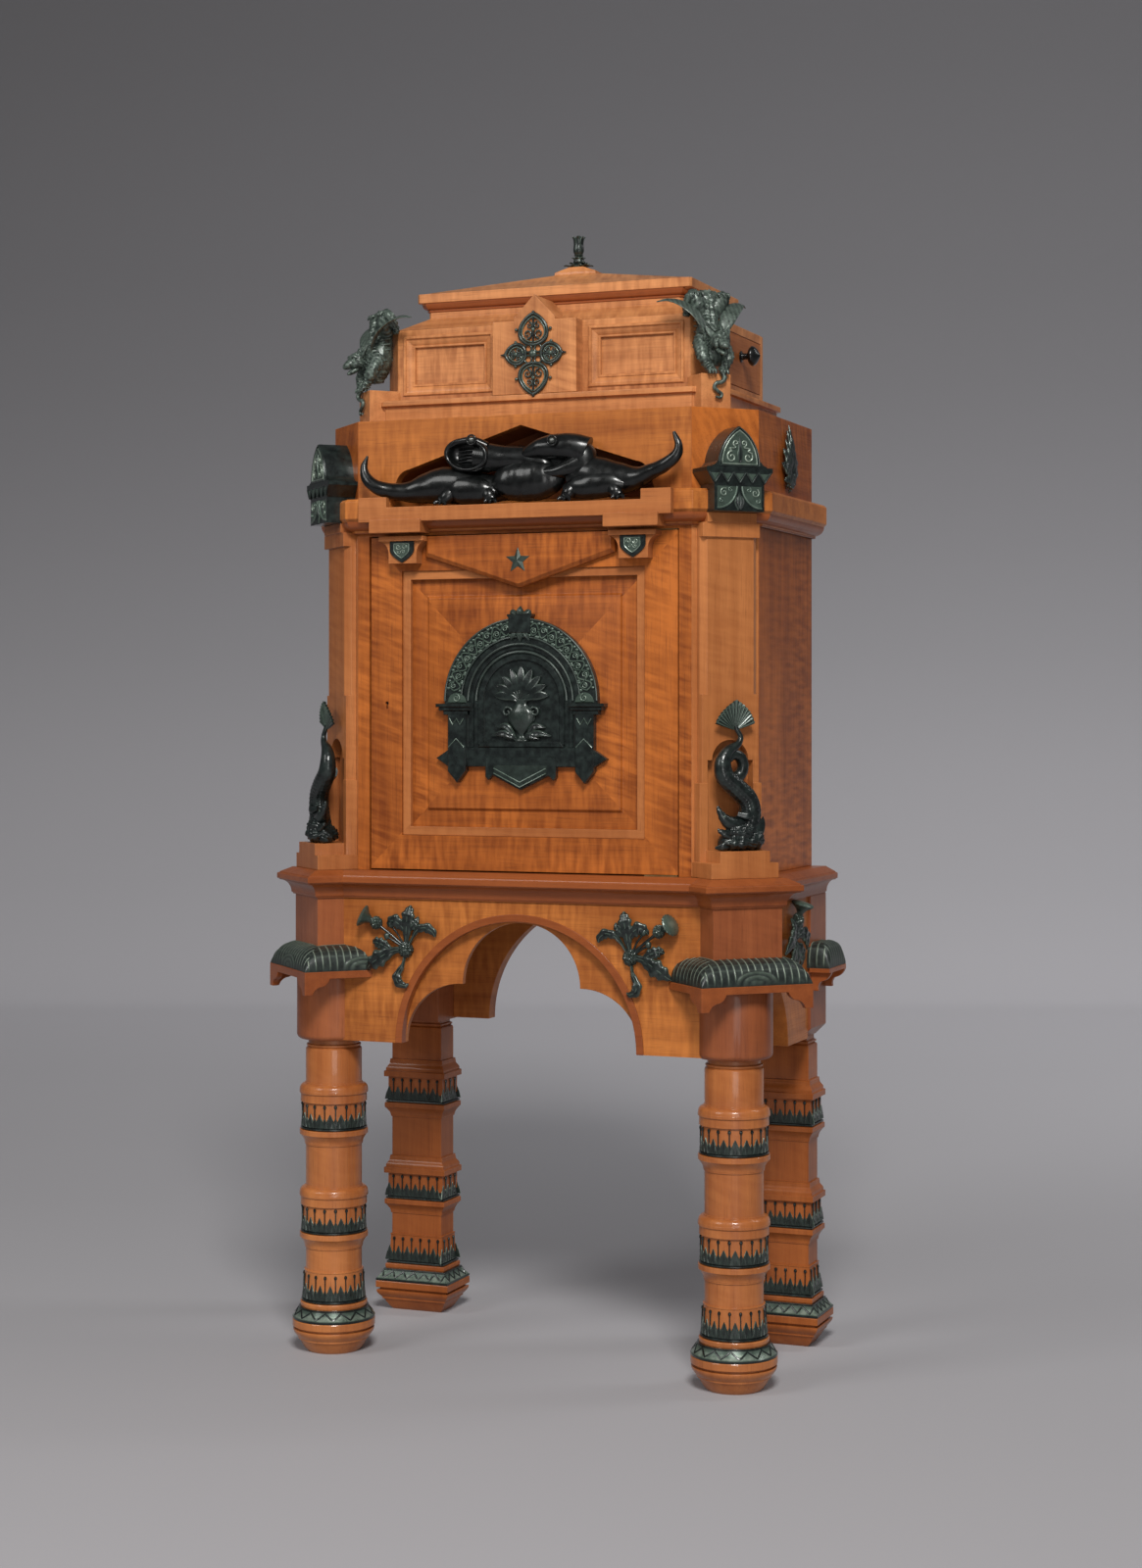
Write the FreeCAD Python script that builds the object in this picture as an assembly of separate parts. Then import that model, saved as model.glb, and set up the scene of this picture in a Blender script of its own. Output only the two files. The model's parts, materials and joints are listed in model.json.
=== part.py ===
import FreeCAD, Part
import math
import os

os.makedirs("parts", exist_ok=True)
Vec = FreeCAD.Vector
ROOT2 = math.sqrt(2.0)

# Cigar cabinet on a stand, in millimetres, Z up, front at -Y.
# The datum line (y = 0) runs under the middle of the roof; depths are counted from it.

# Case
case_half_width = 330.0
case_front = 226.0
case_back = 111.0
case_chamfer = 74.0
case_height = 504.0
wall = 18.0

# Stand plan
stand_side_margin = 18.0
stand_front_margin = 12.0
stand_chamfer = 78.0
apron_thickness = 24.0

# Legs: heights from the floor up, and how far each member stands out from the shaft
leg_radius = 41.0
rear_leg_half_width = 42.0
rear_leg_half_depth = 23.0
rear_leg_from_side = 51.0
rear_leg_from_back = 25.0
sole_out = -1.0
toe_height = 22.0
toe_out = 12.0
quirk = 1.5
swell_rise = 7.0
swell_low_out = 15.5
swell_height = 12.0
swell_out = 19.5
collar_height = 24.0
collar_belly_height = 7.0
collar_top_out = 7.0
ankle_height = 8.0
ankle_out = 8.0
low_band_height = 43.5
low_band_foot_out = 3.5
low_band_top_out = 1.5
low_shaft_height = 34.5
ring_cove_height = 14.0
ring_lip_height = 9.0
ring_out = 7.3
ring_edge_out = 2.0
band_height = 40.0
band_core_out = 4.5
ring_top_lip = 15.0
ring_top_cove = 13.0
mid_shaft_height = 60.0
top_shaft_height = 50.0
neck_height = 14.0
neck_out = -4.0
bronze_skin = 3.0
step_rise = 0.5

# Roundness of small curves, as the rise of the arc over half its chord
ogee_curve = 0.3
shield_curve = 0.35
gothic_curve = 0.25
fin_curve = 0.85

# Corner posts, shelves and cushions of the stand
drum_radius = 54.0
drum_height = 99.0
drum_round = 8.0
post_half_width = 53.0
post_out = 42.0
post_in = 34.0
shelf_thickness = 6.5
shelf_half_width = 85.6
shelf_out = 71.8
bracket_drop = 27.0
bracket_thickness = 9.0
bracket_toe = 12.0
bracket_run = 26.0
bracket_rim = 4.0
rear_post_depth = 81.0
rear_post_in = 52.0
rear_post_proud = 4.0
rear_post_bevel = 16.0
rear_shelf_out = 31.0
rear_shelf_lead = 8.0
cushion_height = 39.0
cushion_profile = ((0.0, 6.0), (0.12, 0.0), (0.45, 0.0), (0.75, 9.0), (0.92, 18.0), (1.0, 27.0))

# Arches of the stand
apron_rise = 2.0
arch_from_side = 158.0
arch_crown = 18.0
arch_moulding_width = 10.5
arch_moulding_proud = 2.0
trefoil_depth = 10.0
trefoil_setback = 13.0
trefoil_top_share = 0.474
trefoil_rise_share = 0.458
trefoil_side_share = 0.458
trefoil_spread_share = 0.49
rear_arch_margin = 6.0
side_arch_radius = 109.0
side_arch_front = 179.0

# Thistle mounts, drawn for one radius of the arch and made to the radius that it has:
# leaves as (length, width, lean), stem and flower as (across, ahead, up, radius)
thistle_drawn_for = 190.0
thistle_across_share = 0.905
thistle_up_share = 0.711
thistle_side_y = -78.0
thistle_knot = 11.0
thistle_leaf_thickness = 8.0
thistle_leaves = ((64.0, 26.0, -4.0), (54.0, 24.0, -62.0), (52.0, 24.0, 160.0), (52.0, 22.0, 112.0))
thistle_stem = ((0.0, -5.0, 0.0, 4.0), (40.0, -6.0, 34.0, 4.0), (58.0, -7.0, 42.0, 7.0))
thistle_flower = ((54.0, -7.0, 40.0, 9.0), (66.0, -7.0, 46.0, 12.0), (80.0, -7.0, 56.0, 17.0))

# Waist board
waist_cove_height = 23.0
waist_edge_height = 8.0
waist_slope_height = 9.0
waist_out = 22.0
waist_foot_out = 3.0
waist_cove_out = 10.0
waist_seat_out = 4.0

# Door
door_stile_width = 18.3
door_thickness = 22.0
door_setback = 2.0
door_edge_gap = 2.2
door_end_gap = 2.0
head_rail_height = 21.0
door_frame_width = 49.0
panel_moulding_width = 12.5
panel_moulding_setback = 3.0
panel_setback = 11.5
panel_thickness = 8.0
panel_tongue = 4.0
field_margin = 24.0
field_rise = 4.5
field_bevel = 3.0
keyhole_from_edge = 25.2
keyhole_radius = 2.6
keyhole_slot_half = 1.3
keyhole_slot_length = 8.0
lock_width = 45.0
lock_height = 68.0
lock_depth = 18.0
bolt_length = 34.0
bolt_thickness = 8.0
bolt_height = 24.0
bolt_fit = 0.4
bolt_rest = 0.5
bolt_front_cover = 5.0
keep_fit = 1.2
keep_depth = 10.5
pivot_inset = 4.0
pivot_radius = 2.0
pivot_fit = 0.05
pivot_plate_length = 46.0
pivot_plate_half = 3.4
pivot_plate_thickness = 3.0
pivot_pin_length = 7.0
pivot_case_plate = 1.5

# Door dressing
pendant_gap = 9.5
pendant_end_drop = 29.0
pendant_point_drop = 76.0
pendant_thickness = 12.0
pendant_bevel = 5.0
bracket_from_edge = 59.0
bracket_half_width = 22.0
bracket_height = 39.0
bracket_out = 20.0
abacus_half_width = 35.0
abacus_height = 7.0
abacus_out = 26.0
shield_half_width = 19.0
shield_height = 31.0
shield_thickness = 4.0
star_radius = 19.0
star_inner = 8.0
star_rise = 4.0
star_drop = 38.0

# Relief plaque on the door
plaque_depth = 11.0
plaque_mid_drop = -3.0
plaque_arch_radius = 118.0
plaque_arch_band = 40.0
plaque_key_half = 17.0
plaque_key_top = 139.0
plaque_impost_half = 133.0
plaque_impost_height = 15.0
plaque_impost_drop = 4.0
plaque_pier_drop = 102.0
plaque_wing_drop = 86.0
plaque_point_drop = 130.0
niche_half_width = 65.0
niche_floor_drop = 61.0
niche_depth = 7.0
tablet_half_width = 58.0
tablet_drop = 112.0
vase_radius = 22.0
vase_height = 54.0
vase_neck = 9.0
vase_lip = 12.5
vase_stem = 6.5
vase_stem_height = 11.0
vase_belly_height = 32.0
vase_neck_height = 48.0
vase_leaf_length = 56.0
vase_leaf_width = 22.0
vase_leaf_angle = 36.0

# Pilasters and niche beasts, measured on the corner faces
pilaster_half_width = 44.0
pilaster_out = 15.8
pilaster_foot_half = 48.0
pilaster_foot_out = 17.0
pilaster_foot_height = 130.0
pilaster_chamfer = 8.0
pilaster_chamfer_start = 253.0
pilaster_chamfer_end = 470.0
pilaster_head_out = 20.0
pilaster_cap_half = 38.0
pilaster_cap_out = 22.0
pilaster_cap_height = 14.0
plinth_low_half = 51.7
plinth_top_half = 38.3
plinth_out = 61.0
plinth_low_height = 21.0
plinth_height = 37.5
niche_hole_half = 35.0
niche_hole_height = 124.0
niche_arch_radius = 28.0
beast_out = 36.0
fan_half_width = 33.0
fan_thickness = 9.0
fan_foot = 164.0
fan_rise = 14.0
fan_ahead = 30.0
rock_levels = ((0.0, 32.0, 20.0), (22.0, 28.0, 16.0), (40.0, 14.0, 10.0))
sea_beast_path = (
    (10.0, 36.0, 20.0, 15.0),
    (20.0, 36.0, 52.0, 15.0),
    (16.0, 36.0, 82.0, 13.0),
    (-8.0, 36.0, 96.0, 12.0),
    (-24.0, 36.0, 112.0, 10.0),
    (-14.0, 36.0, 132.0, 9.0),
    (4.0, 32.0, 140.0, 7.0),
    (8.0, 28.0, 156.0, 5.0),
    (0.0, 26.0, 170.0, 5.0),
)

# Inside of the case
shelf_count = 3
cedar_thickness = 8.0
cedar_gap = 1.0
cedar_setback = 15.0
cleat_height = 10.0
cleat_width = 10.0
cleat_length = 190.0
stop_gap = 1.0

# Cornice and ledge
cornice_out = 23.0
cornice_edge = 4.0
cornice_height = 32.5
cove_height = 17.0
cove_foot_out = 5.0
ledge_proud = 13.0
ledge_from_side = 91.6
ledge_block_width = 44.6
ledge_band_height = 21.0
ledge_drop = 3.0
low_block_proud = 3.0
low_block_inset = 18.4
low_block_width = 81.0
low_block_drop = 19.0

# Attic
attic_height = 114.5
attic_top_thickness = 8.0
opening_from_side = 128.0
opening_knee_in = 7.0
opening_knee_height = 24.0
opening_shoulder_in = 21.0
opening_shoulder_height = 42.0
opening_apex_height = 99.0
recess_depth = 80.0
recess_wall = 5.0
corner_block_half = 38.6
corner_block_out = 20.0
corner_block_abacus_half = 51.0
corner_block_abacus_out = 45.0
corner_block_abacus_height = 23.0
corner_block_arch_half = 33.0
corner_block_arch_height = 57.0
corner_block_shoulder = 20.0
reptile_ahead = 6.0
reptile_foot_ahead = 24.0
reptile_leg = 16.0
reptile_left_trunk = (
    (-226.0, 30.0, 72.0, 3.0),
    (-230.0, 31.0, 54.0, 5.5),
    (-218.0, 31.0, 38.0, 8.0),
    (-186.0, 24.0, 24.0, 10.0),
    (-140.0, 8.0, 20.0, 17.0),
    (-95.0, 6.0, 22.0, 20.0),
    (-40.0, 6.0, 21.0, 20.0),
    (0.0, 8.0, 22.0, 20.0),
    (30.0, 10.0, 30.0, 16.0),
)
reptile_left_neck = (
    (34.0, 10.0, 34.0, 12.0),
    (30.0, 10.0, 50.0, 14.0),
    (8.0, 10.0, 60.0, 13.5),
    (-30.0, 10.0, 62.0, 13.5),
    (-56.0, 12.0, 65.0, 17.0),
    (-82.0, 15.0, 66.0, 20.0),
    (-108.0, 17.0, 63.0, 9.0),
)
reptile_right_trunk = (
    (240.0, 30.0, 86.0, 3.0),
    (247.0, 31.0, 68.0, 5.5),
    (236.0, 31.0, 52.0, 7.0),
    (205.0, 26.0, 42.0, 9.0),
    (172.0, 14.0, 33.0, 13.5),
    (140.0, 8.0, 27.0, 18.0),
    (110.0, 6.0, 26.0, 20.0),
    (86.0, 8.0, 28.0, 16.0),
)
reptile_right_neck = (
    (96.0, 8.0, 34.0, 15.0),
    (99.0, 8.0, 52.0, 17.0),
    (92.0, 10.0, 70.0, 17.0),
    (66.0, 14.0, 79.0, 16.0),
    (38.0, 18.0, 75.0, 12.5),
    (14.0, 21.0, 67.0, 5.0),
)
reptile_right_jaw = ((84.0, 12.0, 56.0, 10.0), (58.0, 16.0, 46.0, 8.0), (30.0, 19.0, 44.0, 5.5))
reptile_left_feet = (-120.0, -72.0)
reptile_right_feet = (142.0, 100.0)
side_ornament_half = 40.0
side_ornament_height = 80.0
side_ornament_thickness = 12.0

# Upper case
upper_side_margin = 76.0
upper_front = 150.0
upper_back = 110.0
upper_chamfer = 26.0
upper_height = 106.0
upper_plinth_height = 26.0
upper_plinth_out = 22.0
upper_moulding_out = 28.0
upper_moulding_height = 9.0
pedestal_half_width = 23.0
pedestal_out = 45.6
pedestal_height = 51.0
wing_length = 58.0
wing_width = 26.0
wing_thickness = 6.0
wing_angle = 66.0
wing_root = (12.0, 17.0, 78.0)
climber_body = (
    (0.0, 55.0, 38.0, 9.0),
    (0.0, 49.0, 52.0, 18.0),
    (0.0, 35.0, 76.0, 20.0),
    (0.0, 25.0, 98.0, 19.0),
    (0.0, 16.0, 114.0, 14.0),
    (0.0, 13.0, 122.0, 6.0),
)
climber_foreleg = ((12.0, 37.0, 66.0, 9.0), (18.0, 45.0, 32.0, 7.0), (12.0, 37.0, 0.0, 7.0))
climber_haunch = ((14.0, 19.0, 104.0, 14.0), (27.0, 23.0, 112.0, 12.0), (30.0, 19.0, 88.0, 7.0))
upper_panel_margin = 12.0
upper_panel_bevel = 13.0
upper_panel_depth = 8.0
centre_half_width = 65.0
centre_out = 26.0
centre_drop = 10.0
centre_gable_half = 32.0
centre_gable_foot = 4.0
centre_point_rise = 37.0
mount_thickness = 4.0
mount_petal_length = 28.0
mount_petal_half = 17.0
mount_band = 6.0
mount_boss = 11.0
mount_height_share = 0.54

# Drawers at the two ends
drawer_front_margin = 54.0
drawer_back_margin = 11.0
drawer_height = 75.0
drawer_from_floor = 18.0
drawer_middle_gap = 14.0
drawer_front = 14.0
drawer_side = 8.0
drawer_bottom = 6.0
drawer_fit = 0.8
knob_height_share = 0.6
knob_stem_radius = 6.0
knob_stem_length = 12.0
knob_radius = 14.5
knob_length = 30.0

# Roof
shoulder_height = 23.0
frieze_side_margin = 54.0
frieze_half_depth = 103.0
frieze_height = 13.0
roof_moulding_height = 9.0
roof_overhang = 15.8
roof_half_depth = 110.0
roof_edge_height = 14.0
roof_corner = 4.0
hip_height = 32.0
ridge_half_width = 33.0
ridge_edge_height = 4.0
ridge_half_depth = 16.0
ridge_block_height = 12.0
finial_seat = 11.0
finial_thickness = 14.0
finial_levels = (
    (24.0, 0.0),
    (24.0, 3.0),
    (9.0, 8.0),
    (8.0, 20.0),
    (12.0, 26.0),
    (8.0, 31.0),
    (10.5, 45.0),
    (4.0, 48.0),
)

# Widths worked out from the sizes above
stand_half_width = case_half_width + stand_side_margin
arch_radius = stand_half_width - arch_from_side
rear_arch_radius = arch_radius - rear_arch_margin
trefoil_top_radius = arch_radius * trefoil_top_share
trefoil_top_rise = arch_radius * trefoil_rise_share
trefoil_side_radius = arch_radius * trefoil_side_share
trefoil_side_x = arch_radius * trefoil_spread_share
thistle_x = arch_radius * thistle_across_share
thistle_scale = arch_radius / thistle_drawn_for

# Heights worked out from the sizes above
toe_z = toe_height
swell_z = toe_z + swell_rise
collar_z = swell_z + swell_height
ankle_z = collar_z + collar_height
low_band_z = ankle_z + ankle_height
low_shaft_z = low_band_z + low_band_height
ring_height = ring_cove_height + ring_lip_height + band_height + ring_top_lip + ring_top_cove
low_ring_z = low_shaft_z + low_shaft_height
high_ring_z = low_ring_z + ring_height + mid_shaft_height
neck_z = high_ring_z + ring_height + top_shaft_height
leg_height = neck_z + neck_height
apron_z = leg_height + apron_rise
shelf_z = leg_height + drum_height
shelf_top = shelf_z + shelf_thickness
thistle_z = apron_z + arch_radius * thistle_up_share
waist_z = apron_z + arch_radius + arch_crown
waist_height = waist_cove_height + waist_edge_height + waist_slope_height
case_z = waist_z + waist_height
cornice_z = case_z + case_height
cove_z = cornice_z - cove_height
attic_z = cornice_z + cornice_height
ledge_z = cornice_z - ledge_drop
ledge_top = ledge_z + ledge_band_height
upper_plinth_z = attic_z + attic_height
upper_z = upper_plinth_z + upper_plinth_height + upper_moulding_height
shoulder_z = upper_z + upper_height
frieze_z = shoulder_z + shoulder_height
roof_z = frieze_z + frieze_height + roof_moulding_height
hip_z = roof_z + roof_edge_height
ridge_z = hip_z + hip_height
finial_z = ridge_z + ridge_block_height

# Plan places worked out from the sizes above
stand_front = case_front + stand_front_margin
leg_centre = (stand_half_width - stand_chamfer / 2, stand_chamfer / 2 - stand_front)
case_corner = (case_half_width - case_chamfer / 2, case_chamfer / 2 - case_front)
upper_half_width = case_half_width - upper_side_margin
upper_corner = (upper_half_width - upper_chamfer / 2, upper_chamfer / 2 - upper_front)
rear_leg_x = stand_half_width - rear_leg_from_side
rear_leg_y = case_back - rear_leg_from_back
rear_post_front = case_back - rear_post_depth
rear_post_side = stand_half_width + rear_post_proud
door_half_width = case_half_width - case_chamfer - door_stile_width - door_edge_gap
door_front = case_front - door_setback
door_back = door_front - door_thickness
door_z = case_z + door_end_gap
head_z = cornice_z - head_rail_height
door_top = head_z - door_end_gap
door_middle = (door_z + door_top) / 2
bracket_x = door_half_width - bracket_from_edge
pendant_half_width = bracket_x - bracket_half_width - pendant_gap
inner_half_width = case_half_width - wall
ledge_half_width = case_half_width - ledge_from_side
ledge_inner_half = ledge_half_width - ledge_block_width
low_block_outer = ledge_half_width - low_block_inset
low_block_inner = low_block_outer - low_block_width
opening_foot_half = case_half_width - opening_from_side
opening_knee_half = opening_foot_half - opening_knee_in
opening_shoulder_half = opening_knee_half - opening_shoulder_in
drawer_start = upper_front - drawer_front_margin
drawer_width = drawer_start + upper_back - drawer_back_margin
drawer_length = upper_half_width - drawer_middle_gap
frieze_half_width = upper_half_width - frieze_side_margin
roof_half_width = frieze_half_width + roof_overhang
front_reach = (shelf_half_width + shelf_out) / ROOT2 - leg_centre[1]
back_reach = rear_leg_y + rear_leg_half_depth + swell_out + bronze_skin
frame_shift = (front_reach - back_reach) / 2


def arc_middle(start, end, bulge):
    """Middle point of the arc from start to end; a bulge of 1 is half a circle to the left."""
    run = end[0] - start[0]
    rise = end[1] - start[1]
    return ((start[0] + end[0] - bulge * rise) / 2, (start[1] + end[1] + bulge * run) / 2)


def wire(points, place):
    """Closed outline; a third value on a point is the bulge of the arc that leads to it."""
    edges = []
    start = points[-1]
    for end in points:
        first = place(start[0], start[1])
        last = place(end[0], end[1])
        if len(end) == 3:
            middle = arc_middle(start, end, end[2])
            edges.append(Part.Arc(first, place(middle[0], middle[1]), last).toShape())
        else:
            edges.append(Part.makeLine(first, last))
        start = end
    return Part.Wire(edges)


def plan_prism(points, z0, z1):
    """Plan outline (x, y) raised from z0 to z1."""
    face = Part.Face(wire(points, lambda a, b: Vec(a, b, z0)))
    return face.extrude(Vec(0, 0, z1 - z0))


def front_board(points, y0, y1):
    """Front outline (x, z) carried from y0 to y1."""
    face = Part.Face(wire(points, lambda a, b: Vec(a, y0, b)))
    return face.extrude(Vec(0, y1 - y0, 0))


def side_board(points, x0, x1):
    """Side outline (y, z) carried from x0 to x1."""
    face = Part.Face(wire(points, lambda a, b: Vec(x0, a, b)))
    return face.extrude(Vec(x1 - x0, 0, 0))


def box(x0, x1, y0, y1, z0, z1):
    """Block between the given limits."""
    return Part.makeBox(x1 - x0, y1 - y0, z1 - z0, Vec(x0, y0, z0))


def turned(points):
    """Outline of radius and height turned about the Z axis."""
    face = Part.Face(wire(points, lambda a, b: Vec(a, 0, b)))
    return face.revolve(Vec(0, 0, 0), Vec(0, 0, 1), 360)


def stacked(sections):
    """Straight-sided solid through plan outlines given as (z, points), from the bottom up."""
    wires = []
    for z, points in sections:
        wires.append(wire(points, lambda a, b, level=z: Vec(a, b, level)))
    return Part.makeLoft(wires, True, True)


def rectangle(half_width, half_depth):
    """Rectangle about the origin."""
    return [
        (-half_width, half_depth),
        (-half_width, -half_depth),
        (half_width, -half_depth),
        (half_width, half_depth),
    ]


def reach(half_width, out, back):
    """Rectangle that stands out in front (-Y) and runs back behind the origin."""
    return [(-half_width, back), (-half_width, -out), (half_width, -out), (half_width, back)]


def hexagon(half_width, front, back, chamfer, offset=0.0):
    """Plan with two chamfered front corners, grown by an offset all round but the back."""
    side = half_width + offset
    near = front + offset
    cut = chamfer + offset * (2 - ROOT2)
    return [
        (-side, back),
        (-side, cut - near),
        (cut - side, -near),
        (side - cut, -near),
        (side, cut - near),
        (side, back),
    ]


def case_plan(offset=0.0, back=case_back):
    """Plan of the case, grown by an offset."""
    return hexagon(case_half_width, case_front, back, case_chamfer, offset)


def stand_plan(offset=0.0):
    """Plan of the stand without its corner posts, grown by an offset."""
    return hexagon(stand_half_width, stand_front, case_back, stand_chamfer, offset)


def upper_plan(offset=0.0):
    """Plan of the upper case, grown by an offset."""
    return hexagon(upper_half_width, upper_front, upper_back, upper_chamfer, offset)


def roof_plan(half_width, half_depth):
    """Plan of the roof with its corners just taken off."""
    return hexagon(half_width, half_depth, half_depth, roof_corner)


def at_corner(shape, centre):
    """Turns a piece made facing -Y to face out of the right front corner."""
    moved = shape.copy()
    moved.rotate(Vec(0, 0, 0), Vec(0, 0, 1), 45)
    moved.translate(Vec(centre[0], centre[1], 0))
    return moved


def at_place(shape, x, y, z=0.0):
    """Copy of a piece moved to a place."""
    moved = shape.copy()
    moved.translate(Vec(x, y, z))
    return moved


def mirrored(shape):
    """The same piece for the left side."""
    return shape.mirror(Vec(0, 0, 0), Vec(1, 0, 0))


def pair(shape):
    """Right piece and left piece."""
    return [shape, mirrored(shape)]


def join(shapes):
    """One solid from several that touch or cross."""
    result = shapes[0]
    for shape in shapes[1:]:
        result = result.fuse(shape)
    return result.removeSplitter()


def fitted(shape, neighbours):
    """A piece less everything that its neighbours take up."""
    for neighbour in neighbours:
        shape = shape.cut(neighbour)
    return shape


def limb(points):
    """Round tapering body through points given as (x, y, z, radius)."""
    rings = []
    last = len(points) - 1
    for index, point in enumerate(points):
        before = points[max(index - 1, 0)]
        after = points[min(index + 1, last)]
        along = Vec(after[0] - before[0], after[1] - before[1], after[2] - before[2])
        centre = Vec(point[0], point[1], point[2])
        rings.append(Part.Wire(Part.Edge(Part.Circle(centre, along, point[3]))))
    return Part.makeLoft(rings, True, True)


def leaf(length, width, thickness, angle=0.0):
    """Pointed leaf standing up from the origin in the XZ plane, tilted by an angle."""
    bulge = width / length
    blade = front_board([(0.0, 0.0, bulge), (0.0, length, bulge)], -thickness, 0.0)
    blade.rotate(Vec(0, 0, 0), Vec(0, 1, 0), angle)
    return blade


def save(name, *shapes):
    """Writes the solids of one piece, moved so that the footprint is centred on the origin."""
    solids = []
    for shape in shapes:
        solids.extend(shape.Solids)
    piece = solids[0] if len(solids) == 1 else Part.makeCompound(solids)
    piece = piece.copy()
    piece.translate(Vec(0, frame_shift, 0))
    piece.exportStep("parts/" + name + ".step")


def ring_levels(z):
    """Wood of one ring of a leg, from its foot at z, as (height, standing out)."""
    lip = z + ring_cove_height
    band = lip + ring_lip_height
    crown = band + band_height
    cove = crown + ring_top_lip
    top = cove + ring_top_cove
    return [
        (z, 0.0),
        (z + step_rise, ring_edge_out),
        (lip, ring_out),
        (band - step_rise, ring_out),
        (band, band_core_out),
        (crown, band_core_out),
        (crown + step_rise, ring_out),
        (cove, ring_out),
        (top - step_rise, ring_edge_out),
        (top, 0.0),
    ]


def leg_levels():
    """Wood of a leg from the floor up, as (height, standing out from the shaft)."""
    foot = [
        (0.0, sole_out),
        (toe_z, toe_out),
        (toe_z + step_rise, toe_out - quirk),
        (swell_z, swell_low_out),
        (collar_z - step_rise, swell_out),
        (collar_z, swell_out - bronze_skin),
        (collar_z + collar_belly_height, swell_out - bronze_skin),
        (ankle_z, collar_top_out),
        (ankle_z + step_rise, ankle_out),
        (low_band_z - step_rise, ankle_out),
        (low_band_z, low_band_foot_out),
        (low_shaft_z, low_band_top_out),
        (low_shaft_z + step_rise, 0.0),
    ]
    top = [(neck_z, 0.0), (neck_z + neck_height / 2, neck_out), (leg_height, neck_out)]
    return foot + ring_levels(low_ring_z) + ring_levels(high_ring_z) + top


def band_levels():
    """Wood under each lotus band, bottom and top, as (height, standing out)."""
    low = ring_cove_height + ring_lip_height
    bands = [[(low_band_z, low_band_foot_out), (low_shaft_z, low_band_top_out)]]
    for z in (low_ring_z + low, high_ring_z + low):
        bands.append([(z, band_core_out), (z + band_height, band_core_out)])
    return bands


def collar_levels():
    """Wood under the zigzag collar, from the bottom up."""
    belly = swell_out - bronze_skin
    return [(collar_z, belly), (collar_z + collar_belly_height, belly), (ankle_z, collar_top_out)]


def round_leg(levels):
    """Turned solid through the levels, on the axis of the right front leg."""
    outline = [(0.0, levels[0][0])]
    for z, out in levels:
        outline.append((leg_radius + out, z))
    outline.append((0.0, levels[-1][0]))
    return at_place(turned(outline), leg_centre[0], leg_centre[1])


def square_leg(levels):
    """Rectangular solid through the levels, on the axis of the right rear leg."""
    sections = []
    for z, out in levels:
        sections.append((z, rectangle(rear_leg_half_width + out, rear_leg_half_depth + out)))
    return at_place(stacked(sections), rear_leg_x, rear_leg_y)


def sleeve(make, levels):
    """Bronze sleeve around the wood of the levels, for either kind of leg."""
    outer = [(z, out + bronze_skin) for z, out in levels]
    return make(outer).cut(make(levels))


def make_legs():
    """Legs with their bronze bands and collars."""
    for name, make in (("front", round_leg), ("rear", square_leg)):
        right, left = pair(make(leg_levels()))
        save("leg_" + name + "_right", right)
        save("leg_" + name + "_left", left)
    bands = []
    collars = []
    for make in (round_leg, square_leg):
        for levels in band_levels():
            bands += pair(sleeve(make, levels))
        collars += pair(sleeve(make, collar_levels()))
    save("lotus_bands", *bands)
    save("zigzag_collars", *collars)


def front_post():
    """Right front corner post: a round drum below the shelf, a square post above."""
    drum = turned([
        (0.0, leg_height),
        (drum_radius - drum_round, leg_height),
        (drum_radius, leg_height + drum_round, 1.0 - ROOT2),
        (drum_radius, shelf_z),
        (0.0, shelf_z),
    ])
    square = plan_prism(reach(post_half_width, post_out, post_in), shelf_z, waist_z)
    return at_corner(join([drum, square]), leg_centre)


def rear_post():
    """Right rear corner post."""
    inner = rear_leg_x - rear_post_in
    outline = [
        (inner, leg_height),
        (rear_post_side - rear_post_bevel, leg_height),
        (rear_post_side, leg_height + rear_post_bevel),
        (rear_post_side, waist_z),
        (inner, waist_z),
    ]
    return front_board(outline, rear_post_front, case_back)


def bracket_outline(half_width, z):
    """Front of a shelf: a thin rim with an ogee drop at each end."""
    low = z - bracket_drop
    knee = half_width - bracket_toe - bracket_run / 2
    knee_z = z - (bracket_drop + bracket_rim) / 2
    end = half_width - bracket_toe - bracket_run
    return [
        (-half_width, z),
        (-half_width, low),
        (bracket_toe - half_width, low),
        (-knee, knee_z, ogee_curve),
        (-end, z - bracket_rim, -ogee_curve),
        (end, z - bracket_rim),
        (knee, knee_z, -ogee_curve),
        (half_width - bracket_toe, low, ogee_curve),
        (half_width, low),
        (half_width, z),
    ]


def front_shelf():
    """Right front shelf with its bracketed rim."""
    plate = plan_prism(reach(shelf_half_width, shelf_out, shelf_out), shelf_z, shelf_top)
    lip = front_board(bracket_outline(shelf_half_width, shelf_z), -shelf_out, bracket_thickness - shelf_out)
    cheek = side_board(bracket_outline(shelf_out, shelf_z), 0.0, bracket_thickness)
    right = at_place(cheek, shelf_half_width - bracket_thickness, 0.0)
    left = at_place(cheek, -shelf_half_width, 0.0)
    return at_corner(join([plate, lip, right, left]), leg_centre)


def rear_shelf():
    """Right rear shelf: a plate on two ogee brackets."""
    outer = rear_post_side + rear_shelf_out
    front = rear_post_front - rear_shelf_lead
    plate = box(rear_post_side, outer, front, case_back, shelf_z, shelf_top)
    low = shelf_z - bracket_drop
    outline = [
        (rear_post_side, shelf_z),
        (rear_post_side, low),
        (rear_post_side + bracket_toe, low),
        ((rear_post_side + outer) / 2, shelf_z - bracket_drop / 2, ogee_curve),
        (outer, shelf_z, -ogee_curve),
    ]
    near = front_board(outline, rear_post_front, rear_post_front + bracket_thickness)
    far = front_board(outline, case_back - bracket_thickness, case_back)
    return join([plate, near, far])


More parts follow.
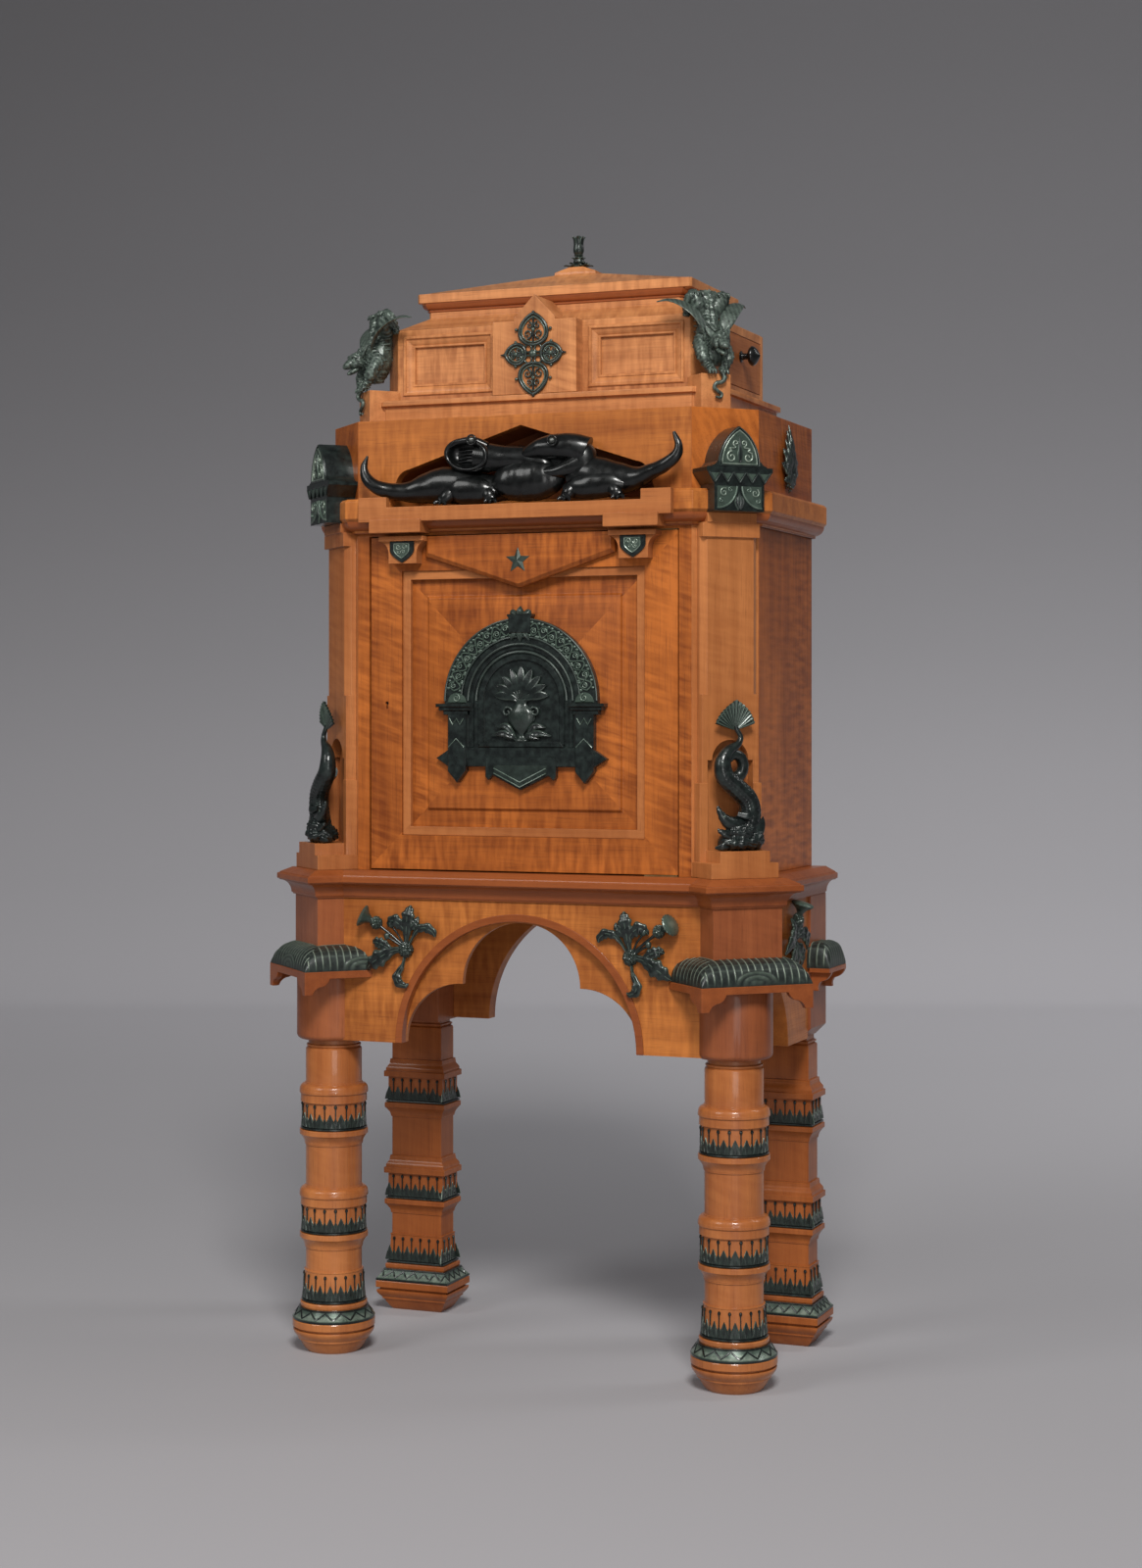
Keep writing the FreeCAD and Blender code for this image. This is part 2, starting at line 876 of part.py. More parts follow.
def cushion(half_width, half_depth):
    """Crowned block about the origin, standing on the shelf."""
    sections = []
    for share, inset in cushion_profile:
        outline = rectangle(half_width - inset, half_depth - inset)
        sections.append((shelf_top + share * cushion_height, outline))
    return stacked(sections)


def make_shelves(neighbours):
    """Shelves and bronze cushions, fitted against the posts and aprons."""
    save("cushion_shelves", *pair(fitted(front_shelf(), neighbours)), *pair(rear_shelf()))
    front = at_corner(cushion(shelf_half_width, shelf_out), leg_centre)
    save("bronze_cushions_front", *pair(fitted(front, neighbours)))
    depth = (rear_post_depth + rear_shelf_lead) / 2
    rear = at_place(cushion(rear_shelf_out, depth), rear_post_side, case_back - depth)
    stock = box(0.0, rear_post_side, -stand_front, case_back, shelf_z, waist_z)
    save("bronze_cushions_rear", *pair(rear.cut(stock)))


def arched_board(half_width, radius, thickness, y):
    """Board with a round arch rising from its foot; y is its front face."""
    outline = [
        (-half_width, waist_z),
        (-half_width, apron_z),
        (-radius, apron_z),
        (radius, apron_z, 1.0),
        (half_width, apron_z),
        (half_width, waist_z),
    ]
    return front_board(outline, y, y + thickness)


def arch_disc(radius, y0, y1):
    """Half disc over the foot line of the apron."""
    return front_board([(radius, apron_z), (-radius, apron_z, -1.0)], y0, y1)


def disc(x, z, radius, y0, y1):
    """Round block along Y."""
    return Part.makeCylinder(radius, y1 - y0, Vec(x, y0, z), Vec(0, 1, 0))


def trefoil():
    """Panel behind the front arch with a three-lobed opening."""
    near = trefoil_setback - stand_front
    far = near + trefoil_depth
    panel = arch_disc(arch_radius, near, far)
    lobes = [disc(0.0, apron_z + trefoil_top_rise, trefoil_top_radius, near, far)]
    for side in (-1, 1):
        lobes.append(disc(side * trefoil_side_x, apron_z, trefoil_side_radius, near, far))
    return panel.cut(join(lobes))


def side_apron():
    """Right side apron with the quarter arch behind the front post."""
    inner = stand_half_width - apron_thickness
    outline = [
        (leg_centre[1], waist_z),
        (leg_centre[1], apron_z + side_arch_radius),
        (-side_arch_front, apron_z + side_arch_radius),
        (side_arch_radius - side_arch_front, apron_z, ROOT2 - 1.0),
        (rear_post_front, apron_z),
        (rear_post_front, waist_z),
    ]
    return side_board(outline, inner, stand_half_width)


def make_aprons(post):
    """Aprons of the four sides, with the arch moulding and the trefoil panel."""
    front = fitted(arched_board(leg_centre[0], arch_radius, apron_thickness, -stand_front), pair(post))
    save("front_apron", front)
    near = -stand_front - arch_moulding_proud
    far = trefoil_setback - stand_front
    hole = arch_disc(arch_radius - arch_moulding_width, near, far)
    save("arch_moulding", arch_disc(arch_radius, near, far).cut(hole))
    save("trefoil_panel", trefoil())
    side = side_apron().cut(post)
    save("side_aprons", *pair(side))
    rear_half = rear_leg_x - rear_post_in
    rear = arched_board(rear_half, rear_arch_radius, apron_thickness, case_back - apron_thickness)
    save("rear_apron", rear)
    return [plan_prism(stand_plan(), leg_height, waist_z), post, front, side]


def thistle():
    """Thistle mount standing out from the XZ plane, knot at the origin."""
    shapes = [Part.makeSphere(thistle_knot), limb(thistle_stem), limb(thistle_flower)]
    for length, width, lean in thistle_leaves:
        shapes.append(leaf(length, width, thistle_leaf_thickness, lean))
    span = stand_front
    backing = box(-span, span, 0.0, span, -span, span)
    return join(shapes).cut(backing)


def make_thistles():
    """Thistle mounts on the front apron and on the two side aprons."""
    mount = thistle()
    mount.scale(thistle_scale)
    front = at_place(mount, thistle_x, -stand_front, thistle_z)
    turned_mount = mount.copy()
    turned_mount.rotate(Vec(0, 0, 0), Vec(0, 0, 1), 90)
    side = at_place(turned_mount, stand_half_width, thistle_side_y, thistle_z)
    save("thistle_mounts", *pair(front), *pair(side))


def make_waist():
    """Waist board, moulded round the stand and its front posts."""
    cove_top = waist_z + waist_cove_height
    edge_top = cove_top + waist_edge_height
    levels = [
        (waist_z, waist_foot_out),
        (waist_z + waist_cove_height / 2, waist_cove_out),
        (cove_top, waist_out),
        (edge_top, waist_out),
        (case_z, waist_seat_out),
    ]
    body = stacked([(z, stand_plan(out)) for z, out in levels])
    ears = []
    for z, out in levels:
        ears.append((z, reach(post_half_width + out, post_out + out, post_in)))
    ear = at_corner(stacked(ears), leg_centre)
    save("waist_board", join([body] + pair(ear)))


def wall_run(first, second, z0, z1, back=case_back):
    """One board of the wall ring between two corners of the case plan."""
    outer = case_plan(0.0, back)
    inner = case_plan(-wall, back)
    return plan_prism([outer[first], outer[second], inner[second], inner[first]], z0, z1)


def inside_board(gap, front, z0, z1):
    """Board that fills the inside plan, less a gap, back from a front line."""
    plan = case_plan(-wall - gap, case_back - wall - gap)
    board = plan_prism(plan, z0, z1)
    return board.common(box(-case_half_width, case_half_width, -front, case_back, z0, z1))


def make_case():
    """Case walls, floor, back, shelves and cleats."""
    save("case_sides", *pair(wall_run(4, 5, case_z, cornice_z)))
    save("corner_panels", *pair(wall_run(3, 4, case_z, cornice_z)))
    back = box(-inner_half_width, inner_half_width, case_back - wall, case_back, case_z, cornice_z)
    save("case_back", back)
    save("case_floor", inside_board(0.0, door_back - stop_gap, case_z, case_z + wall))
    shelves = []
    cleats = []
    spacing = (case_height - wall) / (shelf_count + 1)
    inner = inner_half_width - cleat_width
    cleat_start = case_back - wall - cleat_length
    for index in range(shelf_count):
        z = case_z + wall + spacing * (index + 1)
        shelves.append(inside_board(cedar_gap, door_back - cedar_setback, z, z + cedar_thickness))
        cleat = box(inner, inner_half_width, cleat_start, case_back - wall, z - cleat_height, z)
        cleats += pair(cleat)
    save("cedar_shelves", *shelves)
    save("shelf_cleats", *cleats)


def make_surround():
    """Fixed stiles beside the door and the head rail above it."""
    outer = case_plan()
    inner = case_plan(-wall)
    edge = door_half_width + door_edge_gap
    plan = [(edge, outer[3][1]), outer[3], inner[3], (edge, inner[3][1])]
    right = plan_prism(plan, case_z, head_z)
    keep_y = bolt_front_cover - door_front
    keep = box(
        -edge - keep_depth,
        -edge,
        keep_y - keep_fit,
        keep_y + bolt_thickness + keep_fit,
        door_middle - bolt_height / 2 - keep_fit,
        door_middle + bolt_height / 2 + keep_fit,
    )
    head = plan_prism([outer[2], outer[3], inner[3], inner[2]], head_z, cornice_z)
    save("door_surround", right, mirrored(right).cut(keep), head)


def pivot_boxes(half, z0, z1):
    """Plan of a pivot plate at the right end of the door, between two heights."""
    x = door_half_width - pivot_inset
    y = pivot_inset - door_front
    return box(x - pivot_plate_length, x + half, y - half, y + half, z0, z1)


def pivot_pin(radius, z0, z1):
    """Round pin on the pivot line of the door."""
    place = Vec(door_half_width - pivot_inset, pivot_inset - door_front, z0)
    return Part.makeCylinder(radius, z1 - z0, place)


def make_pivots():
    """Pivot pins on the case and pivot plates on the door; returns what the door loses to them."""
    hole = pivot_radius + pivot_fit
    low_top = door_z + pivot_plate_thickness
    high_bottom = door_top - pivot_plate_thickness
    pin_low = case_z + pivot_case_plate
    pin_high = head_z - pivot_case_plate
    low_pin = pivot_pin(pivot_radius, case_z, pin_low + pivot_pin_length)
    high_pin = pivot_pin(pivot_radius, pin_high - pivot_pin_length, head_z)
    low = join([pivot_boxes(pivot_plate_half, case_z, pin_low), low_pin])
    high = join([pivot_boxes(pivot_plate_half, pin_high, head_z), high_pin])
    save("pivot_pins_case", low, high)
    bore = pivot_pin(hole, case_z, door_z + 2 * pivot_pin_length)
    bore = bore.fuse(pivot_pin(hole, door_top - 2 * pivot_pin_length, head_z))
    plates = []
    for z0, z1 in ((door_z, low_top), (high_bottom, door_top)):
        plates.append(pivot_boxes(pivot_plate_half, z0, z1))
    save("pivot_plates_door", *[plate.cut(bore) for plate in plates])
    return plates + [bore]


def lock_box():
    """Block of the lock, let into the back of the left door stile."""
    low = door_middle - lock_height / 2
    x = -door_half_width
    return box(x, x + lock_width, -door_back - lock_depth, -door_back, low, low + lock_height)


def bolt_box(fit, start, length):
    """Bolt, or the way for it when a fit is given."""
    y = bolt_front_cover - door_front
    low = door_middle - bolt_height / 2 - fit
    high = door_middle + bolt_height / 2 + fit
    return box(start, start + length, y - fit, y + bolt_thickness + fit, low, high)


def keyhole():
    """Keyhole through the front of the left stile."""
    x = keyhole_from_edge - door_half_width
    near = -door_front
    far = -door_back - lock_depth
    low = door_middle - keyhole_slot_length
    slot = box(x - keyhole_slot_half, x + keyhole_slot_half, near, far, low, door_middle)
    return disc(x, door_middle, keyhole_radius, near, far).fuse(slot)


def make_lock():
    """Lock case and bolt."""
    way = bolt_box(bolt_fit, -door_half_width, bolt_length + bolt_rest + bolt_fit)
    save("lock_case", lock_box().cut(way))
    save("lock_bolt", bolt_box(0.0, bolt_rest - door_half_width, bolt_length))


def door_member(outer, inner, cuts):
    """One mitred member of the door frame, less the lock and the pivots."""
    return fitted(front_board(outer + inner, -door_front, -door_back), cuts)


def frame_corners(inset):
    """Corners of the door drawn in by an inset, from the bottom left, anticlockwise."""
    half = door_half_width - inset
    low = door_z + inset
    high = door_top - inset
    return [(-half, low), (half, low), (half, high), (-half, high)]


def bordered(outer_inset, inner_inset, y0, y1):
    """Rectangular border between two insets from the edge of the door."""
    whole = front_board(frame_corners(outer_inset), y0, y1)
    return whole.cut(front_board(frame_corners(inner_inset), y0, y1))


def door_panel():
    """Sunk panel with a raised and bevelled field."""
    inset = door_frame_width + panel_moulding_width
    sunk = panel_setback - door_front
    plate = front_board(frame_corners(inset - panel_tongue), sunk, sunk + panel_thickness)
    edge = frame_corners(inset + field_margin)
    top = frame_corners(inset + field_margin + field_bevel)
    wires = []
    for corners, y in ((edge, sunk), (top, sunk - field_rise)):
        wires.append(wire(corners, lambda a, b, level=y: Vec(a, level, b)))
    return join([plate, Part.makeLoft(wires, True, True)])


def make_door(cuts):
    """Door frame, panel and panel moulding."""
    outer = frame_corners(0.0)
    inner = frame_corners(door_frame_width)
    members = []
    taken = cuts + [lock_box(), keyhole()]
    for index in range(len(outer)):
        follow = (index + 1) % len(outer)
        members.append(door_member([outer[index], outer[follow]], [inner[follow], inner[index]], taken))
    save("door_frame", *members)
    panel = door_panel()
    save("door_panel", panel)
    near = panel_moulding_setback - door_front
    moulding = bordered(door_frame_width, door_frame_width + panel_moulding_width, near, -door_back)
    save("panel_moulding", moulding.cut(panel))


def pendant():
    """Pointed board under the top of the door, bevelled along its lower edges."""
    def drawn(inset):
        half = pendant_half_width - inset
        ends = door_top - pendant_end_drop + inset
        return [
            (-half, door_top),
            (-half, ends),
            (0.0, door_top - pendant_point_drop + inset),
            (half, ends),
            (half, door_top),
        ]
    base = -door_front - pendant_thickness + pendant_bevel
    wires = []
    for inset, y in ((0.0, base), (pendant_bevel, base - pendant_bevel)):
        wires.append(wire(drawn(inset), lambda a, b, level=y: Vec(a, level, b)))
    return join([front_board(drawn(0.0), base, -door_front), Part.makeLoft(wires, True, True)])


def door_bracket():
    """Right bracket: a block with hollowed flanks under an abacus."""
    low = door_top - bracket_height
    neck = door_top - abacus_height
    half = bracket_half_width
    body = front_board([
        (bracket_x - half, low),
        (bracket_x + half, low),
        (bracket_x + half, (low + neck) / 2),
        (bracket_x + abacus_half_width, neck, ogee_curve),
        (bracket_x - abacus_half_width, neck),
        (bracket_x - half, (low + neck) / 2, ogee_curve),
    ], -door_front - bracket_out, -door_front)
    left = bracket_x - abacus_half_width
    right = bracket_x + abacus_half_width
    abacus = box(left, right, -door_front - abacus_out, -door_front, neck, door_top)
    return join([body, abacus])


def shield():
    """Right shield on the face of its bracket."""
    top = door_top - abacus_height
    low = top - shield_height
    outline = [
        (bracket_x - shield_half_width, top),
        (bracket_x - shield_half_width, top - shield_height / 2),
        (bracket_x, low, -shield_curve),
        (bracket_x + shield_half_width, top - shield_height / 2, -shield_curve),
        (bracket_x + shield_half_width, top),
    ]
    near = -door_front - bracket_out
    return front_board(outline, near - shield_thickness, near)


def spire(base, apex):
    """Solid from a flat outline of points to one apex."""
    faces = [Part.Face(Part.makePolygon(base + [base[0]]))]
    start = base[-1]
    for end in base:
        faces.append(Part.Face(Part.makePolygon([start, end, apex, start])))
        start = end
    return Part.makeSolid(Part.makeShell(faces))


def star():
    """Five-pointed star on the pendant."""
    near = -door_front - pendant_thickness
    middle = door_top - star_drop
    points = []
    for index in range(10):
        radius = star_inner if index % 2 else star_radius
        angle = math.radians(36.0 * index)
        points.append(Vec(radius * math.sin(angle), near, middle + radius * math.cos(angle)))
    return spire(points, Vec(0.0, near - star_rise, middle))


def make_door_dressing():
    """Pendant, brackets and the bronze on them."""
    brackets = pair(door_bracket())
    save("door_pendant", fitted(pendant(), brackets))
    save("door_brackets", *brackets)
    save("door_bronze_trim", *pair(shield()), star())


def plaque_outline():
    """Outer outline of the relief plaque about the springing line of its arch."""
    middle = door_middle - plaque_mid_drop
    radius = plaque_arch_radius
    half = plaque_impost_half
    key = math.sqrt(radius * radius - plaque_key_half * plaque_key_half)
    sweep = -math.tan(math.acos(plaque_key_half / radius) / 4)
    right = [
        (0.0, middle - plaque_point_drop),
        (tablet_half_width, middle - tablet_drop),
        (radius - plaque_arch_band, middle - plaque_pier_drop),
        (plaque_impost_half, middle - plaque_wing_drop),
        (radius, middle - plaque_impost_drop - plaque_impost_height),
        (half, middle - plaque_impost_drop - plaque_impost_height),
        (half, middle - plaque_impost_drop),
        (radius, middle - plaque_impost_drop),
        (radius, middle),
        (plaque_key_half, middle + key, sweep),
        (plaque_key_half, middle + plaque_key_top),
    ]
    bulges = [point[2:] for point in right[1:]] + [()]
    left = [(-point[0], point[1]) + bulge for point, bulge in zip(right, bulges)]
    return right + left[:0:-1]


def vase():
    """Vase with a spray of leaves, standing on the floor of the plaque's niche."""
    outline = [
        (0.0, 0.0),
        (vase_lip, 0.0),
        (vase_stem, vase_stem_height),
        (vase_radius, vase_belly_height, -shield_curve),
        (vase_neck, vase_neck_height, -shield_curve),
        (vase_lip, vase_height),
        (0.0, vase_height),
    ]
    body = turned(outline)
    shapes = [body]
    for step in (-2, -1, 0, 1, 2):
        blade = leaf(vase_leaf_length, vase_leaf_width, niche_depth, step * vase_leaf_angle)
        shapes.append(at_place(blade, 0.0, 0.0, vase_height))
    return join(shapes)


def relief_plaque():
    """Arched plaque with a sunk niche and a vase in it."""
    field = -door_front + panel_setback - field_rise
    near = field - plaque_depth
    middle = door_middle - plaque_mid_drop
    plate = front_board(plaque_outline(), near, field)
    half = niche_half_width
    floor = middle - niche_floor_drop
    outline = [(-half, floor), (half, floor), (half, middle), (-half, middle, -1.0)]
    hollow = front_board(outline, near, near + niche_depth)
    urn = at_place(vase(), 0.0, near + niche_depth, floor)
    urn = urn.common(box(-half, half, near, near + niche_depth, floor, middle + half))
    return join([plate.cut(hollow), urn])


def pilaster():
    """Right pilaster with its plinth and the niche cut through it."""
    foot_top = case_z + pilaster_foot_height
    chamfer_z = case_z + pilaster_chamfer_start
    head = case_z + pilaster_chamfer_end
    cap = cornice_z - pilaster_cap_height
    half = pilaster_half_width
    cut = pilaster_chamfer
    plain = reach(half, pilaster_out, 0.0)
    slim = [
        (-half, 0.0),
        (-half, cut - pilaster_out),
        (cut - half, -pilaster_out),
        (half - cut, -pilaster_out),
        (half, cut - pilaster_out),
        (half, 0.0),
    ]
    pieces = [
        plan_prism(reach(plinth_low_half, plinth_out, 0.0), case_z, case_z + plinth_low_height),
        plan_prism(reach(plinth_top_half, plinth_out, 0.0), case_z, case_z + plinth_height),
        plan_prism(reach(pilaster_foot_half, pilaster_foot_out, 0.0), case_z, foot_top),
        plan_prism(plain, foot_top, chamfer_z),
        plan_prism(slim, chamfer_z, head),
        plan_prism(reach(half, pilaster_head_out, 0.0), head, cap),
        plan_prism(reach(pilaster_cap_half, pilaster_cap_out, 0.0), cap, cornice_z),
    ]
    floor = case_z + plinth_height
    shoulder = floor + niche_hole_height
    hole = front_board([
        (-niche_hole_half, floor),
        (niche_hole_half, floor),
        (niche_hole_half, shoulder),
        (niche_arch_radius, shoulder),
        (-niche_arch_radius, shoulder, -1.0),
        (-niche_hole_half, shoulder),
    ], -plinth_out, 0.0)
    return at_corner(join(pieces).cut(hole), case_corner)


def standing(path, floor):
    """Path given as (across, ahead, up, radius), set on a floor."""
    return [(across, -ahead, floor + up, radius) for across, ahead, up, radius in path]


def niche_beast():
    """Right sea beast: a coiled body on a rock, with a fan fin."""
    floor = case_z + plinth_height
    rock = stacked([(floor + up, rectangle(half, depth)) for up, half, depth in rock_levels])
    fan_z = floor + fan_foot + fan_rise
    fan = front_board([
        (-fan_half_width, fan_z, -fin_curve),
        (0.0, floor + fan_foot, ogee_curve),
        (fan_half_width, fan_z, ogee_curve),
    ], -fan_ahead, fan_thickness - fan_ahead)
    body = limb(standing(sea_beast_path, floor))
    return at_corner(join([at_place(rock, 0.0, -beast_out), body, fan]), case_corner)


def ledge_outline():
    """Front of the stepped ledge."""
    low = ledge_z - low_block_drop + ledge_drop
    right = [
        (low_block_inner, ledge_z),
        (low_block_inner, low),
        (low_block_outer, low),
        (low_block_outer, ledge_z),
        (ledge_half_width, ledge_z),
        (ledge_half_width, attic_z),
        (ledge_inner_half, attic_z),
        (ledge_inner_half, ledge_top),
    ]
    left = [(-x, z) for x, z in right[::-1]]
    return right + left


def low_blocks():
    """Deep blocks that hang from the ledge at its two ends."""
    low = ledge_z - low_block_drop + ledge_drop
    near = -case_front - cornice_out - ledge_proud - low_block_proud
    far = -case_front - cove_foot_out
    return pair(box(low_block_inner, low_block_outer, near, far, low, ledge_z + ledge_drop))


def cornice_solid():
    """Cornice board with its edge eased and the cove under it."""
    edge = cornice_out - cornice_edge
    board = stacked([
        (cornice_z, case_plan(edge)),
        (cornice_z + cornice_edge, case_plan(cornice_out)),
        (attic_z - cornice_edge, case_plan(cornice_out)),
        (attic_z, case_plan(edge)),
    ])
    cove = stacked([
        (cove_z, case_plan(cove_foot_out)),
        (cove_z + cove_height / 2, case_plan((cove_foot_out + edge) / 2 - cornice_edge)),
        (cornice_z, case_plan(edge)),
    ])
    inside = plan_prism(case_plan(), cove_z, cornice_z)
    return join([board, cove.cut(inside)])


def make_cornice(post):
    """Cornice, and the stepped ledge on its front."""
    near = -case_front - cornice_out
    front = near - ledge_proud
    ledge = join([front_board(ledge_outline(), front, near)] + low_blocks())
    sink = box(-ledge_inner_half, ledge_inner_half, near, recess_depth - case_front, ledge_top, attic_z)
    save("cornice", fitted(cornice_solid(), [sink, ledge] + pair(post)))
    save("ledge_front", ledge)
    low = box(-ledge_inner_half, ledge_inner_half, front, recess_depth - case_front, cornice_z, ledge_top)
    return [ledge, low]


def opening_outline(grow, floor):
    """Low gabled opening of the attic, grown by a wall thickness."""
    knee = attic_z + opening_knee_height
    shoulder = attic_z + opening_shoulder_height + grow
    return [
        (-opening_foot_half - grow, floor),
        (opening_foot_half + grow, floor),
        (opening_knee_half + grow, knee),
        (opening_shoulder_half + grow, shoulder, -ogee_curve),
        (0.0, attic_z + opening_apex_height + grow),
        (-opening_shoulder_half - grow, shoulder),
        (-opening_knee_half - grow, knee, -ogee_curve),
    ]


def make_attic():
    """Attic walls, top and the recess behind the gabled opening."""
    outer = case_plan()
    inner = case_plan(-wall)
    front = plan_prism([outer[2], outer[3], inner[3], inner[2]], attic_z, upper_plinth_z)
    front = front.cut(front_board(opening_outline(0.0, attic_z), -case_front, wall - case_front))
    save("attic_front", front)
    sides = pair(wall_run(3, 4, attic_z, upper_plinth_z)) + pair(wall_run(4, 5, attic_z, upper_plinth_z))
    back = box(-inner_half_width, inner_half_width, case_back - wall, case_back, attic_z, upper_plinth_z)
    save("attic_sides", *sides, back)
    top_z = upper_plinth_z - attic_top_thickness
    save("attic_top", plan_prism(case_plan(-wall, case_back - wall), top_z, upper_plinth_z))
    near = wall - case_front
    far = recess_depth - case_front
    lining = front_board(opening_outline(recess_wall, attic_z), near, far + recess_wall)
    save("pediment_recess", lining.cut(front_board(opening_outline(0.0, attic_z), near, far)))
    return [front]


def reptile(paths, feet):
    """One reptile on the ledge: its limbs from tail tip to snout, and two feet in front."""
    shapes = []
    for path in paths:
        shapes.append(limb(standing(path, ledge_top)))
    for x in feet:
        leg = (
            (x, reptile_ahead, reptile_leg, reptile_leg / 2),
            (x, reptile_foot_ahead, reptile_leg, reptile_leg / 3),
            (x, reptile_foot_ahead + step_rise, 0.0, reptile_leg / 3),
        )
        shapes.append(limb(standing(leg, ledge_top)))
    return shapes


def make_reptiles(neighbours):
    """The two reptiles in the pediment, cast in one, the right one biting the neck of the left one."""
    left = reptile((reptile_left_trunk, reptile_left_neck), reptile_left_feet)
    right = reptile((reptile_right_trunk, reptile_right_neck, reptile_right_jaw), reptile_right_feet)
    save("reptiles", fitted(at_place(join(left + right), 0.0, -case_front), neighbours))


def corner_block():
    """Right corner block: a base on the cornice edge, an abacus and a pointed block."""
    base_z = cornice_z
    abacus_z = attic_z + corner_block_shoulder / 4
    arch_z = abacus_z + corner_block_abacus_height
    half = corner_block_arch_half
    out = cornice_out + corner_block_out
    abacus = reach(corner_block_abacus_half, corner_block_abacus_out, 0.0)
    pieces = [
        plan_prism(reach(corner_block_half, out, -cornice_out), base_z, abacus_z),
        plan_prism(reach(corner_block_half, out, 0.0), attic_z, abacus_z),
        stacked([
            (abacus_z, reach(corner_block_half, out, 0.0)),
            (arch_z - corner_block_shoulder / 2, abacus),
            (arch_z, abacus),
        ]),
        front_board([
            (-half, arch_z, -gothic_curve),
            (half, arch_z),
            (0.0, arch_z + corner_block_arch_height, -gothic_curve),
        ], -corner_block_abacus_out, 0.0),
    ]
    return at_corner(join(pieces), case_corner)


def side_ornament():
    """Right ornament on the attic side: a broad leaf with two lower leaves."""
    shapes = []
    for length, angle in ((1.0, 0.0), (0.75, 62.0), (0.75, -62.0)):
        blade = leaf(side_ornament_height * length, side_ornament_half, side_ornament_thickness, angle)
        shapes.append(blade)
    mount = join(shapes)
    mount.rotate(Vec(0, 0, 0), Vec(0, 0, 1), 90)
    middle = (case_back - case_front + case_chamfer) / 2
    return at_place(mount, case_half_width, middle, attic_z + side_ornament_thickness)


def make_upper_plinth():
    """Plinth of the upper case with a pedestal on each front corner."""
    moulding_z = upper_plinth_z + upper_plinth_height
    body = stacked([
        (upper_plinth_z, upper_plan(upper_plinth_out)),
        (moulding_z, upper_plan(upper_plinth_out)),
        (moulding_z + step_rise, upper_plan(upper_moulding_out)),
        (upper_z - step_rise, upper_plan(upper_moulding_out)),
        (upper_z, upper_plan(upper_plinth_out / 2)),
    ])
    top = upper_plinth_z + pedestal_height
    pedestal = plan_prism(reach(pedestal_half_width, pedestal_out, 0.0), upper_plinth_z, top)
    plinth = join([body] + pair(at_corner(pedestal, upper_corner)))
    save("upper_plinth", plinth)
    return plinth


def drawer_limits(fit):
    """Right drawer bay, or the drawer in it when the fit is nought."""
    low = upper_z + drawer_from_floor - fit
    high = upper_z + drawer_from_floor + drawer_height + fit
    start = upper_half_width - drawer_length - fit
    return (start, upper_half_width, -drawer_start - fit, drawer_width - drawer_start + fit, low, high)


def panel_sink():
    """Right sunk panel in the front of the upper case, with sloping sides."""
    x0 = centre_half_width + upper_panel_margin
    x1 = upper_half_width - upper_chamfer - upper_panel_margin
    z0 = upper_z + upper_panel_margin
    z1 = shoulder_z - upper_panel_margin
    wires = []
    for inset, depth in ((0.0, 0.0), (upper_panel_bevel, upper_panel_depth)):
        left = x0 + inset
        right = x1 - inset
        corners = [(left, z0 + inset), (right, z0 + inset), (right, z1 - inset), (left, z1 - inset)]
        wires.append(wire(corners, lambda a, b, level=depth - upper_front: Vec(a, level, b)))
    return Part.makeLoft(wires, True, True)


def upper_case():
    """Boards of the upper case: front, back, floor, top and the divider between the drawer bays."""
    body = plan_prism(upper_plan(), upper_z, shoulder_z)
    start, side, near, far, low, high = drawer_limits(drawer_fit)
    front = body.common(box(-side, side, -upper_front, near, upper_z, shoulder_z))
    return [
        fitted(front, pair(panel_sink())),
        box(-side, side, far, upper_back, upper_z, shoulder_z),
        box(-side, side, near, far, upper_z, low),
        box(-side, side, near, far, high, shoulder_z),
        box(-start, start, near, far, low, high),
    ]


def shoulder():
    """Sloping shoulder and frieze between the upper case and the roof."""
    slope = stacked([
        (shoulder_z, upper_plan()),
        (frieze_z, roof_plan(frieze_half_width, frieze_half_depth)),
    ])
    frieze = plan_prism(roof_plan(frieze_half_width, frieze_half_depth), frieze_z, frieze_z + frieze_height)
    return join([slope, frieze])


def make_upper_case():
    """Upper case, shoulder, centre block and its mount."""
    boards = upper_case()
    save("upper_case", *boards)
    slope = shoulder()
    save("upper_shoulder", slope)
    low = upper_z - centre_drop
    half = centre_half_width
    eaves = shoulder_z
    front = -upper_front - centre_out
    block = front_board([
        (-half, low),
        (half, low),
        (half, eaves),
        (centre_gable_half, eaves),
        (centre_gable_half, eaves + centre_gable_foot),
        (0.0, eaves + centre_point_rise),
        (-centre_gable_half, eaves + centre_gable_foot),
        (-centre_gable_half, eaves),
        (-half, eaves),
    ], front, -frieze_half_depth)
    plinth = plan_prism(upper_plan(upper_moulding_out), upper_plinth_z, upper_z)
    behind = box(-half, half, -upper_front, 0.0, upper_z, shoulder_z)
    save("centre_block", fitted(block, [plinth, behind, slope]))
    save("quatrefoil_mount", quatrefoil(front))
    return boards + [slope]


def petal(scale_in):
    """Pointed oval petal standing up from the origin, drawn in by a band."""
    length = mount_petal_length
    half = mount_petal_half
    ring = leaf(2 * length - 2 * scale_in, 2 * half - scale_in, mount_thickness)
    return at_place(ring, 0.0, 0.0, scale_in)


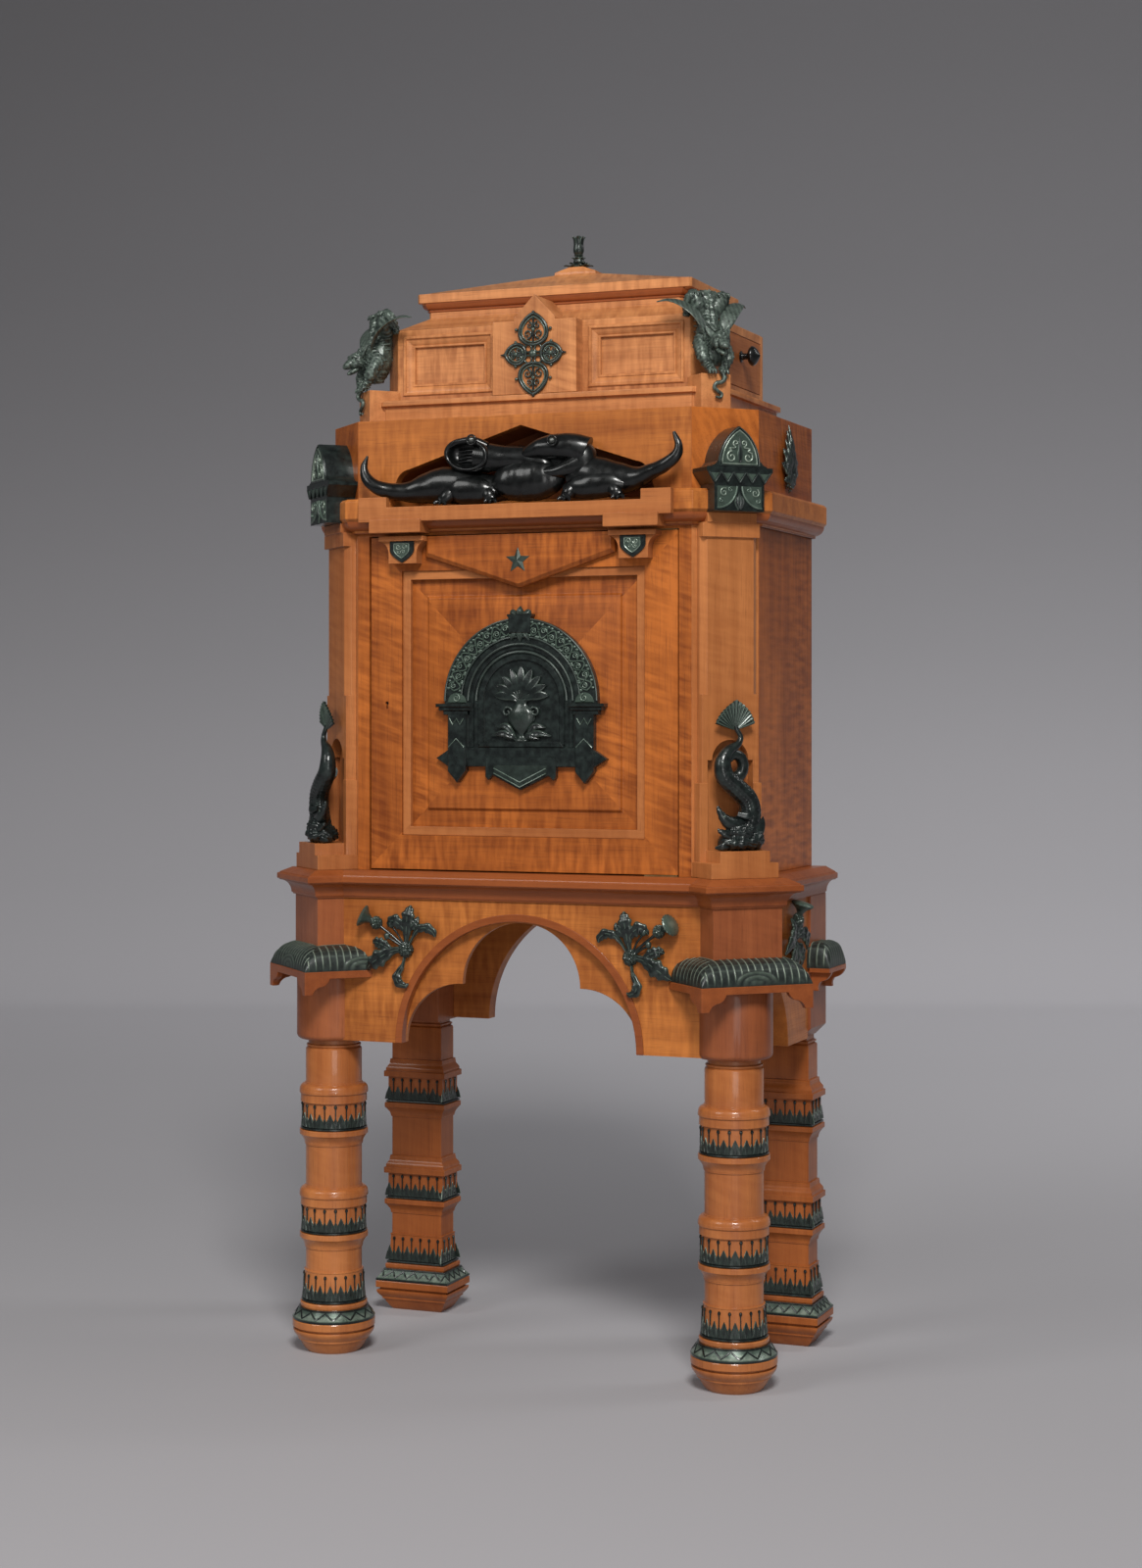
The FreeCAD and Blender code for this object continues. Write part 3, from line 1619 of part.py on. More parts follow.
def quatrefoil(front):
    """Open mount of four pointed rings about a boss, on the face of the centre block."""
    shapes = []
    for quarter in range(4):
        ring = petal(0.0).cut(petal(mount_band))
        ring.rotate(Vec(0, 0, 0), Vec(0, 1, 0), 90.0 * quarter)
        shapes.append(ring)
    shapes.append(disc(0.0, 0.0, mount_boss, -1.5 * mount_thickness, 0.0))
    middle = upper_z + upper_height * mount_height_share
    return at_place(join(shapes), 0.0, front, middle)


def climbing_beast():
    """Right winged beast on its pedestal, head down, with spread wings."""
    floor = upper_plinth_z + pedestal_height
    across, ahead, up = wing_root
    limbs = [limb(standing(climber_foreleg, floor)), limb(standing(climber_haunch, floor))]
    wing = leaf(wing_length, wing_width, wing_thickness, wing_angle)
    limbs.append(at_place(wing, across, -ahead, floor + up))
    shapes = [limb(standing(climber_body, floor))]
    for shape in limbs:
        shapes += pair(shape)
    return join(shapes)


def make_climbing_beasts(neighbours):
    """The two winged beasts on the pedestals, fitted against their neighbours."""
    save("climbing_beasts", *pair(fitted(at_corner(climbing_beast(), upper_corner), neighbours)))


def drawer():
    """Boards of the right drawer: front, back, two sides and bottom."""
    x0, x1, y0, y1, z0, z1 = drawer_limits(0.0)
    inner = x0 + drawer_side
    face = x1 - drawer_front
    boards = [
        box(face, x1, y0, y1, z0, z1),
        box(x0, inner, y0, y1, z0, z1),
        box(inner, face, y0, y0 + drawer_side, z0, z1),
        box(inner, face, y1 - drawer_side, y1, z0, z1),
        box(inner, face, y0 + drawer_side, y1 - drawer_side, z0, z0 + drawer_bottom),
    ]
    return Part.makeCompound(boards)


def knob():
    """Right drawer knob: a stem with a domed head."""
    body = turned([
        (0.0, 0.0),
        (knob_stem_radius, 0.0),
        (knob_stem_radius, knob_stem_length),
        (knob_radius, (knob_stem_length + knob_length) / 2, -ogee_curve),
        (knob_radius / 2, knob_length, -ogee_curve),
        (0.0, knob_length),
    ])
    body.rotate(Vec(0, 0, 0), Vec(0, 1, 0), 90)
    middle = drawer_width / 2 - drawer_start
    height = upper_z + drawer_from_floor + drawer_height * knob_height_share
    return at_place(body, upper_half_width, middle, height)


def make_drawers():
    """Drawers and knobs of both ends."""
    for name, shape in (("drawer", drawer()), ("drawer_knob", knob())):
        right, left = pair(shape)
        save(name + "_right", right)
        save(name + "_left", left)


def make_roof():
    """Roof with its moulded edge, low hip and ridge block, and the finial."""
    eaves = frieze_z + frieze_height
    edge = [
        (eaves, roof_plan(frieze_half_width, frieze_half_depth)),
        (roof_z, roof_plan(roof_half_width - roof_corner, roof_half_depth - roof_corner)),
        (roof_z + step_rise, roof_plan(roof_half_width, roof_half_depth)),
        (hip_z, roof_plan(roof_half_width, roof_half_depth)),
        (hip_z + step_rise, roof_plan(roof_half_width - roof_corner, roof_half_depth - roof_corner)),
        (ridge_z, roof_plan(ridge_half_width, ridge_half_depth)),
    ]
    ridge = stacked([
        (ridge_z - step_rise, rectangle(ridge_half_width, ridge_half_depth)),
        (ridge_z + ridge_edge_height, rectangle(ridge_half_width, ridge_half_depth)),
        (finial_z, rectangle(finial_seat, finial_seat)),
    ])
    save("roof", join([stacked(edge), ridge]))
    outline = [(half, finial_z + height) for half, height in finial_levels]
    outline += [(-half, z) for half, z in reversed(outline)]
    save("finial", front_board(outline, -finial_thickness / 2, finial_thickness / 2))


def build():
    """Builds and writes every piece."""
    make_legs()
    post = front_post()
    save("corner_posts_front", *pair(post))
    save("corner_posts_rear", *pair(rear_post()))
    make_shelves(make_aprons(post))
    make_thistles()
    make_waist()
    make_case()
    make_surround()
    cuts = make_pivots()
    make_lock()
    make_door(cuts)
    make_door_dressing()
    save("relief_plaque", relief_plaque())
    column = pilaster()
    save("pilasters", *pair(column))
    save("niche_beasts", *pair(niche_beast()))
    ground = make_cornice(column)
    make_reptiles(ground + make_attic())
    save("corner_blocks", *pair(corner_block()))
    save("side_ornaments", *pair(side_ornament()))
    plinth = make_upper_plinth()
    make_climbing_beasts([plinth] + make_upper_case())
    make_drawers()
    make_roof()


build()
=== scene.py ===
import json
import logging
import math
from dataclasses import dataclass
from enum import Enum
from typing import Callable, Sequence

import bmesh
import bpy
import numpy as np
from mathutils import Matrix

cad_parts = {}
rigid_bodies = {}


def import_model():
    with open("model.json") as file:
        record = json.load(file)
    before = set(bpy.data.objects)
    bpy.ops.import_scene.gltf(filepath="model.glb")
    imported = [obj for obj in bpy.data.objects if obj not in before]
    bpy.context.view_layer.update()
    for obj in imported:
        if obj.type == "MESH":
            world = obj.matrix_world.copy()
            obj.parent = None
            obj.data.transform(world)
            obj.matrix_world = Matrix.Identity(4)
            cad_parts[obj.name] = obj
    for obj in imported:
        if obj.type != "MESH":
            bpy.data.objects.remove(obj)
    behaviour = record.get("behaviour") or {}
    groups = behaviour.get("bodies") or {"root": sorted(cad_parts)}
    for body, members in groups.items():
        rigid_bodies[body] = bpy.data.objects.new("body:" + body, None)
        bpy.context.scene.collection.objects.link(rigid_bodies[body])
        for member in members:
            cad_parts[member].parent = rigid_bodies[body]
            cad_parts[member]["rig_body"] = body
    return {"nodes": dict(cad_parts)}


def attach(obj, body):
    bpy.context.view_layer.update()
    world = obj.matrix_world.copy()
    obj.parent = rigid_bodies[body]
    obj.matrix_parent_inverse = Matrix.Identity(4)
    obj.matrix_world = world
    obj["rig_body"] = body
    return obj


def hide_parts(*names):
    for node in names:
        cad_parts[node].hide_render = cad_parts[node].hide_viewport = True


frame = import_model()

Array = np.ndarray
Colour = tuple[float, float, float]
Placer = Callable[[Array], Array]

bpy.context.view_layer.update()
LOG = logging.getLogger("cigar_cabinet")
DEPTH_SHIFT = 89.4  # millimetres from the datum line under the roof to the middle of the box
TURN = 2.0 * math.pi
ROOT2 = math.sqrt(2.0)
MM_PER_M = 1000.0
SEAM = 2e-7  # metres within which the points of new grids meet
CAD_SEAM = 5e-7  # the same for copies of CAD boards
FLAT_ANGLE = math.radians(0.6)  # faces of a board that differ by less are one face
BOARD_CREASE = math.radians(24.0)
BEVEL_ANGLE = math.radians(28.0)
FRONT = np.array([0.0, -1.0, 0.0])


# Shapes as arrays, in millimetres from the datum line


def curve(points: Sequence[Sequence[float]], count: int) -> Array:
    """Smooth run through given points: a cubic between neighbours, its slopes from both sides.

    Args:
        points: rows of numbers, one row for each point passed through.
        count: how many rows to read off, at even steps.
    Returns:
        Array of count rows.
    """
    stops = np.asarray(points, float)
    steps = np.linspace(0.0, len(stops) - 1.0, count)
    first = np.minimum(steps.astype(int), len(stops) - 2)
    t = (steps - first)[:, None]
    slope = np.gradient(stops, axis=0)
    near, far = stops[first], stops[first + 1]
    blend = t * t * (3.0 - 2.0 * t)
    lean = t * (1.0 - t) ** 2 * slope[first] - t * t * (1.0 - t) * slope[first + 1]
    return near + (far - near) * blend + lean


def unit(vectors: Array) -> Array:
    """Vectors divided by their lengths."""
    return vectors / np.maximum(np.linalg.norm(vectors, axis=-1, keepdims=True), 1e-9)


def tube(path: Array, wide: Array | float, thick: Array | float, face: Array, sides: int = 16,
         groove: float = 0.0) -> Array:
    """Oval section carried along a path; wide across the path, thick towards the face.

    Args:
        path: points (n, 3) of the middle line.
        wide: half width across, one for all points or one for each.
        thick: half thickness towards the face, likewise.
        face: direction or directions that the flat side looks to.
        sides: points round a section.
        groove: share of the thickness that is pressed in along the middle of the face.
    Returns:
        Grid (n, sides, 3), closed round its columns.
    """
    along = unit(np.gradient(path, axis=0))
    side = unit(np.cross(along, np.broadcast_to(np.asarray(face, float), path.shape)))
    front = np.cross(side, along)
    angle = np.linspace(0.0, TURN, sides, endpoint=False)
    press = 1.0 - groove * np.exp(-((np.cos(angle) / 0.3) ** 2))
    across = np.broadcast_to(wide, len(path))[:, None] * np.cos(angle)
    ahead = np.broadcast_to(thick, len(path))[:, None] * np.sin(angle) * press
    return path[:, None] + side[:, None] * across[..., None] + front[:, None] * ahead[..., None]


def lathe(profile: Array, sides: int) -> Array:
    """Profile rows (radius, height) turned about the upright axis.

    Args:
        profile: rows of radius and height.
        sides: points round the axis.
    Returns:
        Grid (n, sides, 3).
    """
    angle = np.linspace(0.0, TURN, sides, endpoint=False)
    radius, height = profile[:, 0, None], profile[:, 1, None]
    return np.stack([radius * np.cos(angle), radius * np.sin(angle), height + 0.0 * angle], axis=-1)


def aimed(grid: Array, start: Sequence[float], along: Sequence[float]) -> Array:
    """Turns a grid made about the upright axis so that the axis runs from start in a direction.

    Args:
        grid: points made with height along Z.
        start: place of the grid's origin.
        along: direction that Z is turned to.
    Returns:
        The turned grid.
    """
    axis = unit(np.asarray(along, float))
    other = np.array([0.0, 1.0, 0.0]) if abs(axis[1]) < 0.9 else np.array([1.0, 0.0, 0.0])
    first = unit(np.cross(other, axis))
    second = np.cross(axis, first)
    return np.asarray(start) + grid[..., :1] * first + grid[..., 1:2] * second + grid[..., 2:] * axis


def ball(centre: Sequence[float], radii: Sequence[float], rows: int = 14, sides: int = 20) -> Array:
    """Ellipsoid: a half circle of rows turned about Z and stretched by three radii.

    Args:
        centre: middle point.
        radii: half sizes along X, Y and Z.
        rows: points from pole to pole.
        sides: points round.
    Returns:
        Grid (rows, sides, 3).
    """
    rise = np.linspace(-0.49 * math.pi, 0.49 * math.pi, rows)
    grid = lathe(np.stack([np.cos(rise), np.sin(rise)], axis=-1), sides)
    return np.asarray(centre, float) + grid * np.asarray(radii, float)


def outset(plan: Array, distance: Array) -> Array:
    """Closed outline whose edges are each moved outwards and met again at their corners.

    Args:
        plan: corners (k, 2), counter-clockwise.
        distance: how far each edge moves, edge i running from corner i to the next.
    Returns:
        Corners (k, 2) of the moved outline.
    """
    edge = unit(np.roll(plan, -1, axis=0) - plan)
    normal = np.stack([edge[:, 1], -edge[:, 0]], axis=-1)
    far = np.broadcast_to(np.asarray(distance, float), len(plan))
    pair = np.stack([np.roll(normal, 1, axis=0), normal], axis=1)
    move = np.linalg.pinv(pair) @ np.stack([np.roll(far, 1), far], axis=-1)[..., None]
    return plan + move[..., 0]


def swept(plan: Array, profile: Array, moving: Array) -> Array:
    """Moulding: a profile of (out, height) carried round a closed plan with mitred corners.

    Args:
        plan: corners (k, 2) of the plan, counter-clockwise.
        profile: rows of out and height, from the bottom up.
        moving: share (k) of the profile's out that each edge takes.
    Returns:
        Grid (rows, k, 3), closed round its columns.
    """
    rings = [outset(plan, out * moving) for out in profile[:, 0]]
    flat = np.stack(rings)
    height = np.broadcast_to(profile[:, 1, None, None], flat.shape[:2] + (1,))
    return np.concatenate([flat, height], axis=-1)


def plate(outline: Array, back: float, front: float, ease: float) -> Array:
    """Flat plate in the XZ plane with an eased front edge, drawn as rings from back to front.

    Args:
        outline: corners (k, 2) of X and Z, counter-clockwise seen from the front.
        back: depth of the back.
        front: depth of the face, smaller than the back.
        ease: width of the eased edge.
    Returns:
        Grid (3, k, 3), closed round its columns.
    """
    inner = outset(outline, -ease)
    rings = [(outline, back), (outline, front + ease), (inner, front)]
    return np.stack([np.stack([r[:, 0], np.full(len(r), y), r[:, 1]], axis=-1) for r, y in rings])


def arc(centre: Sequence[float], radius: float, start: float, end: float, count: int) -> Array:
    """Points (count, 2) on a circle from one angle to another, in degrees."""
    angle = np.radians(np.linspace(start, end, count))
    return np.stack([centre[0] + radius * np.cos(angle), centre[1] + radius * np.sin(angle)], axis=-1)


def lifted(flat: Array, depth: float) -> Array:
    """Points (n, 2) of X and Z set at one depth as (n, 3)."""
    return np.stack([flat[:, 0], np.full(len(flat), depth), flat[:, 1]], axis=-1)


def wire(flat: Array, depth: float, wide: Array | float, thick: Array | float, sides: int = 8) -> Array:
    """Raised line: an oval section carried along points (n, 2) of X and Z at one depth."""
    return tube(lifted(flat, depth), wide, thick, FRONT, sides)


def oblong(wide: float, deep: float) -> Array:
    """Corners (4, 2) of an oblong about its middle, from its half sizes."""
    return np.array([[-wide, -deep], [wide, -deep], [wide, deep], [-wide, deep]])


def cut_plan(side: float, near: float, back: float, cut: float) -> Array:
    """Plan (6, 2) with both front corners cut off, from its half width, front, back and cut."""
    half = np.array([[side - cut, -near], [side, cut - near], [side, back]])
    return np.concatenate([half[::-1] * np.array([-1.0, 1.0]), half])


def spun(x: Array | float, y: Array | float, z: Array | float, share: float) -> Array:
    """Points turned about the upright axis by a share of a full turn."""
    cos, sin = math.cos(TURN * share), math.sin(TURN * share)
    return np.stack([x * cos - y * sin, x * sin + y * cos, z], axis=-1)


def sideways(grid: Array) -> Array:
    """Local points (across, minus ahead, up) turned to look to the right."""
    return np.stack([-grid[..., 1], grid[..., 0], grid[..., 2]], axis=-1)


def cornered(grid: Array, centre: Sequence[float]) -> Array:
    """Local points (across, depth, height) turned 45 degrees, to look out of the right front corner.

    Args:
        grid: local points.
        centre: place of the local origin in X and Y.
    Returns:
        The turned points.
    """
    across, depth = grid[..., 0], grid[..., 1]
    x = centre[0] + (across - depth) / ROOT2
    y = centre[1] + (across + depth) / ROOT2
    return np.stack([x, y, grid[..., 2]], axis=-1)


def flipped(grid: Array) -> Array:
    """The same points on the other side of the middle plane."""
    return grid * np.array([-1.0, 1.0, 1.0])


def roughened(grid: Array, amount: float, scale: float) -> Array:
    """Lumpy skin: points moved along their normals by products of slanted sines.

    Args:
        grid: points closed round their columns.
        amount: greatest move.
        scale: length over which the lumps repeat.
    Returns:
        The moved grid.
    """
    along = np.gradient(grid, axis=0)
    around = np.roll(grid, -1, axis=1) - np.roll(grid, 1, axis=1)
    p = grid / scale * TURN
    first = np.sin(p @ np.array([0.9, 0.3, 0.5])) * np.sin(p @ np.array([-0.4, 0.8, 0.7]))
    second = np.sin(p @ np.array([1.7, -0.9, 1.1]) + 1.0) * np.sin(p @ np.array([0.6, 1.5, -1.6]))
    return grid + unit(np.cross(along, around)) * (amount * (first + 0.6 * second))[..., None]


def limb(rows: Sequence[Sequence[float]], count: int = 18, sides: int = 12, face: Sequence[float] = FRONT,
         groove: float = 0.0) -> Array:
    """Limb or leaf through rows of (x, depth, z, half width, half thickness).

    Args:
        rows: stations of the limb.
        count: rows of the grid.
        sides: points round it.
        face: direction that its flat side looks to.
        groove: depth of a groove along the face.
    Returns:
        Grid (count, sides, 3).
    """
    run = curve(rows, count)
    return tube(run[:, :3], np.maximum(run[:, 3], 0.3), np.maximum(run[:, 4], 0.3), face, sides, groove)


def rim(grid: Array, strength: float) -> Array:
    """Patina marks that are strongest along both edges of a flat limb."""
    angle = np.linspace(0.0, TURN, grid.shape[1], endpoint=False)
    return np.broadcast_to(strength * np.abs(np.cos(angle)) ** 6, grid.shape[:2])


def lobed(grid: Array, count: float, amount: float) -> Array:
    """Leaf with a waved edge: its rings widen and narrow in turn, by a share that fades at both ends.

    Args:
        grid: the plain leaf.
        count: waves along it.
        amount: greatest share of the width.
    Returns:
        The waved grid.
    """
    axis = grid.mean(axis=1, keepdims=True)
    share = np.linspace(0.0, 1.0, grid.shape[0])[:, None, None]
    return axis + (grid - axis) * (1.0 + amount * np.sin(count * TURN * share) * np.sin(np.pi * share))


def scroll(centre: Sequence[float], radius: float, turns: float, start: float, depth: float,
        width: float) -> Array:
    """Flat spiral that winds in as it turns, tapering to its end.

    Args:
        centre: middle in X and Z.
        radius: outer radius.
        turns: number of turns, negative to wind the other way.
        start: angle of the outer end in degrees.
        depth: depth of its middle line.
        width: half width at the outer end.
    Returns:
        Grid of the spiral.
    """
    share = np.linspace(0.0, 1.0, 22)
    angle = math.radians(start) + turns * TURN * share
    far = radius * (1.0 - 0.8 * share)
    flat = np.stack([centre[0] + far * np.cos(angle), centre[1] + far * np.sin(angle)], -1)
    taper = width * (1.0 - 0.45 * share)
    return wire(flat, depth, taper, taper * 1.1)


class Skin:
    """Grids and plates gathered into one mesh, with a patina mark on each point."""

    def __init__(self) -> None:
        """Starts with no points."""
        self.points: list[Array] = []
        self.marks: list[Array] = []
        self.faces: list[Array] = []
        self.count = 0

    def _put(self, points: Array, mark: Array | float) -> int:
        """Adds loose points and returns the number of the first of them.

        Args:
            points: points in any layout.
            mark: patina mark, one number or one for each point.
        Returns:
            Number of the first point.
        """
        first = self.count
        flat = points.reshape(-1, 3)
        self.points.append(flat)
        self.marks.append(np.broadcast_to(mark, points.shape[:-1]).reshape(-1).astype(float))
        self.count += len(flat)
        return first

    def grid(self, points: Array, ring: bool = True, caps: bool = True,
            mark: Array | float = 0.0) -> "Skin":
        """Adds a grid as quads, its first and last rows closed by fans.

        Args:
            points: grid (rows, columns, 3).
            ring: whether the last column meets the first.
            caps: whether the end rows are closed.
            mark: patina mark, one number or one for each point.
        Returns:
            The skin itself.
        """
        rows, columns = points.shape[:2]
        first = self._put(points, mark)
        index = first + np.arange(rows * columns).reshape(rows, columns)
        if ring:
            index = np.concatenate([index, index[:, :1]], axis=1)
        corners = [index[:-1, :-1], index[:-1, 1:], index[1:, 1:], index[1:, :-1]]
        self.faces.append(np.stack(corners, axis=-1).reshape(-1, 4))
        if caps:
            marks = np.broadcast_to(mark, points.shape[:-1])
            for row in (0, rows - 1):
                middle = self._put(points[row].mean(axis=0)[None], float(marks[row].mean()))
                fan = [index[row, :-1], index[row, 1:], np.full(index.shape[1] - 1, middle)]
                self.faces.append(np.stack(fan, axis=-1))
        return self

    def block(self, rings: Array, mark: Array | float = 0.0) -> "Skin":
        """Adds rings of one outline as walls, with the first and last ring filled by one face each.

        Args:
            rings: grid (rows, corners, 3).
            mark: patina mark.
        Returns:
            The skin itself.
        """
        rows, columns = rings.shape[:2]
        first = self.count
        self.grid(rings, ring=True, caps=False, mark=mark)
        self.faces.append(first + np.arange(columns)[None, ::-1])
        self.faces.append(first + (rows - 1) * columns + np.arange(columns)[None])
        return self

    def lid(self, loop: Array) -> "Skin":
        """Closes a loop of points with a fan of faces about its middle.

        Args:
            loop: points (n, 3) in order.
        Returns:
            The skin itself.
        """
        index = self._put(loop, 0.0) + np.arange(len(loop))
        middle = self._put(loop.mean(axis=0)[None], 0.0)
        self.faces.append(np.stack([index, np.roll(index, -1), np.full(len(loop), middle)], axis=-1))
        return self

    def both(self) -> "Skin":
        """Adds the mirror image of everything gathered so far.

        Returns:
            The skin itself.
        """
        shift = self.count
        self.points += [flipped(p) for p in self.points]
        self.marks += list(self.marks)
        self.faces += [f + shift for f in self.faces]
        self.count *= 2
        return self

    def made(self, name: str, crease: float = 38.0) -> bpy.types.Object:
        """Turns the gathered faces into an object in the shared frame.

        Args:
            name: name of the piece.
            crease: angle in degrees past which an edge stays sharp.
        Returns:
            The new object, its faces outwards.
        """
        places = (np.concatenate(self.points) + np.array([0.0, DEPTH_SHIFT, 0.0])) / MM_PER_M
        sizes = np.concatenate([np.full(len(f), f.shape[1]) for f in self.faces])
        loops = np.concatenate([f.reshape(-1) for f in self.faces])
        mesh = bpy.data.meshes.new(name)
        mesh.vertices.add(len(places))
        mesh.vertices.foreach_set("co", places.astype(np.float32).ravel())
        mesh.loops.add(len(loops))
        mesh.loops.foreach_set("vertex_index", loops.astype(np.int32))
        mesh.polygons.add(len(sizes))
        mesh.polygons.foreach_set("loop_start", (np.cumsum(sizes) - sizes).astype(np.int32))
        # On bronzes this attribute holds patina marks; on the studio floor it holds painted light falloff.
        mark = mesh.attributes.new("patina", "FLOAT", "POINT")
        mark.data.foreach_set("value", np.concatenate(self.marks).astype(np.float32))
        mesh.update(calc_edges=True)
        mesh.validate()
        work = bmesh.new()
        work.from_mesh(mesh)
        bmesh.ops.remove_doubles(work, verts=work.verts, dist=SEAM)
        bmesh.ops.recalc_face_normals(work, faces=work.faces)
        work.to_mesh(mesh)
        work.free()
        mesh.polygons.foreach_set("use_smooth", np.ones(len(mesh.polygons), bool))
        mesh.set_sharp_from_angle(angle=math.radians(crease))
        piece = bpy.data.objects.new(name, mesh)
        bpy.context.scene.collection.objects.link(piece)
        return piece


# Finishes


class Bench:
    """Small helper that lays out the nodes of one material."""

    def __init__(self, name: str) -> None:
        """Makes an empty material with an output.

        Args:
            name: name of the material.
        """
        self.material = bpy.data.materials.new(name)
        self.material.use_nodes = True
        self.tree = self.material.node_tree
        self.tree.nodes.clear()
        self.output = self.tree.nodes.new("ShaderNodeOutputMaterial")

    def node(self, kind: str, values: dict | None = None, **settings: object) -> bpy.types.Node:
        """Adds a node.

        Args:
            kind: node type without its ShaderNode prefix.
            values: input name or number to a constant or to a socket that is linked to it.
            settings: properties of the node.
        Returns:
            The node.
        """
        node = self.tree.nodes.new("ShaderNode" + kind)
        for key, value in settings.items():
            setattr(node, key, value)
        for key, value in (values or {}).items():
            if isinstance(value, bpy.types.NodeSocket):
                self.tree.links.new(value, node.inputs[key])
            else:
                node.inputs[key].default_value = value
        return node

    def sum(self, operation: str, *terms: object, clamp: bool = False) -> bpy.types.NodeSocket:
        """Result of a Math node on constants or sockets."""
        values = dict(enumerate(terms))
        return self.node("Math", values, operation=operation, use_clamp=clamp).outputs[0]

    def spread(self, value: object, low: float, high: float, to_low: float,
            to_high: float) -> bpy.types.NodeSocket:
        """Value carried from one range to another and held at its ends."""
        values = {0: value, 1: low, 2: high, 3: to_low, 4: to_high}
        return self.node("MapRange", values, clamp=True).outputs[0]

    def stretched(self, vector: object, scale: Sequence[float],
            move: Sequence[float]) -> bpy.types.NodeSocket:
        """Coordinates stretched by a scale and moved."""
        values = {"Vector": vector, "Scale": tuple(scale), "Location": tuple(move)}
        return self.node("Mapping", values).outputs[0]

    def noise(self, vector: object, scale: float, detail: float,
            rough: float = 0.5) -> bpy.types.NodeSocket:
        """Noise from 0 to 1 at a scale."""
        values = {"Vector": vector, "Scale": scale, "Detail": detail, "Roughness": rough}
        return self.node("TexNoise", values).outputs[0]

    def blend(self, share: object, first: object, second: object,
            mode: str = "MIX") -> bpy.types.NodeSocket:
        """Mix of two colours."""
        values = {0: share, 6: first, 7: second}
        return self.node("Mix", values, data_type="RGBA", blend_type=mode).outputs[2]

    def close(self, shader: bpy.types.Node) -> bpy.types.Material:
        """Links a shader to the output and returns the material."""
        self.tree.links.new(shader.outputs[0], self.output.inputs[0])
        return self.material


def rgba(colour: Colour) -> tuple[float, float, float, float]:
    """Colour with full cover."""
    return (*colour, 1.0)


class Grain(Enum):
    """Which way the grain of a board runs."""

    UPRIGHT = "upright"
    ACROSS = "across"
    DEEP = "deep"
    MITRED = "mitred"


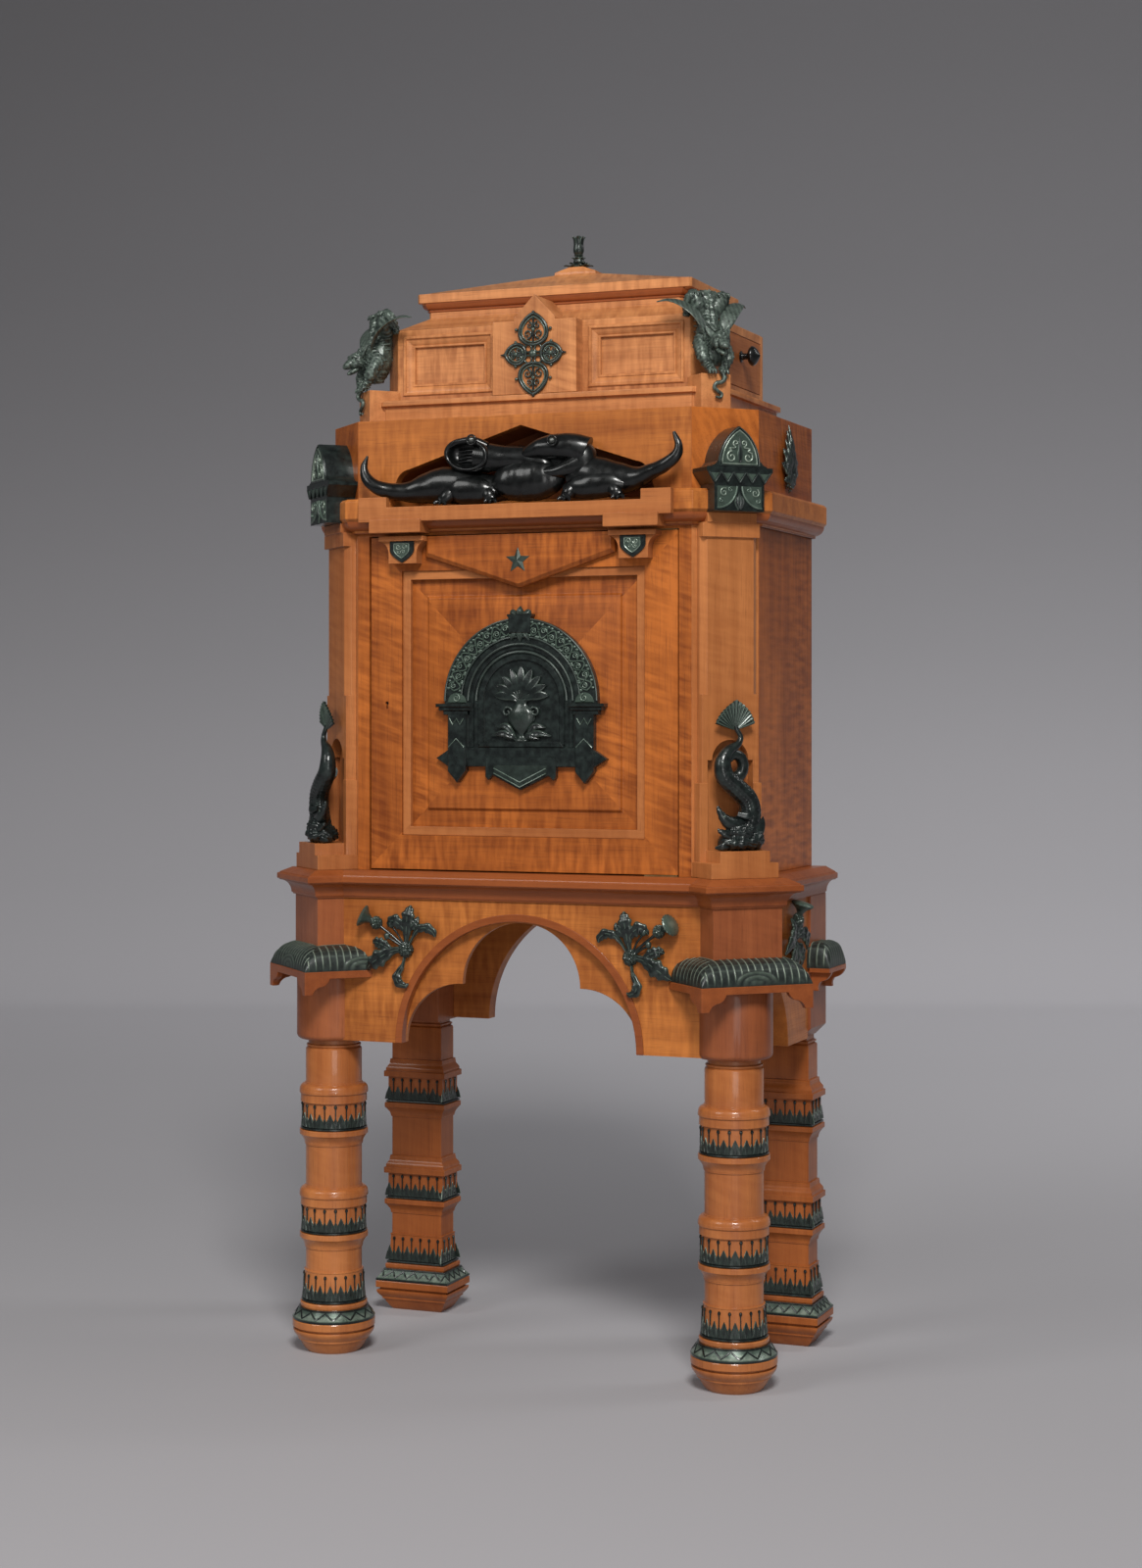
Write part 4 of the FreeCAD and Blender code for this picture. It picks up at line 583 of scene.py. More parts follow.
@dataclass(frozen=True)
class WoodFinish:
    """Polished fruitwood: streaks along the grain, ripples across it, slow changes of tone."""

    name: str
    light: Colour
    deep: Colour
    ripple: float
    pitch: float
    rough: float
    coat: float

    def coordinates(self, bench: Bench, grain: Grain, centre: tuple[float, float]) -> bpy.types.NodeSocket:
        """Coordinates with the grain along their first axis.

        Args:
            bench: where the nodes are laid.
            grain: the run of the grain; mitred changes at the diagonals of a square frame.
            centre: middle of the frame in X and Z, in metres.
        Returns:
            Vector socket.
        """
        place = bench.node("TexCoord").outputs["Object"]
        split = bench.node("SeparateXYZ", {0: place})
        x, y, z = split.outputs
        if grain is Grain.ACROSS:
            return place
        upright = bench.node("CombineXYZ", {0: z, 1: x, 2: y}).outputs[0]
        if grain is Grain.UPRIGHT:
            return upright
        if grain is Grain.DEEP:
            return bench.node("CombineXYZ", {0: y, 1: z, 2: x}).outputs[0]
        wide = bench.sum("ABSOLUTE", bench.sum("SUBTRACT", x, centre[0]))
        high = bench.sum("ABSOLUTE", bench.sum("SUBTRACT", z, centre[1]))
        stile = bench.sum("GREATER_THAN", wide, high)
        return bench.node("Mix", {0: stile, 4: place, 5: upright}, data_type="VECTOR").outputs[1]

    def material(self, grain: Grain, seed: int,
            centre: tuple[float, float] = (0.0, 0.0)) -> bpy.types.Material:
        """Material of one board or set of boards.

        Args:
            grain: the run of the grain.
            seed: moves the pattern, so that boards differ.
            centre: middle of a mitred frame.
        Returns:
            The material.
        """
        bench = Bench(f"{self.name}_{grain.value}_{seed}")
        move = (0.37 * seed, 0.53 * seed, 0.71 * seed)
        run = bench.stretched(self.coordinates(bench, grain, centre), (1.0, 1.0, 1.0), move)
        slow = bench.noise(bench.stretched(run, (2.0, 7.0, 7.0), (0, 0, 0)), 1.0, 2.0)
        figure = bench.noise(bench.stretched(run, (2.4, 70.0, 70.0), (0, 0, 0)), 1.0, 4.0, 0.65)
        pores = bench.noise(bench.stretched(run, (22.0, 620.0, 620.0), (0, 0, 0)), 1.0, 3.0, 0.6)
        patch = bench.noise(bench.stretched(run, (5.0, 9.0, 9.0), (0, 5.0, 0)), 1.0, 1.0)
        parts = bench.node("SeparateXYZ", {0: run})
        lead = bench.sum("MULTIPLY_ADD", parts.outputs[1], 0.3, parts.outputs[0])
        slanted = bench.node("CombineXYZ", {0: lead, 1: parts.outputs[1], 2: parts.outputs[2]}).outputs[0]
        bars = bench.noise(bench.stretched(slanted, (1.0 / self.pitch, 21.0, 21.0), (3.0, 0, 0)), 1.0, 2.0)
        wave = bench.spread(bars, 0.34, 0.66, 0.0, 1.0)
        force = bench.spread(patch, 0.36, 0.66, 0.35 * self.ripple, self.ripple)
        tone = bench.sum("MULTIPLY_ADD", wave, force, bench.spread(slow, 0.3, 0.7, 0.12, 0.52))
        tone = bench.sum("MULTIPLY_ADD", bench.spread(figure, 0.3, 0.7, -0.2, 0.2), 1.0, tone, clamp=True)
        colour = bench.blend(tone, rgba(self.deep), rgba(self.light))
        pale = tuple(min(1.0, 1.12 * c) for c in self.light)
        warm = bench.blend(bench.spread(slow, 0.52, 0.75, 0.0, 0.35), colour, rgba(pale))
        dark = tuple(0.42 * c for c in self.deep)
        colour = bench.blend(bench.spread(pores, 0.56, 0.8, 0.0, 0.55), warm, rgba(dark))
        relief = bench.sum("MULTIPLY_ADD", wave, 0.25, pores)
        bump = bench.node("Bump", {"Strength": 0.06, "Distance": 0.0006, "Height": relief})
        shader = bench.node("BsdfPrincipled", {
            "Base Color": colour,
            "Roughness": bench.spread(pores, 0.3, 0.8, self.rough, self.rough + 0.14),
            "Coat Weight": self.coat,
            "Coat Roughness": 0.1,
            "Specular IOR Level": 0.24,
            "Normal": bump.outputs[0],
        })
        return bench.close(shader)


@dataclass(frozen=True)
class BronzeFinish:
    """Dark patinated bronze: near black on the crests, green where the mark or the casting lies low."""

    name: str
    dark: Colour
    green: Colour
    pale: Colour
    chalk: Colour
    metal: float
    rough: float
    coat: float
    mottle: float

    def material(self) -> bpy.types.Material:
        """Material that reads the patina mark of a piece.

        Returns:
            The material.
        """
        bench = Bench(self.name)
        place = bench.node("TexCoord").outputs["Object"]
        cloud = bench.noise(place, 90.0, 5.0, 0.65)
        pits = bench.noise(place, 420.0, 3.0)
        mark = bench.node("Attribute", attribute_name="patina").outputs["Fac"]
        veil = bench.spread(cloud, 0.42, 0.68, 0.0, self.mottle)
        colour = bench.blend(veil, rgba(self.dark), rgba(self.green))
        worn = bench.sum("MULTIPLY", mark, bench.spread(cloud, 0.25, 0.6, 0.7, 1.0))
        colour = bench.blend(bench.spread(worn, 0.0, 0.6, 0.0, 1.0), colour, rgba(self.pale))
        colour = bench.blend(bench.spread(worn, 0.6, 1.0, 0.0, 1.0), colour, rgba(self.chalk))
        bump = bench.node("Bump", {"Strength": 0.06, "Distance": 0.0008, "Height": pits})
        shader = bench.node("BsdfPrincipled", {
            "Base Color": colour,
            "Metallic": self.metal,
            "Roughness": bench.spread(cloud, 0.3, 0.7, self.rough, self.rough + 0.16),
            "Coat Weight": self.coat,
            "Coat Roughness": 0.14,
            "Normal": bump.outputs[0],
        })
        return bench.close(shader)


@dataclass(frozen=True)
class Palette:
    """The finishes of the cabinet."""

    veneer: WoodFinish = WoodFinish(
        "veneer", (0.45, 0.127, 0.022), (0.13, 0.025, 0.004), 0.7, 0.0085, 0.36, 0.12)
    apron: WoodFinish = WoodFinish(
        "apron_wood", (0.53, 0.178, 0.038), (0.2, 0.05, 0.01), 0.5, 0.0085, 0.36, 0.12)
    plain: WoodFinish = WoodFinish(
        "plain_wood", (0.51, 0.19, 0.06), (0.26, 0.076, 0.02), 0.26, 0.009, 0.34, 0.16)
    # upper: a lighter copy of the wood for the upper case, roof and its panel mouldings, standing in for the
    # stronger light there: painted light.
    upper: WoodFinish = WoodFinish(
        "upper_wood", (0.62, 0.26, 0.096), (0.25, 0.078, 0.024), 0.56, 0.0085, 0.34, 0.2)
    turned: WoodFinish = WoodFinish(
        "turned_wood", (0.57, 0.21, 0.062), (0.29, 0.082, 0.021), 0.2, 0.011, 0.3, 0.4)
    # rear: darker finish for the oblong rear legs, partly a darker wood and partly painted shade for the
    # case's shadow on them.
    rear: WoodFinish = WoodFinish(
        "rear_wood_and_shade", (0.43, 0.13, 0.031), (0.22, 0.055, 0.012), 0.26, 0.01, 0.32, 0.2)
    moulding: WoodFinish = WoodFinish(
        "moulding_wood", (0.36, 0.1, 0.026), (0.19, 0.046, 0.012), 0.14, 0.011, 0.32, 0.24)
    post: WoodFinish = WoodFinish(
        "post_wood", (0.37, 0.115, 0.04), (0.19, 0.05, 0.018), 0.2, 0.01, 0.32, 0.16)
    recess: WoodFinish = WoodFinish(
        "recess_wood", (0.30, 0.09, 0.024), (0.15, 0.038, 0.010), 0.12, 0.011, 0.42, 0.05)
    cedar: WoodFinish = WoodFinish(
        "cedar", (0.5, 0.25, 0.13), (0.33, 0.13, 0.06), 0.05, 0.02, 0.55, 0.0)
    bronze: BronzeFinish = BronzeFinish(
        "bronze", (0.008, 0.0115, 0.011), (0.022, 0.035, 0.031), (0.085, 0.125, 0.098), (0.40, 0.46, 0.38),
        0.35, 0.24, 0.35, 0.8)
    cushion: BronzeFinish = BronzeFinish(
        "cushion_bronze", (0.011, 0.0155, 0.014), (0.027, 0.04, 0.034), (0.1, 0.135, 0.105),
        (0.42, 0.47, 0.37), 0.25, 0.4, 0.12, 0.8)
    beast: BronzeFinish = BronzeFinish(
        "beast_bronze", (0.01, 0.015, 0.0135), (0.04, 0.058, 0.05), (0.13, 0.17, 0.14), (0.42, 0.47, 0.4),
        0.3, 0.36, 0.12, 1.0)
    black_bronze: BronzeFinish = BronzeFinish(
        "black_bronze", (0.005, 0.0055, 0.0055), (0.014, 0.017, 0.017), (0.06, 0.066, 0.06),
        (0.2, 0.21, 0.19), 0.5, 0.23, 0.35, 0.5)
    brass: BronzeFinish = BronzeFinish(
        "fittings", (0.32, 0.23, 0.10), (0.42, 0.31, 0.15), (0.5, 0.4, 0.2), (0.5, 0.4, 0.2), 0.9, 0.3, 0.1,
        0.6)


FINISH = Palette()


def settle(piece: bpy.types.Object, body: str, slot: str, look: bpy.types.Material, *nodes: str) -> None:
    """Gives a piece its finish, its body and the nodes that it stands for.

    Args:
        piece: the new object.
        body: CAD body that it moves with.
        slot: material slot of the record; not used.
        look: its material.
        nodes: CAD nodes that it replaces.
    """
    piece.data.materials.clear()
    piece.data.materials.append(look)
    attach(piece, body)
    if nodes:
        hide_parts(*nodes)
    LOG.info("%s: %d faces on %s", piece.name, len(piece.data.polygons), body)


def cast(skin: Skin, name: str, node: str, crease: float = 38.0, body: str = "cabinet",
         finish: BronzeFinish = FINISH.bronze) -> None:
    """Makes a bronze from its skin, in place of one CAD node."""
    settle(skin.made(name, crease), body, "bronze", finish.material(), node)


def eased(node: str, width: float) -> bpy.types.Object:
    """Copy of a CAD board with its edges rounded off.

    Args:
        node: name of the CAD node.
        width: width of the rounding in millimetres.
    Returns:
        The copy, with a live bevel.
    """
    mesh = frame["nodes"][node].data.copy()
    work = bmesh.new()
    work.from_mesh(mesh)
    bmesh.ops.remove_doubles(work, verts=work.verts, dist=CAD_SEAM)
    bmesh.ops.dissolve_limit(work, angle_limit=FLAT_ANGLE, verts=work.verts, edges=work.edges)
    work.to_mesh(mesh)
    work.free()
    mesh.name = "eased_" + node
    mesh.polygons.foreach_set("use_smooth", np.ones(len(mesh.polygons), bool))
    mesh.set_sharp_from_angle(angle=BOARD_CREASE)
    piece = bpy.data.objects.new("eased_" + node, mesh)
    bpy.context.scene.collection.objects.link(piece)
    bevel = piece.modifiers.new("edges", "BEVEL")
    bevel.width = width / MM_PER_M
    bevel.segments = 2
    bevel.limit_method = "ANGLE"
    bevel.angle_limit = BEVEL_ANGLE
    bevel.harden_normals = True
    return piece


# Wood


@dataclass
class Joinery:
    """The boards of the cabinet: CAD shapes with eased edges and veneers that follow each board."""

    door_centre: tuple[float, float] = (0.0, 0.9485)
    edge: float = 0.9

    def boards(self) -> tuple[tuple[str, str, WoodFinish, Grain], ...]:
        """Node, record slot, finish and grain of every board that stays as its CAD shape.

        Returns:
            One row for each board.
        """
        veneer, apron, plain, upper = FINISH.veneer, FINISH.apron, FINISH.plain, FINISH.upper
        moulding, post, cedar = FINISH.moulding, FINISH.post, FINISH.cedar
        upright, across, deep, mitred = Grain
        return (
            ("front_apron", "veneer", apron, across),
            ("rear_apron", "veneer", apron, across),
            ("side_aprons", "veneer", apron, deep),
            ("trefoil_panel", "veneer", apron, across),
            ("arch_moulding", "moulding_wood", moulding, across),
            ("corner_posts_front", "veneer", post, upright),
            ("corner_posts_rear", "veneer", post, upright),
            ("cushion_shelves", "moulding_wood", moulding, across),
            ("case_floor", "veneer", plain, across),
            ("case_sides", "veneer", veneer, upright),
            ("case_back", "veneer", plain, upright),
            ("corner_panels", "veneer", plain, upright),
            ("door_surround", "veneer", veneer, upright),
            ("door_frame", "veneer", veneer, mitred),
            ("door_panel", "veneer", veneer, mitred),
            # The panel moulding takes the lighter plain finish in place of the moulding wood, to brighten its
            # bevels: painted highlight.
            ("panel_moulding", "moulding_wood", plain, mitred),
            ("door_pendant", "veneer", veneer, across),
            ("door_brackets", "veneer", plain, across),
            ("pilasters", "veneer", plain, upright),
            ("cornice", "moulding_wood", apron, across),
            ("ledge_front", "veneer", plain, across),
            ("attic_front", "veneer", apron, across),
            ("attic_sides", "veneer", veneer, deep),
            ("attic_top", "veneer", plain, across),
            ("pediment_recess", "recess_wood", FINISH.recess, deep),
            # The upper case boards take the lighter upper finish: painted light.
            ("upper_plinth", "veneer", upper, across),
            ("upper_case", "veneer", upper, across),
            ("centre_block", "veneer", upper, upright),
            ("upper_shoulder", "veneer", upper, across),
            ("roof", "veneer", upper, across),
            ("drawer_right", "veneer", plain, deep),
            ("drawer_left", "veneer", plain, deep),
            ("cedar_shelves", "cedar", cedar, across),
            ("shelf_cleats", "cedar", cedar, deep),
        )

    def build(self) -> None:
        """Makes an eased copy of each board and dresses it."""
        for number, (node, slot, finish, grain) in enumerate(self.boards()):
            body = frame["nodes"][node]["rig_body"]
            look = finish.material(grain, number % 7, self.door_centre)
            settle(eased(node, self.edge), body, slot, look, node)


@dataclass
class PanelMouldings:
    """Mitred mouldings planted round the two sunk panels of the upper case."""

    left: float = 77.0
    right: float = 216.0
    low: float = 1405.0
    high: float = 1487.0

    def section(self) -> Array:
        """Rows of inset and depth: a bead on the face, a slope and a step at the panel.

        Returns:
            Array (15, 2), closed.
        """
        return np.array([(-3.0, -149.0), (-3.0, -151.4), (-1.8, -152.4), (0.6, -152.4), (1.8, -151.2),
            (2.0, -149.8), (5.0, -149.0), (8.4, -147.2), (10.6, -145.4), (11.0, -146.6), (13.4, -146.6),
            (14.2, -145.6), (14.2, -141.4), (-3.0, -141.4), (-3.0, -149.0)])

    def build(self) -> None:
        """Runs the section round both panels, mitred at the corners."""
        inset, depth = self.section().T
        x = np.stack([self.left + inset, self.right - inset, self.right - inset, self.left + inset], -1)
        z = np.stack([self.low + inset, self.low + inset, self.high - inset, self.high - inset], -1)
        skin = Skin().grid(np.stack([x, np.broadcast_to(depth[:, None], x.shape), z], -1), caps=False)
        # Lighter upper finish: painted light.
        look = FINISH.upper.material(Grain.ACROSS, 3)
        settle(skin.both().made("upper_panel_mouldings", 20.0), "cabinet", "moulding_wood", look)


@dataclass
class Ovolos:
    """Rounded mouldings planted under the edge of the roof and under the cornice, each over a bead."""

    frieze: tuple[float, float, float, float] = (200.0, 103.0, 103.0, 4.0)
    case: tuple[float, float, float, float] = (330.0, 226.0, 111.0, 74.0)

    def ring(self, size: tuple[float, float, float, float], foot: float, out: float, bead: float,
             reach: float, rise: float, moving: tuple[float, ...]) -> Array:
        """Bead and quarter round carried round a plan with two cut corners.

        Args:
            size: half width, front, back and corner cut of the plan.
            foot: height of the bead's underside.
            out: how far the foot of the quarter round stands out.
            bead: height of the bead.
            reach: how far the quarter round grows from its foot.
            rise: height of the quarter round.
            moving: share of the projection that each edge takes.
        Returns:
            Grid of the moulding, closed round its columns.
        """
        turn = np.linspace(0.0, 0.5 * math.pi, 12)
        low = np.array([(out - 1.8, 0.0), (out, 0.0), (out + 0.7, 0.3 * bead), (out + 0.7, 0.7 * bead),
            (out, bead)])
        high = np.stack([out + reach * np.sin(turn), 1.3 * bead + rise * (1.0 - np.cos(turn))], -1)
        profile = np.concatenate([low, high]) + np.array([0.0, foot])
        return swept(cut_plan(*size), profile, np.array(moving))

    def build(self) -> None:
        """Makes both mouldings; the eaves' sides take twice the front's projection."""
        rings = {
            "eaves_moulding": self.ring(self.frieze, 1531.0, 0.8, 2.8, 4.8, 9.8,
                (2.1, 1.5, 1.0, 1.5, 2.1, 1.0)),
            "cornice_moulding": self.ring(self.case, 1194.0, 5.0, 3.0, 14.0, 13.1,
                (1.0, 1.0, 1.0, 1.0, 1.0, 0.0)),
        }
        for number, (name, grid) in enumerate(rings.items()):
            look = FINISH.moulding.material(Grain.ACROSS, 4 + number)
            settle(Skin().block(grid).made(name, 30.0), "cabinet", "moulding_wood", look)


@dataclass
class Fittings:
    """Hidden metal of the door: lock, bolt and pivots."""

    def build(self) -> None:
        """Dresses the fittings, which keep their CAD shapes."""
        brass, black = FINISH.brass.material(), FINISH.black_bronze.material()
        # The lock case takes the black bronze finish so that the keyhole reads dark: painted shade.
        for node, look in (("lock_case", black), ("lock_bolt", brass), ("pivot_pins_case", brass),
                ("pivot_plates_door", brass)):
            piece = frame["nodes"][node]
            piece.data.materials.clear()
            piece.data.materials.append(look)
            LOG.info("%s: dressed", node)


@dataclass
class Legs:
    """Four legs of one profile: round in front, oblong behind, with three lotus bands and a foot collar."""

    radius: float = 41.0
    front: tuple[float, float] = (309.0, -199.0)
    rear: tuple[float, float] = (297.0, 86.0)
    rear_half: tuple[float, float] = (42.0, 23.0)
    rings: tuple[float, float] = (151.0, 302.0)

    def ring(self, foot: float, squared: bool) -> list[Array]:
        """Profile of one ring: cove, lip, seat of the band, fillet and shoulder.

        Args:
            foot: height where the ring starts.
            squared: whether the leg is oblong, with an ogee for a shoulder in place of a round.
        Returns:
            Runs of (out, height).
        """
        turn = np.linspace(0.0, 1.0, 9)
        quarter = 0.5 * math.pi * turn
        line = np.array([[0.0, 0.0], [1.4, 0.4], [1.4, 2.0]])
        cove = np.stack([1.8 + 6.0 * (1.0 - np.cos(quarter)), 2.4 + 12.0 * turn], -1)
        lip = np.array([[8.4, 14.8], [9.0, 15.5], [9.0, 22.0], [8.4, 22.8], [4.5, 23.0]])
        if squared:
            fillet = np.array([[4.5, 63.0], [9.4, 63.4], [9.8, 64.0], [9.8, 71.6], [9.2, 72.4],
                [7.6, 72.8]])
            shoulder = np.stack([7.4 - 4.4 * turn + 0.9 * np.sin(TURN * turn), 73.4 + 13.6 * turn], -1)
            end = np.array([[2.6, 87.6], [2.4, 90.6], [0.0, 91.2]])
        else:
            fillet = np.array([[4.5, 63.0], [7.6, 63.4], [7.4, 74.6], [8.6, 75.4], [9.2, 76.2],
                [9.2, 79.6]])
            shoulder = np.stack([2.8 + 6.2 * np.cos(quarter), 80.0 + 8.8 * np.sin(quarter)], -1)
            end = np.array([[1.4, 89.4], [1.4, 91.0], [0.0, 91.4]])
        runs = (line, cove, lip, fillet, shoulder, end)
        return [run + np.array([0.0, foot]) for run in runs]

    def profile(self, squared: bool) -> Array:
        """Whole profile of a leg as rows of (out, height), from the floor up.

        Args:
            squared: whether the leg is oblong.
        Returns:
            Array of the rows.
        """
        turn = np.linspace(0.0, 1.0, 9)
        toe = np.stack([-2.0 + 11.5 * turn ** 0.8, 17.0 * turn], -1)
        step = np.array([[11.0, 17.4], [11.6, 18.2], [11.6, 20.0], [12.2, 20.6]])
        swell = np.stack([12.4 + 6.2 * np.sin(0.5 * math.pi * turn), 21.0 + 10.6 * turn], -1)
        quirk = np.array([[18.4, 32.4], [14.2, 33.0], [14.2, 35.4], [18.4, 36.0]])
        rim_run = np.array([[19.4, 36.8], [19.4, 45.6], [18.8, 46.7], [16.0, 47.0], [16.0, 49.0],
            [7.0, 65.0]])
        ankle = np.array([[7.4, 65.6], [8.0, 67.0], [8.0, 71.4], [7.2, 72.6], [3.5, 73.0], [1.5, 116.5],
            [2.2, 117.2], [2.2, 118.8], [0.0, 119.4]])
        neck = np.array([[0.0, 441.0], [-0.6, 443.4], [-3.0, 445.0], [-1.2, 446.8], [-1.2, 449.0],
            [-4.0, 450.4], [-4.0, 457.0]])
        low, high = self.rings
        runs = [toe, step, swell, quirk, rim_run, ankle, *self.ring(low, squared),
            *self.ring(high, squared), neck]
        return np.concatenate(runs)

    def build(self) -> None:
        """Builds the four legs."""
        front_look = FINISH.turned.material(Grain.UPRIGHT, 2)
        # The rear legs take the darker rear finish: partly darker wood, partly painted shade.
        rear_shade_look = FINISH.rear.material(Grain.UPRIGHT, 5)
        turned = lathe(self.profile(False) + np.array([self.radius, 0.0]), 96)
        squared = swept(oblong(*self.rear_half), self.profile(True), np.ones(4))
        for side, name in ((1.0, "right"), (-1.0, "left")):
            place = np.array([side * self.front[0], self.front[1], 0.0])
            piece = Skin().grid(turned + place).made("turned_leg_" + name, 26.0)
            settle(piece, "cabinet", "veneer", front_look, "leg_front_" + name)
            place = np.array([side * self.rear[0], self.rear[1], 0.0])
            piece = Skin().block(squared + place).made("oblong_leg_" + name, 22.0)
            settle(piece, "cabinet", "veneer", rear_shade_look, "leg_rear_" + name)


@dataclass
class LotusBands:
    """Bronze bands of pointed leaves, with a bud on a stem between each pair of tall leaves."""

    legs: Legs
    period: float = 15.75
    heights: tuple[tuple[float, float], ...] = ((73.0, 116.5), (174.0, 214.0), (325.0, 365.0))

    def core(self, low: float, share: Array) -> Array:
        """How far the wood stands out behind a band, at a share of its height."""
        return 3.5 - 2.0 * share if low < 100.0 else 4.5 + 0.0 * share

    def strip(self, low: float, high: float, count: int, pitch: float) -> list[tuple[Array, Array]]:
        """Leaves, stems and buds of a run, as grids of (along, height, out) with patina marks.

        Args:
            low: foot of the band.
            high: head of the band.
            count: number of periods.
            pitch: length of a period.
        Returns:
            Pairs of grid and mark.
        """
        tall = high - low
        rise = np.linspace(0.0, 1.0, 6)
        out = np.array([0.0, 0.0, 1.0])
        made = []
        shapes = ((0.5, 0.62, 0.5, 2.3), (0.0, 0.5, 0.34, 1.9), (0.25, 0.42, 0.26, 2.7),
            (0.75, 0.42, 0.26, 2.7))
        for number in range(count):
            foot = number * pitch
            for place, top, half, thick in shapes:
                path = np.stack([np.full(6, foot + place * pitch),
                    low + tall * (0.12 + (top - 0.12) * rise), np.full(6, 0.6)], -1)
                blade = tube(path, half * pitch * (1.02 - rise) ** 0.75, thick * (1.0 - 0.55 * rise), out,
                    8, 0.5)
                made.append((blade, rim(blade, 1.0)))
            stem = np.stack([np.full(3, foot), low + tall * np.linspace(0.3, 0.84, 3), np.full(3, 0.9)], -1)
            made.append((tube(stem, 1.0, 1.2, out, 6), np.zeros((3, 6))))
            bud = ball((foot, low + tall * 0.88, 1.0), (2.5, 3.0, 1.9), 5, 8)
            made.append((bud, np.zeros((5, 8))))
        return made

    def build(self) -> None:
        """Builds the bands of all four legs as one piece."""
        skin = Skin()
        for low, high in self.heights:
            self.round_band(skin, low, high)
            self.oblong_band(skin, low, high)
        cast(skin.both(), "lotus_leaves", "lotus_bands")

    def hoop(self, low: float, high: float) -> Array:
        """Section of the plain hoop at the foot of a band, as (out, height) from the wood.

        Args:
            low: foot of the band.
            high: head of the band.
        Returns:
            Array (7, 2).
        """
        tall = high - low
        share = np.array([0.02, 0.02, 0.04, 0.08, 0.1, 0.34, 0.36])
        out = np.array([-1.0, 2.8, 3.3, 2.8, 0.7, 0.6, -1.0])
        return np.stack([self.core(low, share) + out, low + share * tall], -1)

    def round_band(self, skin: Skin, low: float, high: float) -> None:
        """One band of the right front leg: a strip wrapped round the shaft.

        Args:
            skin: where the grids go.
            low: foot of the band.
            high: head of the band.
        """
        middle = self.legs.front
        radius = self.legs.radius
        around = TURN * (radius + 4.5)
        count = int(round(around / self.period))
        hoop = lathe(self.hoop(low, high) + np.array([radius, 0.0]), 72)
        skin.grid(hoop + np.array([*middle, 0.0]), caps=False)
        for grid, mark in self.strip(low, high, count, around / count):
            angle = grid[..., 0] / around * TURN
            share = (grid[..., 1] - low) / (high - low)
            far = radius + self.core(low, share) + grid[..., 2]
            wrapped = np.stack([middle[0] + far * np.cos(angle), middle[1] + far * np.sin(angle),
                grid[..., 1]], -1)
            skin.grid(wrapped, mark=mark)

    def oblong_band(self, skin: Skin, low: float, high: float) -> None:
        """One band of the right rear leg: a strip on each of its four faces.

        Args:
            skin: where the grids go.
            low: foot of the band.
            high: head of the band.
        """
        wide, deep = self.legs.rear_half
        middle = np.array([*self.legs.rear, 0.0])
        skin.grid(swept(oblong(wide, deep), self.hoop(low, high), np.ones(4)) + middle, caps=False)
        faces = ((wide, deep, 0.0), (deep, wide, 0.25), (wide, deep, 0.5), (deep, wide, 0.75))
        for half, far, share in faces:
            span = 2.0 * (half + 3.0)
            count = int(round(span / self.period))
            pitch = span / count
            for grid, mark in self.strip(low, high, count, pitch):
                along = grid[..., 0] + 0.5 * pitch - 0.5 * span
                height = (grid[..., 1] - low) / (high - low)
                out = -(far + self.core(low, height) + grid[..., 2])
                skin.grid(spun(along, out, grid[..., 1], share) + middle, mark=mark)


